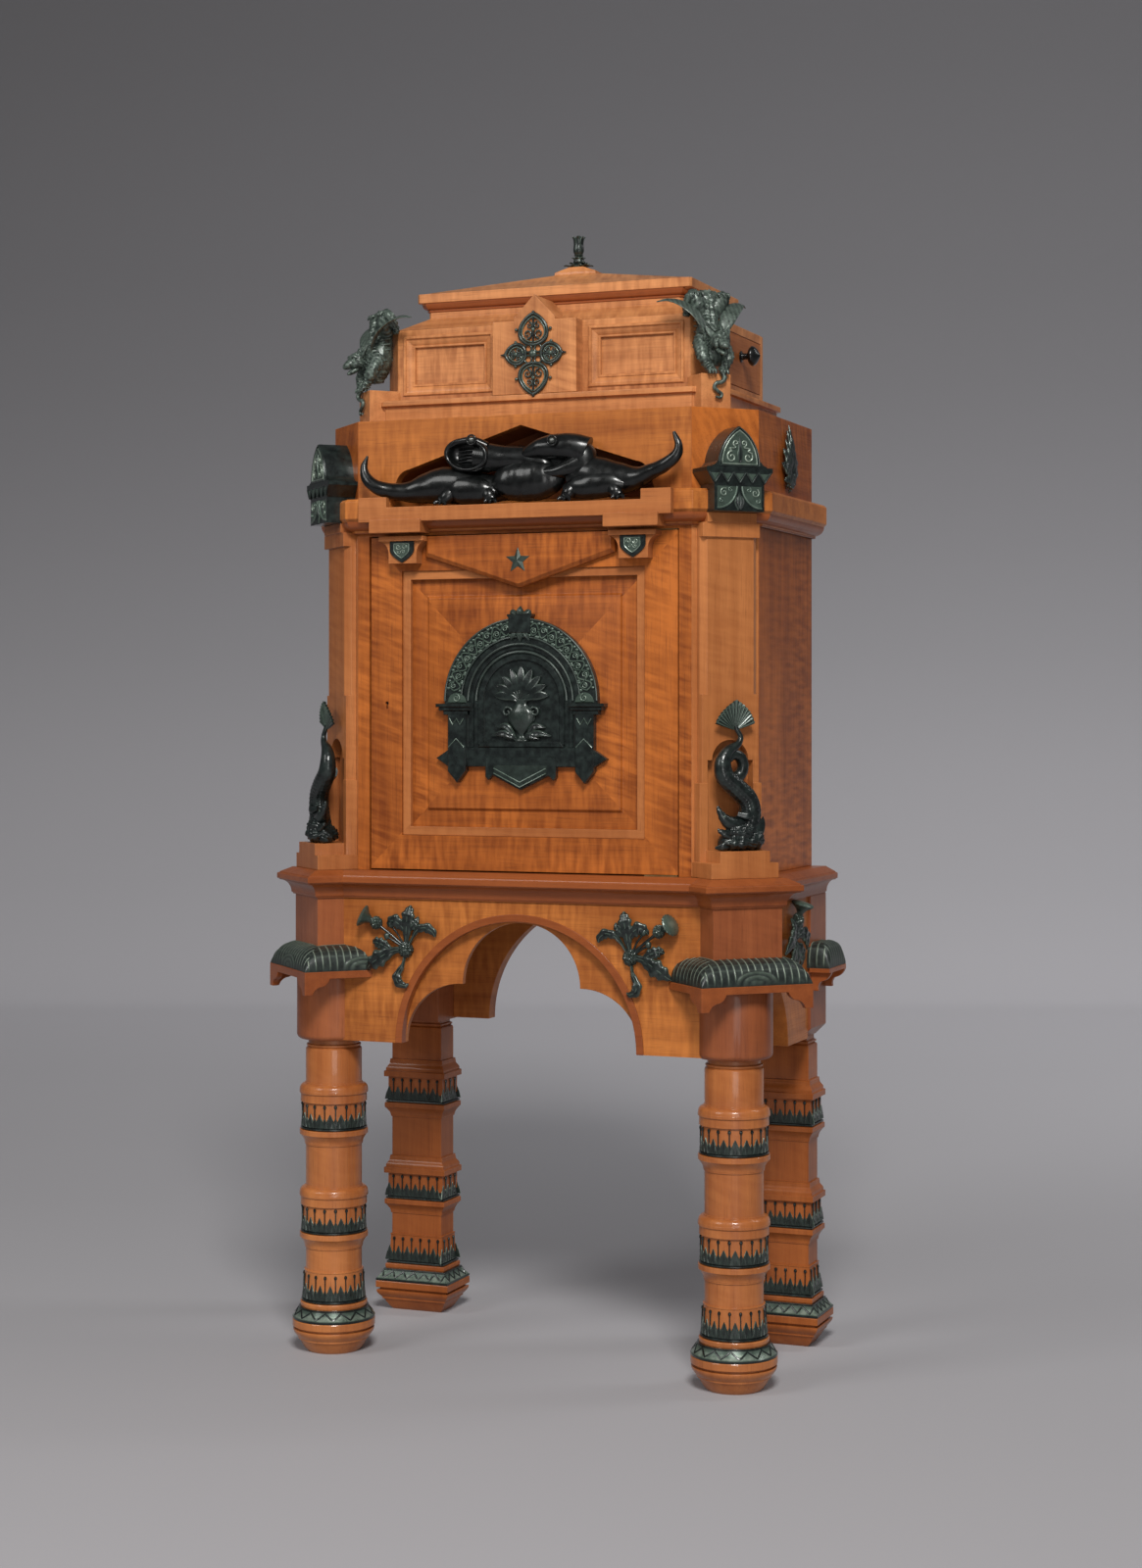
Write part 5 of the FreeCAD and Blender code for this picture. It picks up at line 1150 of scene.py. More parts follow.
@dataclass
class FootCollars:
    """Bronze collars of the feet, with a raised zigzag between two plain rims."""

    legs: Legs
    teeth: int = 14

    def section(self) -> Array:
        """Outer face and inner face of a collar as (out, height).

        Returns:
            Array (12, 2).
        """
        return np.array([[15.6, 47.2], [18.8, 47.2], [19.4, 48.0], [19.4, 50.0], [18.6, 50.8], [17.4, 52.0],
            [13.6, 57.0], [10.6, 61.6], [10.0, 62.4], [10.6, 63.2], [10.0, 64.8], [7.2, 64.9]])

    def line(self, up: Array) -> Array:
        """How far the collar's face stands out at a height."""
        return np.interp(up, [50.8, 52.0, 57.0, 61.6], [18.6, 17.4, 13.6, 10.6])

    def zigzag(self, teeth: int) -> tuple[Array, Array]:
        """Share of the run and height of each point of a zigzag, eight points to a tooth."""
        steps = np.arange(teeth * 8 + 1)
        return steps / (teeth * 8), 52.2 + 9.2 * np.abs((steps % 8) / 4.0 - 1.0)

    def build(self) -> None:
        """Builds the collars of all four feet as one piece."""
        skin = Skin()
        section = self.section()
        mark = np.interp(section[:, 1], [50.0, 51.0, 61.0, 62.5], [0.0, 0.8, 0.7, 0.0])
        radius = self.legs.radius
        middle = np.array([*self.legs.front, 0.0])
        ring = lathe(section + np.array([radius, 0.0]), 84)
        skin.grid(ring + middle, caps=False, mark=np.broadcast_to(mark[:, None], ring.shape[:2]))
        along, up = self.zigzag(self.teeth)
        angle = along * TURN
        far = radius + self.line(up)
        path = np.stack([far * np.cos(angle), far * np.sin(angle), up], -1) + middle
        face = np.stack([np.cos(angle), np.sin(angle), 0.5 + 0.0 * angle], -1)
        skin.grid(tube(path, 1.5, 1.1, face, 6), caps=False)
        self.oblong_collar(skin, section, mark)
        cast(skin.both(), "zigzag_rings", "zigzag_collars")

    def oblong_collar(self, skin: Skin, section: Array, mark: Array) -> None:
        """Collar of the right rear foot: four faces, each with its own zigzag.

        Args:
            skin: where the faces are gathered.
            section: face of the collar.
            mark: patina marks along the section.
        """
        wide, deep = self.legs.rear_half
        middle = np.array([*self.legs.rear, 0.0])
        ring = swept(oblong(wide, deep), section, np.ones(4))
        skin.grid(ring + middle, caps=False, mark=np.broadcast_to(mark[:, None], ring.shape[:2]))
        for number in range(4):
            half, far, teeth = (deep, wide, 4) if number % 2 else (wide, deep, 6)
            share = 0.25 * number
            along, up = self.zigzag(teeth)
            out = self.line(up)
            path = spun((2.0 * along - 1.0) * (half + out), -(far + out), up, share) + middle
            skin.grid(tube(path, 1.5, 1.1, spun(0.0, -1.0, 0.5, share), 6))


@dataclass
class Cushions:
    """Bronze cushions on the shelves: crowned, ribbed from every edge, with ringed fans on the front pair."""

    corner: tuple[float, float] = (309.0, -199.0)
    seat: float = 562.6
    height: float = 38.5
    stripe: float = 10.8
    course: float = 6.0
    squat: float = 1.45
    front_size: tuple[float, float] = (85.0, 71.2)
    front_fan: float = 35.0
    left_flank: float = 19.0
    rear_size: tuple[float, float] = (44.0, 30.6)
    rear_place: tuple[float, float, float] = (352.0, 66.5, 0.0)
    no_fan: float = 0.01
    density: float = 2.6

    def steps(self, half: float) -> Array:
        """Steps from -1 to 1 over a width, closer together towards both edges."""
        t = np.linspace(-1.0, 1.0, int(self.density * half))
        return np.sign(t) * (1.0 - (1.0 - np.abs(t)) ** 1.3)

    def ribs(self, place: Array, pitch: float, width: float) -> Array:
        """Row of bell-shaped ribs: 1 at every multiple of the pitch, falling off over the width."""
        return np.exp(-((((place / pitch + 0.5) % 1.0 - 0.5) * pitch / width) ** 2))

    def pillow(self, half: float, deep: float, fan: float, flank: float = math.inf) -> tuple[Array, Array]:
        """Heights over an oblong: a crown that falls to all four edges, with ribs and rings on it.

        The ribs run in from the nearest edge, so they meet in hips at the corners.

        Args:
            half: half width.
            deep: half depth, the front at minus depth.
            fan: radius of the ringed fan in the middle of the front edge.
            flank: place of a second fan along the inner edge, endless where there is none.
        Returns:
            Grid of points and its patina marks.
        """
        a, n = np.meshgrid(self.steps(half), self.steps(deep))
        crown = np.clip(1.0 - np.abs(a) ** 6, 0.0, 1.0) ** 0.42
        crown = crown * np.clip(1.0 - np.abs(n) ** 5, 0.0, 1.0) ** 0.45
        x = a * half * (1.0 - 0.022 * (1.0 - n * n) * np.abs(a) ** 3)
        y = n * deep * (1.0 - 0.018 * (1.0 - a * a))
        z = self.height * 0.94 * crown
        front = np.hypot(x, self.squat * np.clip(z + (y + deep) * 0.8, 0.0, None))
        side = np.hypot(y - flank, self.squat * np.clip(z + (x + half) * 0.8, 0.0, None))
        far = np.minimum(front, side)
        inside = 1.0 / (1.0 + np.exp((far - fan) / 0.6))
        hip = half - np.abs(x) < np.minimum(deep - np.abs(y), 26.0)
        run, cross = np.where(hip, y, x), np.where(hip, half - np.abs(x), deep - np.abs(y))
        rib = self.ribs(run, self.stripe, 0.85)
        ridge = np.maximum(rib, 0.2 * self.ribs(cross, self.course, 0.7)) * (1.0 - inside)
        rings = (0.5 + 0.5 * np.cos(far / fan * TURN * 3.5)) * inside
        keep = np.clip(crown * 4.0, 0.0, 1.0)
        lift = (0.8 * ridge + 1.7 * rings) * keep
        out = 0.5 * lift
        x = x - out * (side < fan) * np.clip(-a, 0.0, 1.0) ** 6
        grid = np.stack([x, y - out * np.clip(-n, 0.0, 1.0) ** 6, self.seat + z + lift], -1)
        return grid, np.clip(0.95 * ridge + 0.5 * rings * inside, 0.0, 1.0) * keep

    def closed(self, skin: Skin, grid: Array, mark: Array) -> None:
        """Adds a pillow with its flat underside."""
        skin.grid(grid, ring=False, caps=False, mark=mark)
        skin.lid(np.concatenate([grid[0, :-1], grid[:-1, -1], grid[-1, :0:-1], grid[:0:-1, 0]]))

    def build(self) -> None:
        """Builds the two front and the two rear cushions."""
        look = FINISH.cushion.material()
        skin = Skin()
        grid, mark = self.pillow(*self.front_size, self.front_fan)
        self.closed(skin, cornered(grid, self.corner), mark)
        grid, mark = self.pillow(*self.front_size, self.front_fan, self.left_flank)
        self.closed(skin, flipped(cornered(grid, self.corner)), mark)
        settle(skin.made("striped_cushions_front"), "cabinet", "bronze", look, "bronze_cushions_front")
        skin = Skin()
        grid, mark = self.pillow(*self.rear_size, self.no_fan)
        self.closed(skin, sideways(grid) + np.array(self.rear_place), mark)
        settle(skin.both().made("striped_cushions_rear"), "cabinet", "bronze", look, "bronze_cushions_rear")


@dataclass
class Waist:
    """Moulded board between stand and case, breaking forward over the front posts."""

    foot: float = 667.0
    centre: tuple[float, float] = (309.0, -199.0)
    plan: tuple[float, float, float, float] = (348.0, 238.0, 111.0, 78.0)
    ear: tuple[float, float, float] = (53.0, 42.0, 34.0)

    def profile(self) -> Array:
        """Cove, fillet, edge and sloping weathering as rows of (out, height).

        Returns:
            Array of the rows.
        """
        turn = 0.5 * math.pi * np.linspace(0.0, 1.0, 12)
        cove = np.stack([5.0 + 14.0 * (1.0 - np.cos(turn)), self.foot + 3.0 + 17.5 * np.sin(turn)], -1)
        low = np.array([[3.0, 0.0], [3.4, 1.6], [4.6, 2.2]])
        edge = np.array([[19.2, 21.4], [21.4, 22.2], [22.0, 23.2], [22.0, 29.6], [21.2, 30.6]])
        slope = np.array([[19.0, 31.0], [18.4, 32.4], [6.0, 38.6], [4.0, 39.9]])
        up = np.array([0.0, self.foot])
        return np.concatenate([low + up, cove, edge + up, slope + up])

    def build(self) -> None:
        """Builds the board and its two ears over the posts."""
        profile = self.profile()
        half, near, far = self.ear
        ear = np.array([[-half, -near], [half, -near], [half, far], [-half, far]])
        grid = swept(ear, profile, np.array([1.0, 1.0, 0.0, 1.0]))
        skin = Skin().block(cornered(grid, self.centre)).both()
        skin.block(swept(cut_plan(*self.plan), profile, np.array([1.0, 1.0, 1.0, 1.0, 1.0, 0.0])))
        look = FINISH.moulding.material(Grain.ACROSS, 3)
        settle(skin.made("waist_moulding", 30.0), "cabinet", "moulding_wood", look, "waist_board")


# Bronzes


@dataclass
class Thistles:
    """Bronze thistle sprays on the aprons of the stand."""

    front: tuple[float, float, float] = (172.0, -238.0, 594.0)
    side: tuple[float, float, float] = (348.0, -50.0, 606.0)

    def leaves(self) -> tuple[tuple[tuple[float, ...], ...], ...]:
        """Leaves of the front spray about its knot, as limb rows.

        Returns:
            Rows of each leaf.
        """
        return (
            ((0, -3, 4, 3.4, 2.5), (-2, -6, 18, 4.4, 3), (-4, -8, 34, 8, 4), (-6, -10, 48, 10, 4),
                (-8, -8, 58, 7, 3), (-9, -6, 64, 1.4, 1)),
            ((-2, -6, 26, 3, 2), (6, -9, 36, 8, 3.5), (16, -11, 42, 9, 3.5), (24, -8, 38, 5, 2.5),
                (27, -5, 33, 1.2, 1)),
            ((-4, -6, 28, 3, 2), (-13, -9, 36, 7, 3), (-19, -8, 43, 5, 2.5), (-21, -6, 48, 1.2, 1)),
            ((-3, -4, 3, 2, 2), (-13, -6, 20, 2.6, 2.5), (-22, -9, 30, 5, 3.5), (-34, -9, 33, 7, 3.5),
                (-44, -7, 27, 6, 3), (-47, -5, 20, 1.6, 1.5)),
            ((1, -4, -6, 2, 2), (4, -6, -22, 3, 2.5), (11, -9, -36, 6.4, 3.5), (10, -9, -46, 7, 3.5),
                (1, -7, -51, 4.6, 2.6), (-5, -5, -49, 1.2, 1.2)),
            ((4, -4, 1, 3, 2.5), (22, -8, -3, 7, 4), (36, -11, -11, 12, 4.5), (48, -11, -19, 11, 4),
                (57, -8, -26, 5, 2.5), (61, -5, -29, 1, 1)),
            ((22, -8, 0, 4, 3), (34, -10, 7, 8, 3.5), (45, -9, 10, 7, 3), (51, -6, 8, 1.2, 1)),
        )

    def leaf(self, skin: Skin, rows: Sequence[Sequence[float]], place: Placer) -> None:
        """One leaf with a lobed edge and a raised midrib.

        Args:
            skin: where the grids go.
            rows: limb rows of the leaf.
            place: puts local grids on the apron.
        """
        grid = lobed(limb(rows, 46, 18, groove=0.45), 5.0, 0.16)
        skin.grid(place(grid), mark=rim(grid, 0.6))
        rib = np.asarray(rows, float)
        rib[:, 1] -= 0.5 * rib[:, 4]
        rib[:, 3:] = 0.9
        skin.grid(place(limb(rib, 24, 6)), mark=0.55)

    def flower(self, skin: Skin, place: Placer, start: tuple[float, float, float],
            along: tuple[float, float, float]) -> None:
        """Scaly cup and flared head of a thistle.

        Args:
            skin: where the grids go.
            place: puts local grids on the apron.
            start: middle of the cup.
            along: direction of the head.
        """
        skin.grid(place(roughened(ball(start, (8.5, 7.5, 9), 36, 44), 1.2, 4.6)), mark=0.25)
        head = np.array([[3.4, 4.0], [4.2, 9.0], [7.5, 15.0], [14.0, 20.0], [16.0, 22.5], [14.5, 24.5],
            [9.0, 26.0], [3.0, 26.4]])
        grid = lathe(head, 36)
        teeth = 1.0 + 0.05 * np.cos(18.0 * np.linspace(0.0, TURN, 36, endpoint=False))
        grid[..., :2] *= teeth[None, :, None]
        skin.grid(place(aimed(grid, start, along)), mark=np.linspace(0.1, 0.7, 8)[:, None])

    def front_spray(self, skin: Skin) -> None:
        """Spray on the right of the front arch.

        Args:
            skin: where the grids go.
        """
        def place(grid: Array) -> Array:
            """Local points about the knot."""
            return grid + np.array(self.front)
        for rows in self.leaves():
            self.leaf(skin, rows, place)
        stems = (
            ((2, -4, 4, 2.6, 2.6), (22, -7, 21, 2.2, 2.2), (42, -10, 36, 2.4, 2.4)),
            ((2, -4, 5, 1.8, 1.8), (11, -7, 22, 1.5, 1.5), (20, -8, 33, 1.6, 1.6)),
            ((4, -4, 3, 1.8, 1.8), (17, -7, 12, 1.5, 1.5), (26, -8, 17, 1.6, 1.6)),
        )
        for rows in stems:
            skin.grid(place(limb(rows, 8, 8)))
        for bud in ((21, -8, 36), (28, -8, 19)):
            skin.grid(place(ball(bud, (4.6, 4, 5.4), 8, 10)), mark=0.2)
        skin.grid(place(roughened(ball((0, -4, 0), (11, 8, 11), 36, 44), 1.2, 5.0)), mark=0.15)
        self.flower(skin, place, (44, -10, 38), (0.85, -0.3, 0.45))

    def side_spray(self, skin: Skin) -> None:
        """Upright spray on the right side of the stand.

        Args:
            skin: where the grids go.
        """
        def place(grid: Array) -> Array:
            """Local points turned on to the side."""
            return sideways(grid) + np.array(self.side)
        half = (
            ((0, -4, 6, 3, 3), (22, -9, 12, 9, 4), (40, -11, 2, 10, 4), (54, -6, -14, 1.5, 1.5)),
            ((2, -4, 10, 3, 2), (16, -8, 26, 7, 3.5), (26, -6, 36, 1.2, 1.2)),
            ((2, -4, -2, 3, 2), (16, -9, -12, 9, 4), (24, -8, -26, 7, 3.5), (26, -5, -38, 1.2, 1.2)),
        )
        for rows in half:
            self.leaf(skin, rows, place)
            self.leaf(skin, np.asarray(rows, float) * np.array([-1.0, 1.0, 1.0, 1.0, 1.0]), place)
        self.leaf(skin, ((0, -4, 4, 4, 3), (0, -9, -16, 9, 4), (0, -7, -34, 6, 3), (0, -5, -42, 1, 1)),
            place)
        skin.grid(place(limb(((0, -4, 0, 3, 3), (0, -7, 20, 2.6, 2.6), (0, -9, 36, 2.6, 2.6)), 8, 8)))
        self.flower(skin, place, (0, -9, 33), (0, -0.3, 1))

    def build(self) -> None:
        """Builds all four sprays as one piece."""
        skin = Skin()
        self.front_spray(skin)
        self.side_spray(skin)
        cast(skin.both(), "thistle_sprays", "thistle_mounts", 50.0)


@dataclass
class SeaBeasts:
    """Bronze sea beasts in the niches: a coiled body on a rock, ending in a ribbed fan fin."""

    corner: tuple[float, float] = (293.0, -189.0)
    floor: float = 744.6

    def fan(self) -> Array:
        """Fan fin: rays spread from a stem, their length following a pointed outline, ribs standing up.

        Returns:
            Grid of the fin, front and back in one ring.
        """
        angle = np.linspace(-74.0, 74.0, 75)
        length = np.interp(np.abs(angle), [0.0, 12.0, 30.0, 50.0, 74.0], [42.0, 38.0, 34.5, 32.8, 32.0])
        share = np.linspace(0.03, 1.0, 14)[:, None]
        a = np.radians(angle)
        x = share * length * np.sin(a) * 0.97
        z = 910.0 + share * length * np.cos(a) * (1.0 - 0.12 * (1.0 - share))
        rib = 1.2 * np.cos(angle / 148.0 * TURN * 15.0) * share
        bow = -31.0 - 5.0 * share * np.cos(1.2 * a) - rib
        front = np.stack([x, bow, z + 0.0 * bow], -1)
        back = front + np.array([0.0, 2.2, 0.0])
        return np.concatenate([front, back[:, ::-1]], axis=1)

    def scales(self, grid: Array) -> Array:
        """Scales on the lower part: small domes, set off by half in every other row.

        Args:
            grid: the smooth body.
        Returns:
            The scaled grid.
        """
        rows, sides = np.meshgrid(np.arange(grid.shape[0]), np.arange(grid.shape[1]), indexing="ij")
        brick = rows / 5.0 + 0.5 * ((sides // 4) % 2)
        dome = np.abs(np.sin(np.pi * brick) * np.sin(np.pi * sides / 4.0)) ** 0.6
        fade = np.interp(rows / grid.shape[0], [0.0, 0.3, 0.5, 1.0], [1.0, 1.0, 0.25, 0.0])
        axis = grid.mean(axis=1, keepdims=True)
        return grid + unit(grid - axis) * (1.0 * dome * fade)[..., None]

    def body(self) -> list[Array]:
        """Body, loop, fins, head and rock as local grids (across, depth, height).

        Returns:
            The local grids.
        """
        z = self.floor
        trunk = limb(((4, -34, z + 8, 15, 15), (14, -35, z + 26, 15, 15), (20, -36, z + 50, 15, 14),
            (15, -37, z + 70, 14, 13.5), (-2, -38, z + 86, 14, 13), (-19, -37, z + 102, 13, 12.5),
            (-22, -36, z + 120, 11.5, 11), (-14, -35, z + 136, 8, 8), (2, -34, z + 146, 5, 5),
            (7, -33, z + 156, 3.6, 3.6), (2, -32, z + 166, 3.2, 3.2), (0, -31, z + 172, 2.6, 2.6)), 200, 56)
        loop = limb(((-16, -27, z + 104, 9, 8), (0, -25, z + 99, 9, 8), (11, -25, z + 105, 8.6, 8),
            (14, -26, z + 118, 8.2, 8), (8, -28, z + 129, 8, 7.6), (-4, -31, z + 132, 7.6, 7),
            (-14, -34, z + 126, 7, 6.6)), 48, 20)
        snout = limb(((8, -36, z + 38, 12, 12), (-8, -42, z + 36, 11, 10), (-22, -45, z + 42, 8, 7),
            (-31, -44, z + 54, 4, 4), (-33, -43, z + 62, 1.2, 1.2)), 26, 20)
        jaw = limb(((4, -38, z + 22, 11, 9), (-14, -46, z + 20, 8, 6), (-29, -46, z + 26, 4, 3),
            (-34, -44, z + 30, 1.2, 1.2)), 22, 16)
        fins = [
            limb(((14, -40, z + 30, 7, 4), (26, -46, z + 26, 9, 3), (34, -44, z + 36, 6, 2.5),
                (37, -42, z + 46, 1, 1)), 20, 14, groove=0.4),
            limb(((-4, -46, z + 50, 4, 3), (10, -52, z + 48, 5, 3), (22, -48, z + 58, 2, 1.5)), 14, 12,
                groove=0.4),
            limb(((-12, -44, z + 12, 6, 5), (-26, -46, z + 6, 6, 4), (-36, -40, z + 4, 1.5, 1.5)), 16, 12,
                groove=0.4),
            limb(((20, -38, z + 14, 8, 6), (32, -38, z + 12, 7, 5), (38, -34, z + 22, 1.5, 1.5)), 16, 12,
                groove=0.4),
        ]
        rock = roughened(ball((2.0, -37.0, z + 12.0), (31, 22, 13), 40, 60), 2.6, 19.0)
        rock[..., 2] = np.maximum(rock[..., 2], z)
        lump = roughened(ball((0.0, -44.0, z + 24.0), (21, 14, 14), 40, 56), 2.0, 13.0)
        boulder = roughened(ball((24.0, -39.0, z + 15.0), (15, 14, 15), 34, 44), 1.6, 12.0)
        boulder[..., 2] = np.maximum(boulder[..., 2], z)
        return [boulder, self.scales(trunk), roughened(loop, 0.3, 5.0), roughened(snout, 0.7, 8.0),
            roughened(jaw, 0.6, 7.0), *fins, rock, lump]

    def build(self) -> None:
        """Builds both beasts as one piece."""
        skin = Skin()
        for grid in self.body():
            skin.grid(cornered(grid, self.corner))
        fan = self.fan()
        stripe = 0.5 + 0.5 * np.cos(np.linspace(-7.5, 7.5, 75) * TURN)
        mark = 0.05 + 0.75 * np.concatenate([stripe, stripe]) ** 3
        skin.grid(cornered(fan, self.corner), mark=np.broadcast_to(mark, fan.shape[:2]))
        skin.grid(cornered(ball((-26.0, -49.0, self.floor + 47.0), (2.6, 2.4, 2.6), 8, 10), self.corner),
            mark=0.5)
        cast(skin.both(), "sea_beasts", "niche_beasts", 60.0)


@dataclass
class Climbers:
    """Bronze winged beasts climbing head down on the pedestals of the upper case."""

    corner: tuple[float, float] = (241.0, -137.0)
    floor: float = 1409.2

    def half(self) -> list[Array]:
        """Legs, haunch, ear, brow and wing of one side of the beast, as local grids.

        Returns:
            The local grids.
        """
        z = self.floor
        up = (0, -0.5, 0.86)
        foreleg = limb(((12, -28, z + 46, 12, 12), (18, -37, z + 34, 11, 10), (19, -44, z + 22, 8, 8),
            (14, -46, z + 12, 6.4, 6.4), (10, -48, z + 6, 6.4, 5.4), (9, -51, z + 2, 5.6, 3.6)), 44, 24)
        haunch = limb(((6, -15, z + 88, 13, 13), (15, -19, z + 100, 13, 13), (23, -19, z + 111, 9, 9),
            (27, -13, z + 104, 7, 7), (27, -7, z + 92, 5.6, 5), (28, -6, z + 84, 4.2, 4)), 44, 24)
        wing = limb(((8, -36, z + 48, 4, 2.6), (15, -39, z + 65, 9, 2.6), (27, -34, z + 85, 12, 2.4),
            (42, -22, z + 99, 11, 2.2), (57, -9, z + 105, 6, 1.6), (70, 2, z + 103, 1.2, 0.8)), 54, 20, up,
            0.5)
        ear = limb(((8, -54, z + 50, 5, 3.4), (14, -52, z + 57, 4.6, 2.6), (19, -48, z + 66, 1, 1)), 14, 12,
            groove=0.6)
        brow = limb(((1, -69, z + 46, 2.4, 2), (7, -67, z + 50, 3.2, 2.8), (12, -61, z + 48, 1.6, 1.6)), 12,
            10)
        cheek = ball((8.0, -62.0, z + 38.0), (4.6, 5, 5), 10, 14)
        claws = [limb(((x, -48, z + 5, 2.6, 2.6), (x, -53, z + 3, 2.4, 2.4), (x, -55, z - 1.4, 0.9, 0.9)),
            8, 10) for x in (4.6, 9.4, 14.2)]
        shoulder = roughened(ball((15.0, -30.0, z + 42.0), (12, 13, 14), 28, 36), 1.5, 6.0)
        ribs = [limb(((6, -31, z + 58 + 8 * n, 1.8, 1.8), (15, -25, z + 60 + 8 * n, 2, 2),
            (18, -12, z + 62 + 8 * n, 1.2, 1.2)), 12, 8) for n in range(3)]
        toes = [limb(((19 + x, -23, z + 113, 2.8, 2.8), (20 + 1.4 * x, -28, z + 115, 2.6, 2.6),
            (21 + 1.6 * x, -31, z + 110, 0.9, 0.9)), 8, 10) for x in (-5, 0, 5)]
        locks = [
            limb(((4 + 3 * n, -52 + 3 * n, z + 58 - 3 * n, 3, 2.4),
                (8 + 4 * n, -46 + 4 * n, z + 66 - 4 * n, 2.6, 2),
                (10 + 5 * n, -38 + 4 * n, z + 70 - 6 * n, 0.8, 0.8)), 12, 10)
            for n in range(4)]
        eye = ball((5.8, -69.0, z + 43.0), (2.4, 2, 2.2), 8, 10)
        return [roughened(foreleg, 1.4, 5.0), roughened(haunch, 1.4, 6.0), wing, ear, brow, cheek, *claws,
            shoulder, *ribs, *toes, *locks, eye]

    def middle(self) -> list[Array]:
        """Trunk, head, muzzle, jaw, mane and tail, as local grids.

        Returns:
            The local grids.
        """
        z = self.floor
        trunk = limb(((0, -9, z + 117, 16, 8), (0, -14, z + 109, 23, 13), (0, -17, z + 95, 19, 14),
            (0, -18, z + 77, 15, 15), (0, -21, z + 58, 19, 18), (0, -26, z + 40, 22, 20),
            (0, -29, z + 25, 19, 17), (0, -28, z + 13, 12, 11)), 70, 40)
        spine = limb(((0, -20, z + 119, 3, 4), (0, -28, z + 106, 4, 4), (0, -33, z + 88, 4, 4),
            (0, -36, z + 70, 4, 4), (0, -42, z + 60, 3, 3)), 50, 14)
        tail = limb(((6, -49, z + 3, 3.6, 3.6), (10, -52, z - 6, 3.4, 3.4), (6, -51, z - 12, 3.2, 3.2),
            (-2, -50, z - 14, 3, 3), (-5, -50, z - 20, 2.9, 2.9), (0, -50, z - 25, 2.8, 2.8),
            (6, -50, z - 29, 2.6, 2.6), (4, -50, z - 34, 2.2, 2.2), (-3, -50, z - 33, 1.8, 1.8)), 50, 12)
        return [
            roughened(trunk, 1.5, 6.0), roughened(spine, 1.2, 3.4),
            roughened(ball((0.0, -56.0, z + 44.0), (14, 14, 13), 34, 46), 1.2, 4.4),
            limb(((0, -60, z + 44, 9, 9), (0, -69, z + 39, 8.6, 7), (0, -75, z + 34, 6.4, 5),
                (0, -76, z + 31, 2, 2)), 24, 20),
            limb(((0, -58, z + 33, 8, 5), (0, -67, z + 27, 6.4, 3.8), (0, -72, z + 24, 2.4, 1.8)), 16, 16),
            ball((0.0, -76.0, z + 36.0), (3.8, 2.8, 2.6), 8, 12),
            roughened(ball((0.0, -43.0, z + 48.0), (18, 12, 17), 44, 60), 2.6, 5.0),
            tail,
        ]

    def build(self) -> None:
        """Builds both beasts as one piece."""
        skin = Skin()
        for grid in self.half() + [flipped(grid) for grid in self.half()] + self.middle():
            p = grid / 8.0 * TURN
            spots = np.sin(p @ np.array([0.7, 0.4, 0.6])) * np.sin(p @ np.array([-0.5, 0.8, 0.4]))
            skin.grid(cornered(grid, self.corner), mark=0.26 + 0.3 * spots)
        cast(skin.both(), "winged_climbers", "climbing_beasts", 60.0, finish=FINISH.beast)


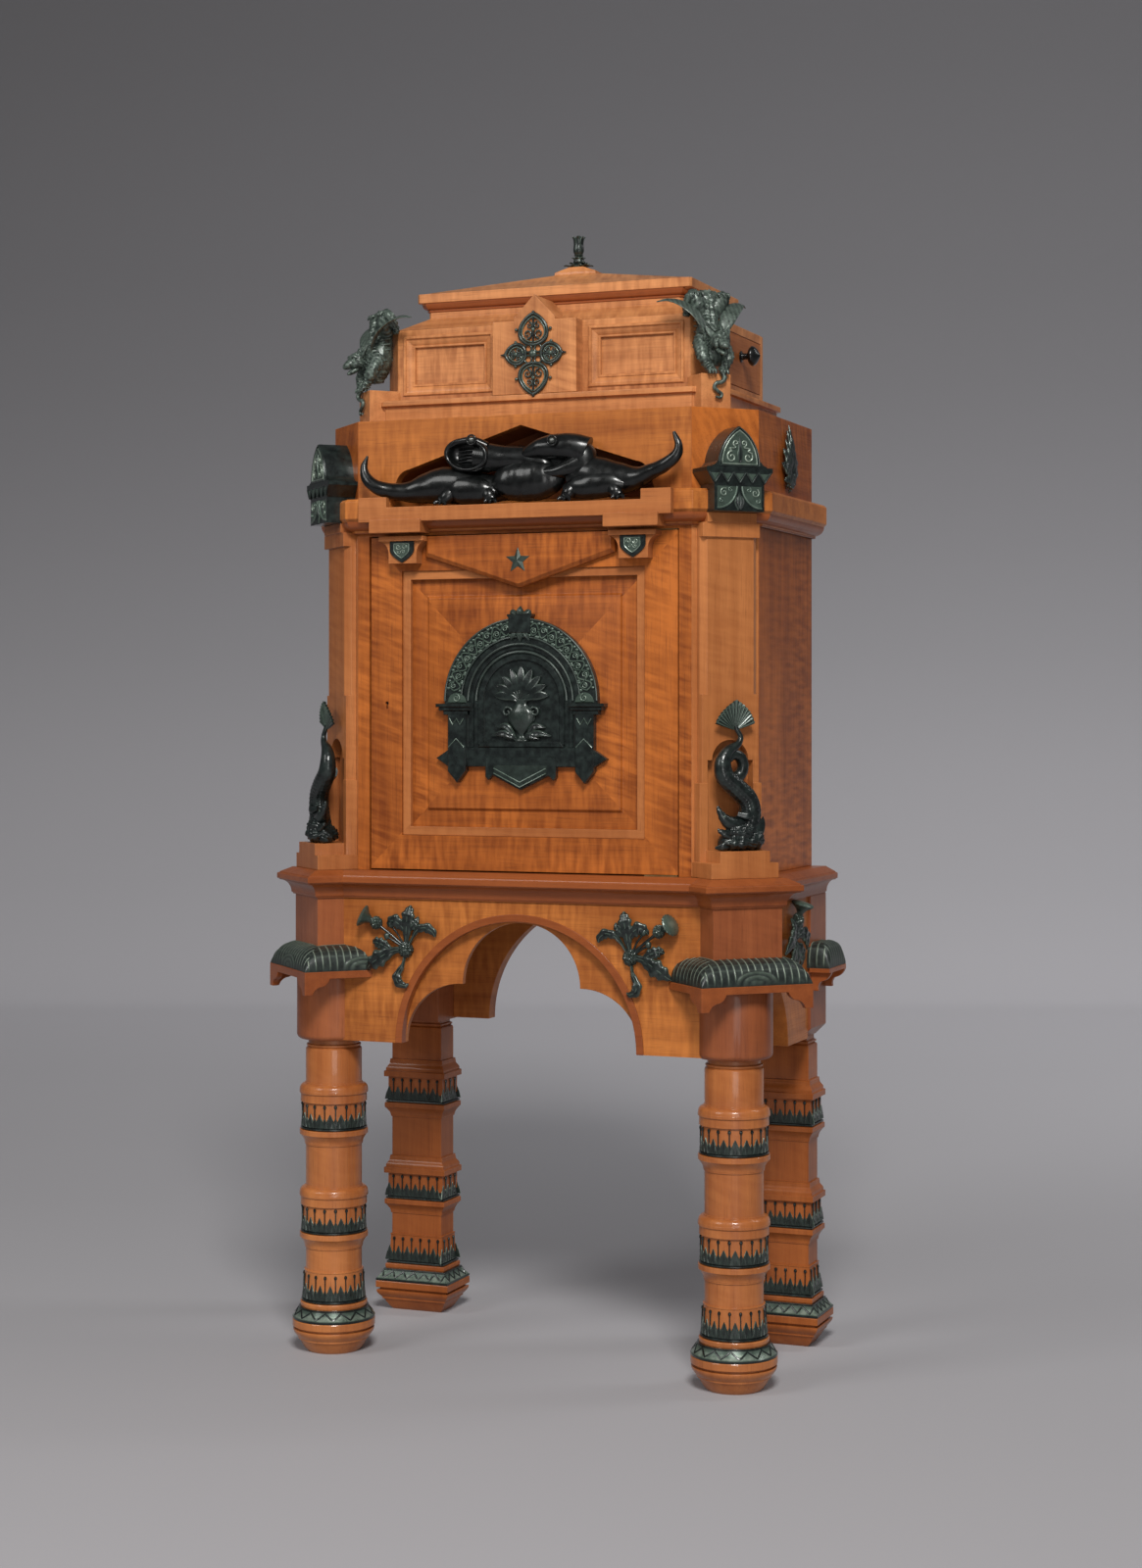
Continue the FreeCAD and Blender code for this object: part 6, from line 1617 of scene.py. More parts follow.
@dataclass
class Reptiles:
    """Two black bronze reptiles in the pediment, one biting the neck of the other."""

    depth: float = -226.0
    floor: float = 1229.2

    def place(self, grid: Array) -> Array:
        """Local points (x, minus ahead, up) set on the ledge."""
        return grid + np.array([0.0, self.depth, self.floor])

    def left(self) -> list[Array]:
        """Reptile on the left: tail and trunk, the swollen chest, and the neck bent back over them.

        Returns:
            The local grids.
        """
        return [
            limb(((-226, -30, 75, 2, 2), (-231, -31, 58, 5.4, 5.4), (-226, -32, 42, 8.4, 8),
                (-210, -30, 29, 10, 10), (-186, -22, 23, 12, 12), (-164, -13, 23, 16, 16),
                (-138, -9, 28, 23, 21), (-110, -9, 31, 27, 23), (-84, -9, 29, 27, 24),
                (-56, -9, 24, 23, 22), (-30, -8, 24, 19, 19), (0, -8, 28, 22, 20), (30, -8, 36, 22, 20)),
                190, 46),
            limb(((-104, -22, 20, 10, 8), (-88, -20, 23, 20, 15), (-66, -20, 22, 21, 16),
                (-44, -20, 19, 17, 14), (-28, -20, 16, 8, 8)), 60, 36),
            lobed(limb(((-34, -14, 28, 9, 12), (-18, -15, 31, 23, 20), (8, -16, 33, 30, 22),
                (34, -16, 34, 30, 22), (56, -14, 36, 23, 19), (72, -12, 39, 11, 12)), 120, 50), 9.0, 0.01),
            limb(((48, -11, 40, 18, 18), (38, -11, 55, 18, 18), (14, -12, 63, 18, 18),
                (-16, -14, 65, 18.5, 18.5), (-42, -15, 67, 20.5, 19), (-60, -15, 69, 22, 19)), 100, 44),
        ]

    def right(self) -> list[Array]:
        """Reptile on the right: tail, trunk, raised neck, skull and lower jaw over the other's neck.

        Returns:
            The local grids.
        """
        return [
            limb(((241, -30, 91, 2.2, 2.2), (248, -31, 73, 5.4, 5.4), (244, -31, 58, 8, 8),
                (226, -29, 46, 9.6, 9.4), (202, -22, 37, 11.4, 11), (180, -14, 31, 16, 15),
                (154, -9, 31, 23, 21), (126, -9, 34, 28, 23), (100, -9, 38, 28, 22), (80, -9, 40, 20, 18)),
                150, 46),
            limb(((166, -20, 22, 8, 8), (146, -20, 24, 18, 14), (122, -20, 23, 20, 16),
                (96, -20, 21, 17, 14), (76, -19, 17, 8, 8)), 50, 34),
            limb(((98, -10, 36, 25, 21), (100, -11, 52, 23, 20), (98, -12, 65, 21, 19),
                (90, -13, 72, 19, 18)), 60, 40),
            limb(((106, -12, 69, 23, 19), (86, -15, 76, 20.4, 21), (62, -18, 78, 18.6, 20),
                (40, -21, 76, 15, 17), (23, -23, 71, 10.4, 11), (13, -23, 67, 4.4, 5.5)), 60, 36),
            limb(((98, -14, 53, 19, 18), (74, -18, 45, 12.4, 17), (48, -21, 42, 9.4, 14),
                (28, -22, 45, 4.6, 8)), 44, 30),
            limb(((96, -8, 56, 24, 12), (76, -8, 58, 18, 12), (54, -8, 60, 14, 12), (36, -8, 61, 9, 10)),
                36, 30),
        ]

    def paws(self) -> list[Array]:
        """Lower leg and toes of the four feet in front.

        Returns:
            The local grids.
        """
        made = []
        for x, lean in ((-96, -0.7), (-42, 0.5), (148, 0.6), (88, -0.4)):
            made.append(limb(((x, -22, 20, 12, 10), (x + 9 * lean, -27, 13, 10, 9),
                (x + 16 * lean, -29, 8, 8.4, 7), (x + 20 * lean, -31, 5, 7.4, 4.4)), 30, 22))
            for spread in (-7, 0, 7):
                end = x + 20 * lean + spread
                made.append(limb(((x + 18 * lean + 0.5 * spread, -29, 6, 3.6, 3.6),
                    (end, -33, 4.6, 3.2, 3.2), (end + 0.3 * spread, -36, 2.4, 1.8, 1.8)), 12, 12))
        return made

    def crest(self) -> list[Array]:
        """Low spines along the back of the right reptile.

        Returns:
            The local grids.
        """
        made = []
        for x, up, tall in ((110, 47, 9), (124, 46, 7), (138, 44, 6), (152, 41, 5)):
            made.append(limb(((x, -12, up - 4, 4.5, 2.4), (x + 1, -12, up + 0.4 * tall, 3, 1.8),
                (x + 3, -12, up + tall, 0.6, 0.6)), 10, 10))
        return made

    def scaled(self, grid: Array) -> Array:
        """Fine scales: shallow crossed sine ridges on a lumpy skin.

        Args:
            grid: the smooth limb.
        Returns:
            The scaled grid.
        """
        along = np.gradient(grid, axis=0)
        around = np.roll(grid, -1, axis=1) - np.roll(grid, 1, axis=1)
        p = grid / 5.2 * TURN
        ridge = np.sin(p @ np.array([0.8, 0.5, 0.4])) * np.sin(p @ np.array([0.6, -0.5, -0.6]))
        return roughened(grid, 0.4, 52.0) + unit(np.cross(along, around)) * (0.05 * ridge)[..., None]

    def mouth(self) -> list[Array]:
        """Open mouth on the left: a deep oval cup with a thick lip, ridges inside and a brow over it.

        Returns:
            The local grids.
        """
        share = np.array([1.0, 1.1, 1.12, 1.04, 0.92, 0.82, 0.7, 0.42, 0.05])
        depth = np.array([-2.0, -14.0, -26.0, -33.0, -34.0, -30.0, -22.0, -17.0, -16.0])
        rows = curve(np.stack([share, depth], -1), 40)
        angle = np.linspace(0.0, TURN, 64, endpoint=False)
        wide, tall = np.cos(angle), np.sin(angle)
        droop = 3.0 * wide
        cup = np.stack([
            -71.0 + 33.0 * rows[:, :1] * wide,
            rows[:, 1:] - 3.0 * wide * rows[:, :1],
            71.0 + 22.0 * rows[:, :1] * tall - droop * rows[:, :1]], -1)
        made = [cup[:, ::-1]]
        across = np.linspace(-15.0, 15.0, 16)
        bow = across ** 2
        for step in (-7, -2, 3, 8):
            path = np.stack([-72.0 + across, -19.0 - 0.01 * bow, 70.0 + step - 0.008 * bow], -1)
            made.append(tube(path, 1.3, 1.6, FRONT, 8))
        made.append(limb(((-42, -22, 83, 6, 8), (-60, -27, 91, 5.4, 8), (-82, -28, 90, 4.4, 6),
            (-98, -27, 82, 2, 3)), 24, 16))
        return made

    def build(self) -> None:
        """Builds both reptiles as one piece."""
        skin = Skin()
        for grid in self.left() + self.right():
            skin.grid(self.place(self.scaled(grid)))
        for grid in self.paws() + self.crest() + self.mouth():
            skin.grid(self.place(grid))
        for x, out, up in ((-60, -36, 91), (64, -39, 85)):
            skin.grid(self.place(ball((x, out, up), (5.6, 4.6, 5), 12, 18)), mark=0.4)
            skin.grid(self.place(ball((x, out - 3.2, up + 0.4), (2.6, 2, 2.6), 10, 14)), mark=0.9)
            ring = arc((x, up), 6.8, 0.0, 360.0, 30)
            skin.grid(self.place(wire(ring, out - 1.0, 1.4, 1.7)))
        cast(skin, "fighting_reptiles", "reptiles", 60.0, finish=FINISH.black_bronze)


@dataclass
class CornerBlocks:
    """Bronze blocks on the cornice corners: panelled base, toothed abacus and pointed arch with scrolls."""

    corner: tuple[float, float] = (293.0, -189.0)
    half: float = 38.4
    out: float = 43.0
    low: float = 1211.2
    neck: float = 1248.5
    seat: float = 1271.5

    def arch(self, half: float, foot: float, rise: float) -> Array:
        """Outline of a pointed arch: two arcs, their centres on the foot line, that meet over the middle.

        Args:
            half: half width at the foot.
            foot: height of its foot.
            rise: height of its point over the foot.
        Returns:
            Corners (k, 2), counter-clockwise.
        """
        shift = (rise * rise - half * half) / (2.0 * half)
        radius = half + shift
        angle = np.linspace(0.0, math.acos(shift / radius), 15)
        right = np.stack([radius * np.cos(angle) - shift, foot + radius * np.sin(angle)], -1)
        return np.concatenate([right, right[-2::-1] * np.array([-1.0, 1.0])])

    def build(self) -> None:
        """Builds both blocks as one piece."""
        seat, neck = self.seat, self.neck
        skin = Skin()
        half, out = self.half, self.out
        plan = np.array([[-half, 0.0], [-half, -out], [half, -out], [half, 0.0]])
        stack = np.array([[0.0, self.low], [0.0, neck], [1.0, neck + 0.6], [11.5, seat - 6.6],
            [12.4, seat - 6.0], [12.4, seat - 0.6], [11.6, seat]])
        skin.block(cornered(swept(plan, stack, np.array([1.0, 0.16, 1.0, 0.0])), self.corner))
        step = np.array([[-42.0, 0.0], [-42.0, -44.0], [42.0, -44.0], [42.0, 0.0]])
        rise = np.array([[0.0, seat - 0.2], [0.0, seat + 1.4], [-3.0, seat + 2.6], [-6.0, seat + 4.6],
            [-8.4, seat + 8.0]])
        skin.block(cornered(swept(step, rise, np.array([1.0, 0.1, 1.0, 0.0])), self.corner))
        skin.block(cornered(plate(self.arch(33.0, seat, 57.0), 0.0, -43.5, 1.0), self.corner))
        for grid, mark in self.relief():
            skin.grid(cornered(grid, self.corner), mark=mark)
        for grid, mark in self.panels():
            skin.block(cornered(grid, self.corner), mark=mark)
        cast(skin.both(), "arched_corner_blocks", "corner_blocks", 40.0)

    def panels(self) -> list[tuple[Array, float]]:
        """Greened grounds: two quarter discs on the base, the arch's field and the abacus's triangles.

        Returns:
            Pairs of grid and patina mark.
        """
        seat, neck = self.seat, self.neck
        made = [(plate(self.arch(27.0, seat + 4.5, 46.6), -42.0, -43.9, 0.3), 0.4)]
        top = neck - 3.0
        quarter = np.concatenate([[[-34.0, top]], arc((-34.0, top), 29.0, 270.0, 360.0, 14)])
        for side in (1, -1):
            outline = quarter * np.array([side, 1.0])
            made.append((plate(outline if side > 0 else outline[::-1], -42.0, -43.5, 0.3), 0.4))
        for x in np.linspace(-38.0, 38.0, 5):
            tooth = np.array([[x - 7.4, seat - 8.0], [x, neck + 4.0], [x + 7.4, seat - 8.0]])
            made.append((plate(tooth, -38.0, -45.0, 0.8), 0.5))
        return made

    def relief(self) -> list[tuple[Array, float]]:
        """Raised lines: arch rims, scrolls with a leaf between them, the zigzag and the arcs of the base.

        Returns:
            Pairs of grid and patina mark.
        """
        seat, neck = self.seat, self.neck
        arches = self.arch(30.4, seat + 2.4, 52.6), self.arch(26.6, seat + 4.6, 46.0)
        rims = [np.concatenate([outline, outline[:1]]) for outline in arches]
        made = [(wire(line, -44.0, 1.2, 1.3), mark) for line, mark in zip(rims, (0.1, 0.75))]
        for side in (1, -1):
            low = scroll((side * 12.6, seat + 14.0), 8.0, -1.25 * side, 90.0, -44.4, 1.5)
            high = scroll((side * 6.2, seat + 33.0), 4.8, 1.15 * side, 270.0, -44.4, 1.3)
            stalk = curve(((side * 12.6, seat + 22.0), (side * 15.0, seat + 25.6),
                (side * 8.0, seat + 26.6), (side * 6.2, seat + 28.2)), 12)
            made += [(low, 0.8), (high, 0.8), (wire(stalk, -44.4, 1.2, 1.4), 0.8)]
            bend = arc((-side * 34.0, neck - 3.0), 30.0, 270.0 if side > 0 else 180.0,
                360.0 if side > 0 else 270.0, 24)
            made.append((wire(bend, -43.6, 1.6, 1.5), 0.65))
            for spot, size, mark in (((24, 12), 6.4, 0.75), ((14, 8), 3.6, 0.65), ((28, 23), 3.6, 0.65)):
                made.append((scroll((-side * spot[0], neck - spot[1]), size, 1.2 * side, 60.0, -43.8, 1.1),
                    mark))
        steps = np.arange(11)
        flat = np.stack([-47.5 + 9.5 * steps, np.where(steps % 2, neck + 2.4, seat - 7.4)], -1)
        doubled = np.repeat(flat, 2, axis=0) + np.tile([[-0.2, 0.0], [0.2, 0.0]], (11, 1))
        made.append((wire(doubled, -45.0, 1.4, 1.3), 0.05))
        leaf = limb(((0, -44, seat + 7, 2, 2), (0, -45, seat + 16, 4.4, 2.4), (0, -45, seat + 26, 3, 2.2),
            (0, -44, seat + 42, 0.8, 1)), 16, 12, groove=0.4)
        made.append((leaf, rim(leaf, 0.8)))
        for lean in (-0.5, 0, 0.5):
            flame = limb(((0, -43.4, self.low + 3, 3, 1.6), (9 * lean, -43.8, self.low + 12, 3.4, 2),
                (14 * lean * (1.0 - abs(lean)), -43.4, self.low + 25 - 8 * abs(lean), 0.8, 1)), 14, 12,
                groove=0.5)
            made.append((flame, rim(flame, 0.75)))
        return made


@dataclass
class Plaque:
    """Arched bronze relief on the door: vine band, stepped frame, piers, tablet and a vase of leaves."""

    spring: float = 951.5
    ground: float = -217.2
    face: float = -228.0
    bands: tuple[tuple[float, float, float, float], ...] = (
        (117.5, 90.0, 4.0, 0.0), (90.5, 79.0, 4.0, 1.6), (80.0, 73.0, 66.0, 2.5),
        (73.5, 66.0, 66.0, 4.5), (66.5, 58.0, 62.0, 3.2))
    vine_radius: float = 103.0
    vine_start: float = 8.0
    vine_span: float = 164.0
    vine_curls: int = 20

    def flat(self, points: Sequence[Sequence[float]]) -> Array:
        """Outline given about the springing line, counter-clockwise."""
        return np.asarray(points, float) + np.array([0.0, self.spring])

    def frame_arch(self, skin: Skin, outer: float, inner: float, foot: float, depth: float) -> None:
        """Stilted arch band: half ring on two straight legs, lying between two radii.

        Args:
            skin: where it goes.
            outer: outer radius.
            inner: inner radius.
            foot: how far the legs run below the springing line.
            depth: depth of its face.
        """
        angle = np.radians(np.linspace(0.0, 180.0, 65))
        def line(radius: float) -> Array:
            """One edge of the band."""
            bend = np.stack([radius * np.cos(angle), radius * np.sin(angle)], -1)
            return self.flat(np.concatenate([[[radius, -foot]], bend, [[-radius, -foot]]]))
        edges = [(outer, self.ground), (outer, depth + 1.0), (outer - 1.0, depth), (inner + 1.0, depth),
            (inner, depth + 1.0), (inner, self.ground)]
        grid = np.stack([lifted(line(r), y) for r, y in edges], axis=1)
        skin.grid(grid)

    def vine(self, skin: Skin) -> None:
        """Running scroll on the outer part of the arch band: two crossing stems with a curl in each bend.

        Args:
            skin: where the grids go.
        """
        share = np.linspace(0.0, 1.0, 480)
        angle = np.radians(self.vine_start + self.vine_span * share)
        for sign in (1, -1):
            far = self.vine_radius + sign * 8.6 * np.sin(share * TURN * 10.0)
            path = np.stack([far * np.cos(angle), np.full(480, self.face - 0.8),
                self.spring + far * np.sin(angle)], -1)
            skin.grid(tube(path, 1.1, 1.5, FRONT, 6), mark=0.55 + 0.1 * sign)
        for number in range(self.vine_curls):
            a = math.radians(self.vine_start + self.vine_span * (number + 0.5) / self.vine_curls)
            along, out = np.array([-math.sin(a), math.cos(a)]), np.array([math.cos(a), math.sin(a)])
            spot = np.array([0.0, self.spring]) + self.vine_radius * out
            hand = 1.0 if number % 2 else -1.0
            skin.grid(scroll(spot + 2.0 * hand * out, 4.4, 1.5 * hand, math.degrees(a) - 90.0 * hand,
                self.face - 1.2, 1.0), mark=0.65)
            for shift, up in ((5.4, 9.4), (-5.4, 9.4), (5.4, -9.4), (-5.4, -9.4)):
                leaf = spot + up * out + shift * along
                skin.grid(ball((leaf[0], self.face - 0.4, leaf[1]), (2.8, 1.7, 2.2), 6, 10), mark=0.5)

    def architecture(self, skin: Skin) -> None:
        """Piers with points, imposts, key block, base rail and tablet, as eased plates.

        Args:
            skin: where the grids go.
        """
        base = self.flat(((-90, -66), (-90, -94), (90, -94), (90, -66)))
        skin.block(plate(base, self.ground, self.face + 3.0, 1.0))
        tablet = self.flat(((-54, -80), (-54, -108), (-50, -113), (-43, -106), (0, -127), (43, -106),
            (50, -113), (54, -108), (54, -80)))
        skin.block(plate(tablet, self.ground, self.face + 0.5, 1.0))
        inset = self.flat(((-41, -92), (-41, -103), (0, -123), (41, -103), (41, -92)))
        skin.block(plate(inset, self.face + 1.0, self.face - 1.4, 1.6), mark=0.1)
        for low in (-103, -96):
            chevron = self.flat(((-40.0, low), (0.0, low - 19.6), (40.0, low)))
            skin.grid(wire(curve(chevron, 3), self.face - 1.3, 0.9, 0.9), mark=0.65)
        back = self.flat(((-66, 66), (-66, 0), (-90, 0), (-90, -70), (90, -70), (90, 0), (66, 0), (66, 66)))
        skin.block(plate(back, self.ground, self.ground - 4.0, 0.5))
        key = self.flat(((-17, 96), (17, 96), (17, 118), (19, 120), (19, 123), (-19, 123), (-19, 120),
            (-17, 118)))
        skin.block(plate(key, self.ground, self.face - 4.0, 1.0))
        leaves = (
            ((0, -226, 121, 5, 5), (0, -228, 127, 6, 4), (0, -226, 134, 1, 1)),
            ((5, -226, 122, 3, 4), (12, -226, 126, 4, 3), (16, -225, 123, 1, 1)),
            ((-5, -226, 122, 3, 4), (-12, -226, 126, 4, 3), (-16, -225, 123, 1, 1)),
            ((0, -228, 97, 5, 4), (0, -229, 91, 5, 3), (0, -227, 84, 1, 1)),
            ((6, -228, 98, 3, 3), (11, -229, 92, 4, 3), (14, -227, 86, 1, 1)),
            ((-6, -228, 98, 3, 3), (-11, -229, 92, 4, 3), (-14, -227, 86, 1, 1)),
        )
        for rows in leaves:
            lifted_rows = np.asarray(rows, float) + np.array([0.0, 0.0, self.spring, 0.0, 0.0])
            skin.grid(limb(lifted_rows, 14, 12, groove=0.4), mark=0.2)
        for side in (1, -1):
            def right(points: Sequence[Sequence[float]]) -> Array:
                """Outline on one side, kept counter-clockwise."""
                outline = self.flat(points) * np.array([side, 1.0])
                return outline if side > 0 else outline[::-1]
            pier = right(((84, -60), (84, -100), (98, -117), (112, -100), (112, -18), (84, -18)))
            skin.block(plate(pier, self.ground, self.face - 1.0, 1.0))
            lozenge = right(((85, -67), (85, -101), (98, -116), (111, -101), (111, -67), (98, -53)))
            skin.block(plate(lozenge, self.face, self.face - 2.6, 0.8))
            gable = self.flat(((86, -66), (98, -54), (110, -66))) * np.array([side, 1.0])
            skin.grid(wire(gable, self.face - 2.4, 0.8, 0.9), mark=0.6)
            teeth = self.flat([(87.0 + 5.5 * n, -34.0 if n % 2 else -25.0)
                for n in range(5)]) * np.array([side, 1.0])
            skin.grid(wire(teeth, self.face - 1.6, 0.9, 0.9), mark=0.65)
            wing = right(((106, -66), (106, -98), (131, -82)))
            skin.block(plate(wing, self.ground, self.face + 1.0, 1.0))
            steps = ((74, 129, -4, -9, -6), (77, 125, -9, -14, -3.5), (81, 119, -14, -20, -1.5))
            for near, far, top, low, ahead in steps:
                skin.block(plate(right(((near, low), (far, low), (far, top), (near, top))), self.ground,
                    self.face + ahead, 0.8))
            foot = arc((98.0 * side, self.spring - 3.0), 14.5, 0.0, 180.0, 20)
            skin.block(plate(foot, self.ground, self.face - 1.5, 1.2), mark=0.45)
            skin.grid(scroll((98.0 * side, self.spring + 4.0), 6.0, 1.3 * side, 90.0, self.face - 2.0, 1.2),
                mark=0.7)

    def vase(self, skin: Skin) -> None:
        """Own design for the niche: a footed vase with a fan of leaves and two sprays at its foot.

        Args:
            skin: where the grids go.
        """
        foot = self.spring - 58.0
        profile = curve(((10, 0), (11, 2), (5, 6), (4, 11), (13, 20), (20, 32), (18, 43), (10, 51),
            (8.5, 55), (12, 59), (11.4, 60)), 40)
        grid = lathe(profile, 40) * np.array([1.0, 0.36, 1.0])
        ripple = np.cos(16.0 * np.linspace(0.0, TURN, 40, endpoint=False))
        flute = 1.0 + 0.035 * ripple * (profile[:, :1] > 9.0)
        grid[..., :2] *= flute[..., None]
        skin.grid(grid + np.array([0.0, self.face + 5.0, foot]), mark=0.1)
        for lean in np.linspace(-78.0, 78.0, 9):
            a = math.radians(lean)
            tall = 52.0 - 0.12 * abs(lean)
            rows = [(tall * s * math.sin(a * (0.7 + 0.3 * s)),
                self.face + 5.0 - 4.0 * math.sin(math.pi * s),
                foot + 56.0 + tall * s * math.cos(a * (0.7 + 0.3 * s)), w, 2.0 - s)
                for s, w in ((0, 1.6), (0.35, 4.6), (0.65, 6.4), (0.88, 4), (1, 0.6))]
            grid = limb(rows, 18, 12, groove=0.6)
            skin.grid(grid, mark=rim(grid, 0.45))
        for side in (1, -1):
            skin.grid(scroll((side * 21.0, foot + 42.0), 8.0, -1.2 * side, 180.0 if side > 0 else 0.0,
                self.face + 3.0, 1.9), mark=0.15)
            for reach, up in ((46, 8), (38, 20), (28, 4)):
                rows = ((side * 8, self.face + 4, foot + 3, 2, 2),
                    (side * 0.55 * reach, self.face + 1, foot + 5 + 0.8 * up, 5, 2.4),
                    (side * reach, self.face + 4, foot + up, 0.8, 0.8))
                grid = limb(rows, 14, 12, groove=0.6)
                skin.grid(grid, mark=rim(grid, 0.5))

    def build(self) -> None:
        """Builds the plaque as one piece riding on the door."""
        skin = Skin()
        for outer, inner, foot, back in self.bands:
            self.frame_arch(skin, outer, inner, foot, self.face + back)
        for radius, thick in ((116.4, 1.6), (91, 1.3), (80.4, 1.6), (69.5, 1.8)):
            line = arc((0.0, self.spring), radius, 0.0, 180.0, 70)
            depth = self.face + (0.0 if radius > 75.0 else 4.0)
            skin.grid(wire(line, depth, thick, thick), mark=0.15)
        sill = self.flat(((-66, -66), (66, -66), (60, -58), (-60, -58)))
        skin.block(plate(sill, self.ground, self.face + 1.0, 1.0))
        self.vine(skin)
        self.architecture(skin)
        self.vase(skin)
        cast(skin, "arched_relief", "relief_plaque", 40.0, "door")


@dataclass
class Quatrefoil:
    """Openwork bronze mount on the centre block: four pointed rings with scrolls, about a boss."""

    depth: float = -178.6
    height: float = 1450.0

    def ring(self, near: float, reach: float, half: float, turn: float, size: float, full: float) -> Array:
        """Pointed ring set outwards from the middle and turned about it.

        Args:
            near: distance of its inner end from the middle.
            reach: distance of its point from the middle.
            half: half width.
            turn: direction of the point in degrees.
            size: half thickness of the line.
            full: how sharp its point is; nearer 0 is rounder.
        Returns:
            Grid of the ring.
        """
        t = np.linspace(0.0, TURN, 70)
        out = near + (reach - near) * 0.5 * (1.0 - np.cos(t))
        side = half * np.sin(t) * np.abs(np.cos(0.5 * t)) ** full
        a = math.radians(turn)
        flat = np.stack([out * math.cos(a) - side * math.sin(a),
            self.height + out * math.sin(a) + side * math.cos(a)], -1)
        return wire(flat, self.depth, size, size, 10)

    def petal(self, skin: Skin, turn: float, near: float, reach: float, half: float, full: float) -> None:
        """One ring with its inner line, two pairs of scrolls, stem and beads.

        Args:
            skin: where the grids go.
            turn: direction of its point in degrees.
            near: distance of its inner end from the middle.
            reach: distance of its point from the middle.
            half: half width.
            full: how sharp its point is; nearer 0 is rounder.
        """
        middle = np.array([0.0, self.height])
        skin.grid(self.ring(near, reach, half, turn, 2.5, full), mark=0.1)
        skin.grid(self.ring(near + 4.0, reach - 4.6, half - 4.4, turn, 1.1, full), mark=0.5)
        a = math.radians(turn)
        along = np.array([math.cos(a), math.sin(a)])
        side = np.array([-along[1], along[0]])
        span = reach - near
        for hand in (1, -1):
            low = middle + along * (near + 0.34 * span) + side * (hand * 0.36 * half)
            skin.grid(scroll(low, 0.27 * half, 1.2 * hand, turn + 180.0, self.depth, 1.7), mark=0.15)
            high = middle + along * (near + 0.62 * span) + side * (hand * 0.25 * half)
            skin.grid(scroll(high, 0.2 * half, -1.2 * hand, turn, self.depth, 1.4), mark=0.15)
            bead = middle + along * (near + 0.5 * span) + side * (hand * (half + 1.4))
            skin.grid(ball((bead[0], self.depth, bead[1]), (2.4, 2.2, 2.4), 8, 12), mark=0.3)
        stem = np.stack([middle + along * step for step in np.linspace(near, reach - 5.0, 12)])
        skin.grid(wire(stem, self.depth - 0.3, 1.6, 1.8))
        tip = middle + along * (near + 0.48 * span)
        skin.grid(ball((tip[0], self.depth - 1.0, tip[1]), (3.2, 2.4, 3.2), 8, 12), mark=0.4)
        end = middle + along * (reach + 1.6)
        skin.grid(ball((end[0], self.depth, end[1]), (2.6, 2.4, 2.6), 8, 12))

    def build(self) -> None:
        """Builds the mount as one piece."""
        skin = Skin()
        middle = np.array([0.0, self.height])
        for turn in (90, 270):
            self.petal(skin, turn, 13.0, 58.0, 25.0, 0.5)
        for turn in (0, 180):
            self.petal(skin, turn, 12.0, 43.0, 16.0, 0.3)
            a = math.radians(turn)
            tip = np.stack([middle + np.array([math.cos(a), 0.0]) * step for step in (42, 46, 51)])
            skin.grid(wire(tip, self.depth, np.array([2.6, 2.0, 0.7]), np.array([2.2, 1.8, 0.7]), 10))
        for x in (-7.6, 7.6):
            for z in (-7.8, 7.8):
                loop = arc((x, self.height + z), 5.4, 0.0, 360.0, 30)
                skin.grid(wire(loop, self.depth, 1.6, 1.8), mark=0.15)
        skin.grid(ball((0.0, self.depth - 1.4, self.height), (5.6, 3.2, 5.6), 12, 20), mark=0.3)
        cast(skin, "scrolled_quatrefoil", "quatrefoil_mount", 50.0)


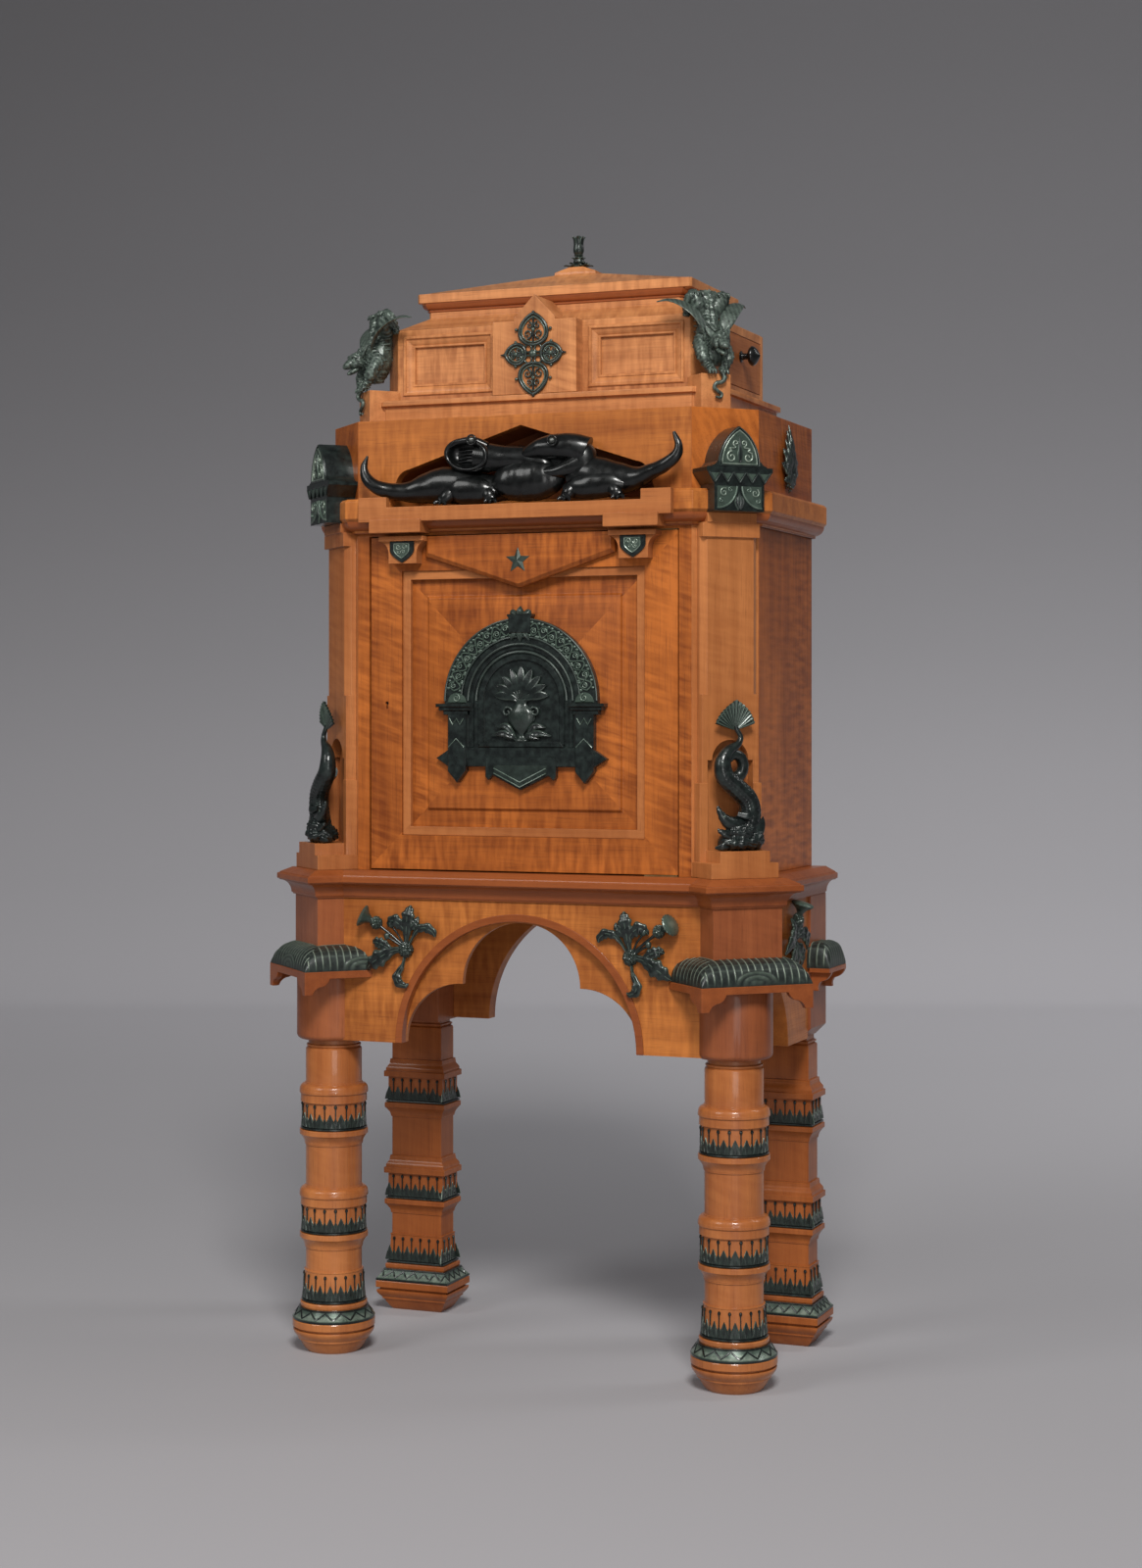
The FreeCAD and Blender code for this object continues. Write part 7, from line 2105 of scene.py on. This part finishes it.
@dataclass
class SmallBronzes:
    """Side sprays of the attic, finial, drawer knobs, shields and star."""

    side: tuple[float, float, float] = (330.0, -18.0, 1262.0)
    ridge: float = 1602.0
    knob: tuple[float, float, float] = (254.2, 1.5, 1456.0)
    shield_top: float = 1181.0
    shield_x: float = 176.5
    shield_depth: float = -244.2
    star_height: float = 1150.0
    star_depths: tuple[float, float, float] = (-235.8, -236.6, -240.4)
    star_radii: tuple[float, float] = (19.0, 8.0)

    def side_spray(self) -> None:
        """Flame of narrow leaves over a cup of broad ones, on each side of the attic."""
        skin = Skin()
        fans = (
            (0, 74, 5), (7, 66, 5), (-7, 66, 5), (16, 54, 7), (-16, 54, 7), (34, 46, 11), (-34, 46, 11),
            (62, 36, 10), (-62, 36, 10), (110, 22, 9), (-110, 22, 9), (150, 20, 8), (-150, 20, 8),
            (180, 24, 6))
        for lean, tall, wide in fans:
            a = math.radians(lean)
            rows = [(tall * s * math.sin(a), -3.0 - 5.0 * math.sin(math.pi * s),
                14.0 + tall * s * math.cos(a), w * wide, t)
                for s, w, t in ((0, 0.3, 3), (0.3, 0.9, 4), (0.6, 1, 3.4), (0.85, 0.55, 2.4),
                (1, 0.1, 0.8))]
            grid = lobed(limb(rows, 30, 14, groove=0.5), 4.0, 0.18)
            skin.grid(sideways(grid) + np.array(self.side), mark=rim(grid, 0.4))
        knot = roughened(ball((self.side[0] + 4.0, self.side[1], self.side[2] + 14.0), (6, 12, 9), 18, 24),
            0.8, 6.0)
        skin.grid(knot)
        cast(skin.both(), "attic_sprays", "side_ornaments", 50.0)

    def finial(self) -> None:
        """Leafy foot, a knop, a collar and a tall cup of upright leaves."""
        skin = Skin()
        profile = curve(((9, 0), (10, 2), (5, 5), (5.6, 9), (6.4, 13), (4.2, 16), (7.2, 18.4), (4.4, 20.6),
            (5.4, 27), (5, 36), (6, 43), (4, 46.5), (2, 48)), 70)
        skin.grid(lathe(profile, 32) + np.array([0.0, 0.0, self.ridge]), mark=0.2)
        spread = ((0.2, 0.1, 0.5), (0.5, 0.5, 1), (0.85, 1, 0.8), (1, 0.8, 0.2))
        upright = ((0.5, 0, 0.6), (0.8, 0.25, 1), (0.72, 0.6, 0.9), (0.85, 0.88, 0.8), (1.15, 1, 0.2))
        tiers = (
            (0.0, 22.0, 3.0, 8, 5.0, spread), (1.0, 14.0, 6.0, 6, 4.5, spread),
            (6.0, 9.0, 9.0, 6, 4.2, upright), (18.0, 8.6, 28.0, 7, 3.8, upright))
        for foot, reach, rise, count, wide, shape in tiers:
            for number in range(count):
                a = TURN * (number + 0.5) / count
                cos, sin = math.cos(a), math.sin(a)
                flat = 0.5 if abs(sin) > 0.7 and shape is spread else 1.0
                rows = [(reach * r * cos, reach * r * sin * flat, self.ridge + foot + rise * h, wide * w,
                    1.2) for r, h, w in shape]
                face = (-0.5 * cos, -0.5 * sin, 1.0) if shape is spread else (cos, sin, 0.1)
                grid = limb(rows, 16, 10, face, 0.4)
                skin.grid(grid, mark=rim(grid, 0.4))
        cast(skin, "leafy_finial", "finial", 50.0)

    def knobs(self) -> None:
        """Drawer knobs: a rose, a stem and a pointed mushroom head."""
        look = FINISH.black_bronze.material()
        profile = curve(((8, 0), (8.4, 1.4), (5.4, 3), (4.6, 8), (5.2, 11), (11, 13.5), (14.2, 17),
            (13.8, 20), (10.5, 24), (5, 27.4), (1.2, 29.6)), 60)
        grid = lathe(profile, 48)
        for side, name in ((1.0, "right"), (-1.0, "left")):
            start = np.array(self.knob) * np.array([side, 1.0, 1.0])
            piece = Skin().grid(aimed(grid, start, (side, 0.0, 0.0))).made("mushroom_knob_" + name)
            settle(piece, "drawer_" + name, "bronze", look, "drawer_knob_" + name)

    def trim(self) -> None:
        """Shields with scrolls on the brackets and a five-pointed star on the pendant."""
        skin = Skin()
        t = np.linspace(0.0, 1.0, 12)
        low = np.stack([19.0 * (1.0 - t ** 1.7), -13.0 - 18.0 * t], -1)
        edge = np.concatenate([[[19.0, 0.0]], low, low[-2::-1] * np.array([-1.0, 1.0]), [[-19.0, 0.0]]])
        place = np.array([self.shield_x, self.shield_top])
        outline = edge[::-1] + place
        skin.block(plate(outline, self.shield_depth + 0.1, self.shield_depth - 3.0, 1.0))
        field = (edge * np.array([0.62, 0.66]) + np.array([0.0, -4.0]))[::-1] + place
        skin.block(plate(field, self.shield_depth - 2.0, self.shield_depth - 3.3, 0.2), mark=0.4)
        line = np.concatenate([field, field[:1]])
        skin.grid(wire(line, self.shield_depth - 3.2, 0.9, 1.0), mark=0.7)
        for hand in (1, -1):
            skin.grid(scroll((self.shield_x + hand * 4.8, self.shield_top - 8.5), 4.0, 1.2 * hand, 200.0,
                self.shield_depth - 3.4, 0.9), mark=0.75)
            skin.grid(scroll((self.shield_x + hand * 3.2, self.shield_top - 15.5), 3.0, -1.2 * hand, 20.0,
                self.shield_depth - 3.4, 0.8), mark=0.75)
        skin.both()
        angle = np.radians(90.0 + 36.0 * np.arange(10))
        point, notch = self.star_radii
        back, edge_depth, tip = self.star_depths
        far = np.where(np.arange(10) % 2, notch, point)
        flat = np.stack([far * np.cos(angle), self.star_height + far * np.sin(angle)], -1)
        middle = np.broadcast_to(np.array([0.0, tip, self.star_height]), (10, 3))
        near = lifted(flat, edge_depth)
        skin.grid(np.stack([lifted(flat, back), near, near + (middle - near) * 0.97]), mark=0.25)
        cast(skin, "shields_and_star", "door_bronze_trim", 20.0, "door")

    def build(self) -> None:
        """Builds all the small bronzes."""
        self.side_spray()
        self.finial()
        self.knobs()
        self.trim()


# Stage


@dataclass
class Studio:
    """Plain pale floor, soft lamps and the camera of the photograph."""

    lens_pixels: float = 2642.9
    frame_size: tuple[int, int] = (1165, 1600)
    horizon: float = 733.8
    azimuth: float = 21.6
    eye: tuple[float, float, float] = (1.419, -3.526, 0.9254)
    sensor: float = 36.0
    air: tuple[float, float, float, float] = (0.9, 0.92, 0.95, 1.0)
    air_strength: float = 0.12
    bend_start: float = 4.4
    bend_radius: float = 1.6
    half_span: float = 9.0

    def camera(self) -> None:
        """Level camera turned by its azimuth; the shift puts the horizon at its row of the frame."""
        data = bpy.data.cameras.new("view")
        tall = self.frame_size[1]
        data.sensor_width = self.sensor
        data.lens = self.sensor * self.lens_pixels / tall
        data.shift_y = (self.horizon - 0.5 * tall) / tall
        data.clip_end = 60.0
        view = bpy.data.objects.new("view", data)
        view.location = self.eye
        view.rotation_euler = (0.5 * math.pi, 0.0, math.radians(self.azimuth))
        bpy.context.scene.collection.objects.link(view)
        bpy.context.scene.camera = view

    def sheet(self) -> None:
        """Floor that bends up into a backdrop, its tone painted along the run as light falloff: painted
        light, brightest near the foot of the bend and darker up the backdrop.

        The run is straight, then a quarter round of 1.6 m, then a straight rise; the painted light at a place
        is read from its length along the run.
        """
        radius, span = self.bend_radius, self.half_span
        turn = np.radians(np.linspace(0.0, 90.0, 24))
        bend = np.stack([self.bend_start + radius * np.sin(turn), radius * (1.0 - np.cos(turn))], -1)
        flat = np.stack([np.concatenate([[-span], np.linspace(-1.0, 4.2, 27)]), np.zeros(28)], -1)
        rise = np.stack([np.full(12, self.bend_start + radius),
            np.concatenate([np.linspace(1.8, 3.8, 11), [7.0]])], -1)
        run = np.concatenate([flat, bend, rise])
        length = np.concatenate([[0.0], np.cumsum(np.linalg.norm(np.diff(run, axis=0), axis=1))]) - span
        # Painted light: the tone is brightest near the foot of the bend and falls off up the backdrop.
        painted_falloff = np.interp(
            length, [0.6, 1.25, 2.0, 3.0, 4.2, 4.6, 5.1, 5.48, 6.03, 6.52, 6.99, 7.45, 7.91, 8.38, 8.81,
                12.3],
            [0.39, 0.405, 0.455, 0.545, 0.69, 0.7, 0.6, 0.525, 0.445, 0.36, 0.297, 0.245, 0.214, 0.196,
                0.178, 0.15])
        spin = math.radians(self.azimuth)
        u, v = np.meshgrid(np.linspace(-span, span, 3), run[:, 0])
        x = u * math.cos(spin) - v * math.sin(spin)
        y = u * math.sin(spin) + v * math.cos(spin)
        z = np.broadcast_to(run[:, 1, None], u.shape)
        grid = np.stack([x, y, z], -1) * MM_PER_M - np.array([0.0, DEPTH_SHIFT, 0.0])
        mark = np.broadcast_to(painted_falloff[:, None], u.shape)
        piece = Skin().grid(grid, ring=False, caps=False, mark=mark).made("studio_floor", 60.0)
        bench = Bench("pale_floor")
        # The patina attribute holds the floor's painted light falloff here.
        tone = bench.node("Attribute", attribute_name="patina").outputs["Fac"]
        tinted = bench.node("CombineColor", {0: tone, 1: bench.sum("MULTIPLY", tone, 0.98),
            2: bench.sum("MULTIPLY", tone, 1.03)})
        shader = bench.node("BsdfPrincipled", {
            "Base Color": tinted.outputs[0], "Roughness": 0.75, "Specular IOR Level": 0.2})
        piece.data.materials.append(bench.close(shader))

    def lamp(self, name: str, place: tuple[float, float, float], size: float, power: float, tint: Colour,
             aim: tuple[float, float, float] = (0.0, 0.0, 0.85)) -> None:
        """Square soft lamp aimed at the middle of the cabinet or at another spot.

        Args:
            name: name of the lamp.
            place: where it hangs, in metres.
            size: side of the square.
            power: strength in watts.
            tint: colour of its light.
            aim: the spot that it faces.
        """
        data = bpy.data.lights.new(name, "AREA")
        data.size = size
        data.energy = power
        data.color = tint
        lamp = bpy.data.objects.new(name, data)
        away = np.array(place) - np.array(aim)
        lamp.location = place
        lamp.rotation_euler = (math.acos(away[2] / np.linalg.norm(away)), 0.0,
            math.atan2(away[1], away[0]) + 0.5 * math.pi)
        bpy.context.scene.collection.objects.link(lamp)

    def build(self) -> None:
        """Sets floor, lamps, world and camera."""
        self.sheet()
        self.lamp("key", (1.7, -3.7, 4.2), 1.3, 240.0, (1.0, 0.98, 0.95))
        self.lamp("side", (-2.4, -3.6, 3.4), 1.8, 60.0, (1.0, 0.99, 0.97))
        self.lamp("low", (2.2, -4.4, 1.0), 1.8, 36.0, (1.0, 0.98, 0.96))
        self.lamp("backdrop", (2.6, 1.6, 3.4), 2.0, 95.0, (1.0, 1.0, 1.0), (0.6, 6.0, 1.2))
        world = bpy.data.worlds.new("studio")
        world.use_nodes = True
        ground = world.node_tree.nodes["Background"]
        ground.inputs[0].default_value = self.air
        ground.inputs[1].default_value = self.air_strength
        bpy.context.scene.world = world
        bpy.context.scene.view_settings.view_transform = "Standard"
        self.camera()


def main() -> None:
    """Builds every sub-assembly in order."""
    logging.basicConfig(level=logging.INFO, format="%(message)s")
    Joinery().build()
    PanelMouldings().build()
    Ovolos().build()
    Fittings().build()
    legs = Legs()
    legs.build()
    LotusBands(legs).build()
    FootCollars(legs).build()
    Cushions().build()
    Waist().build()
    for bronzes in (Thistles, SeaBeasts, Climbers, Reptiles, CornerBlocks, Plaque, Quatrefoil,
            SmallBronzes):
        bronzes().build()
    Studio().build()


if __name__ == "__main__":
    main()
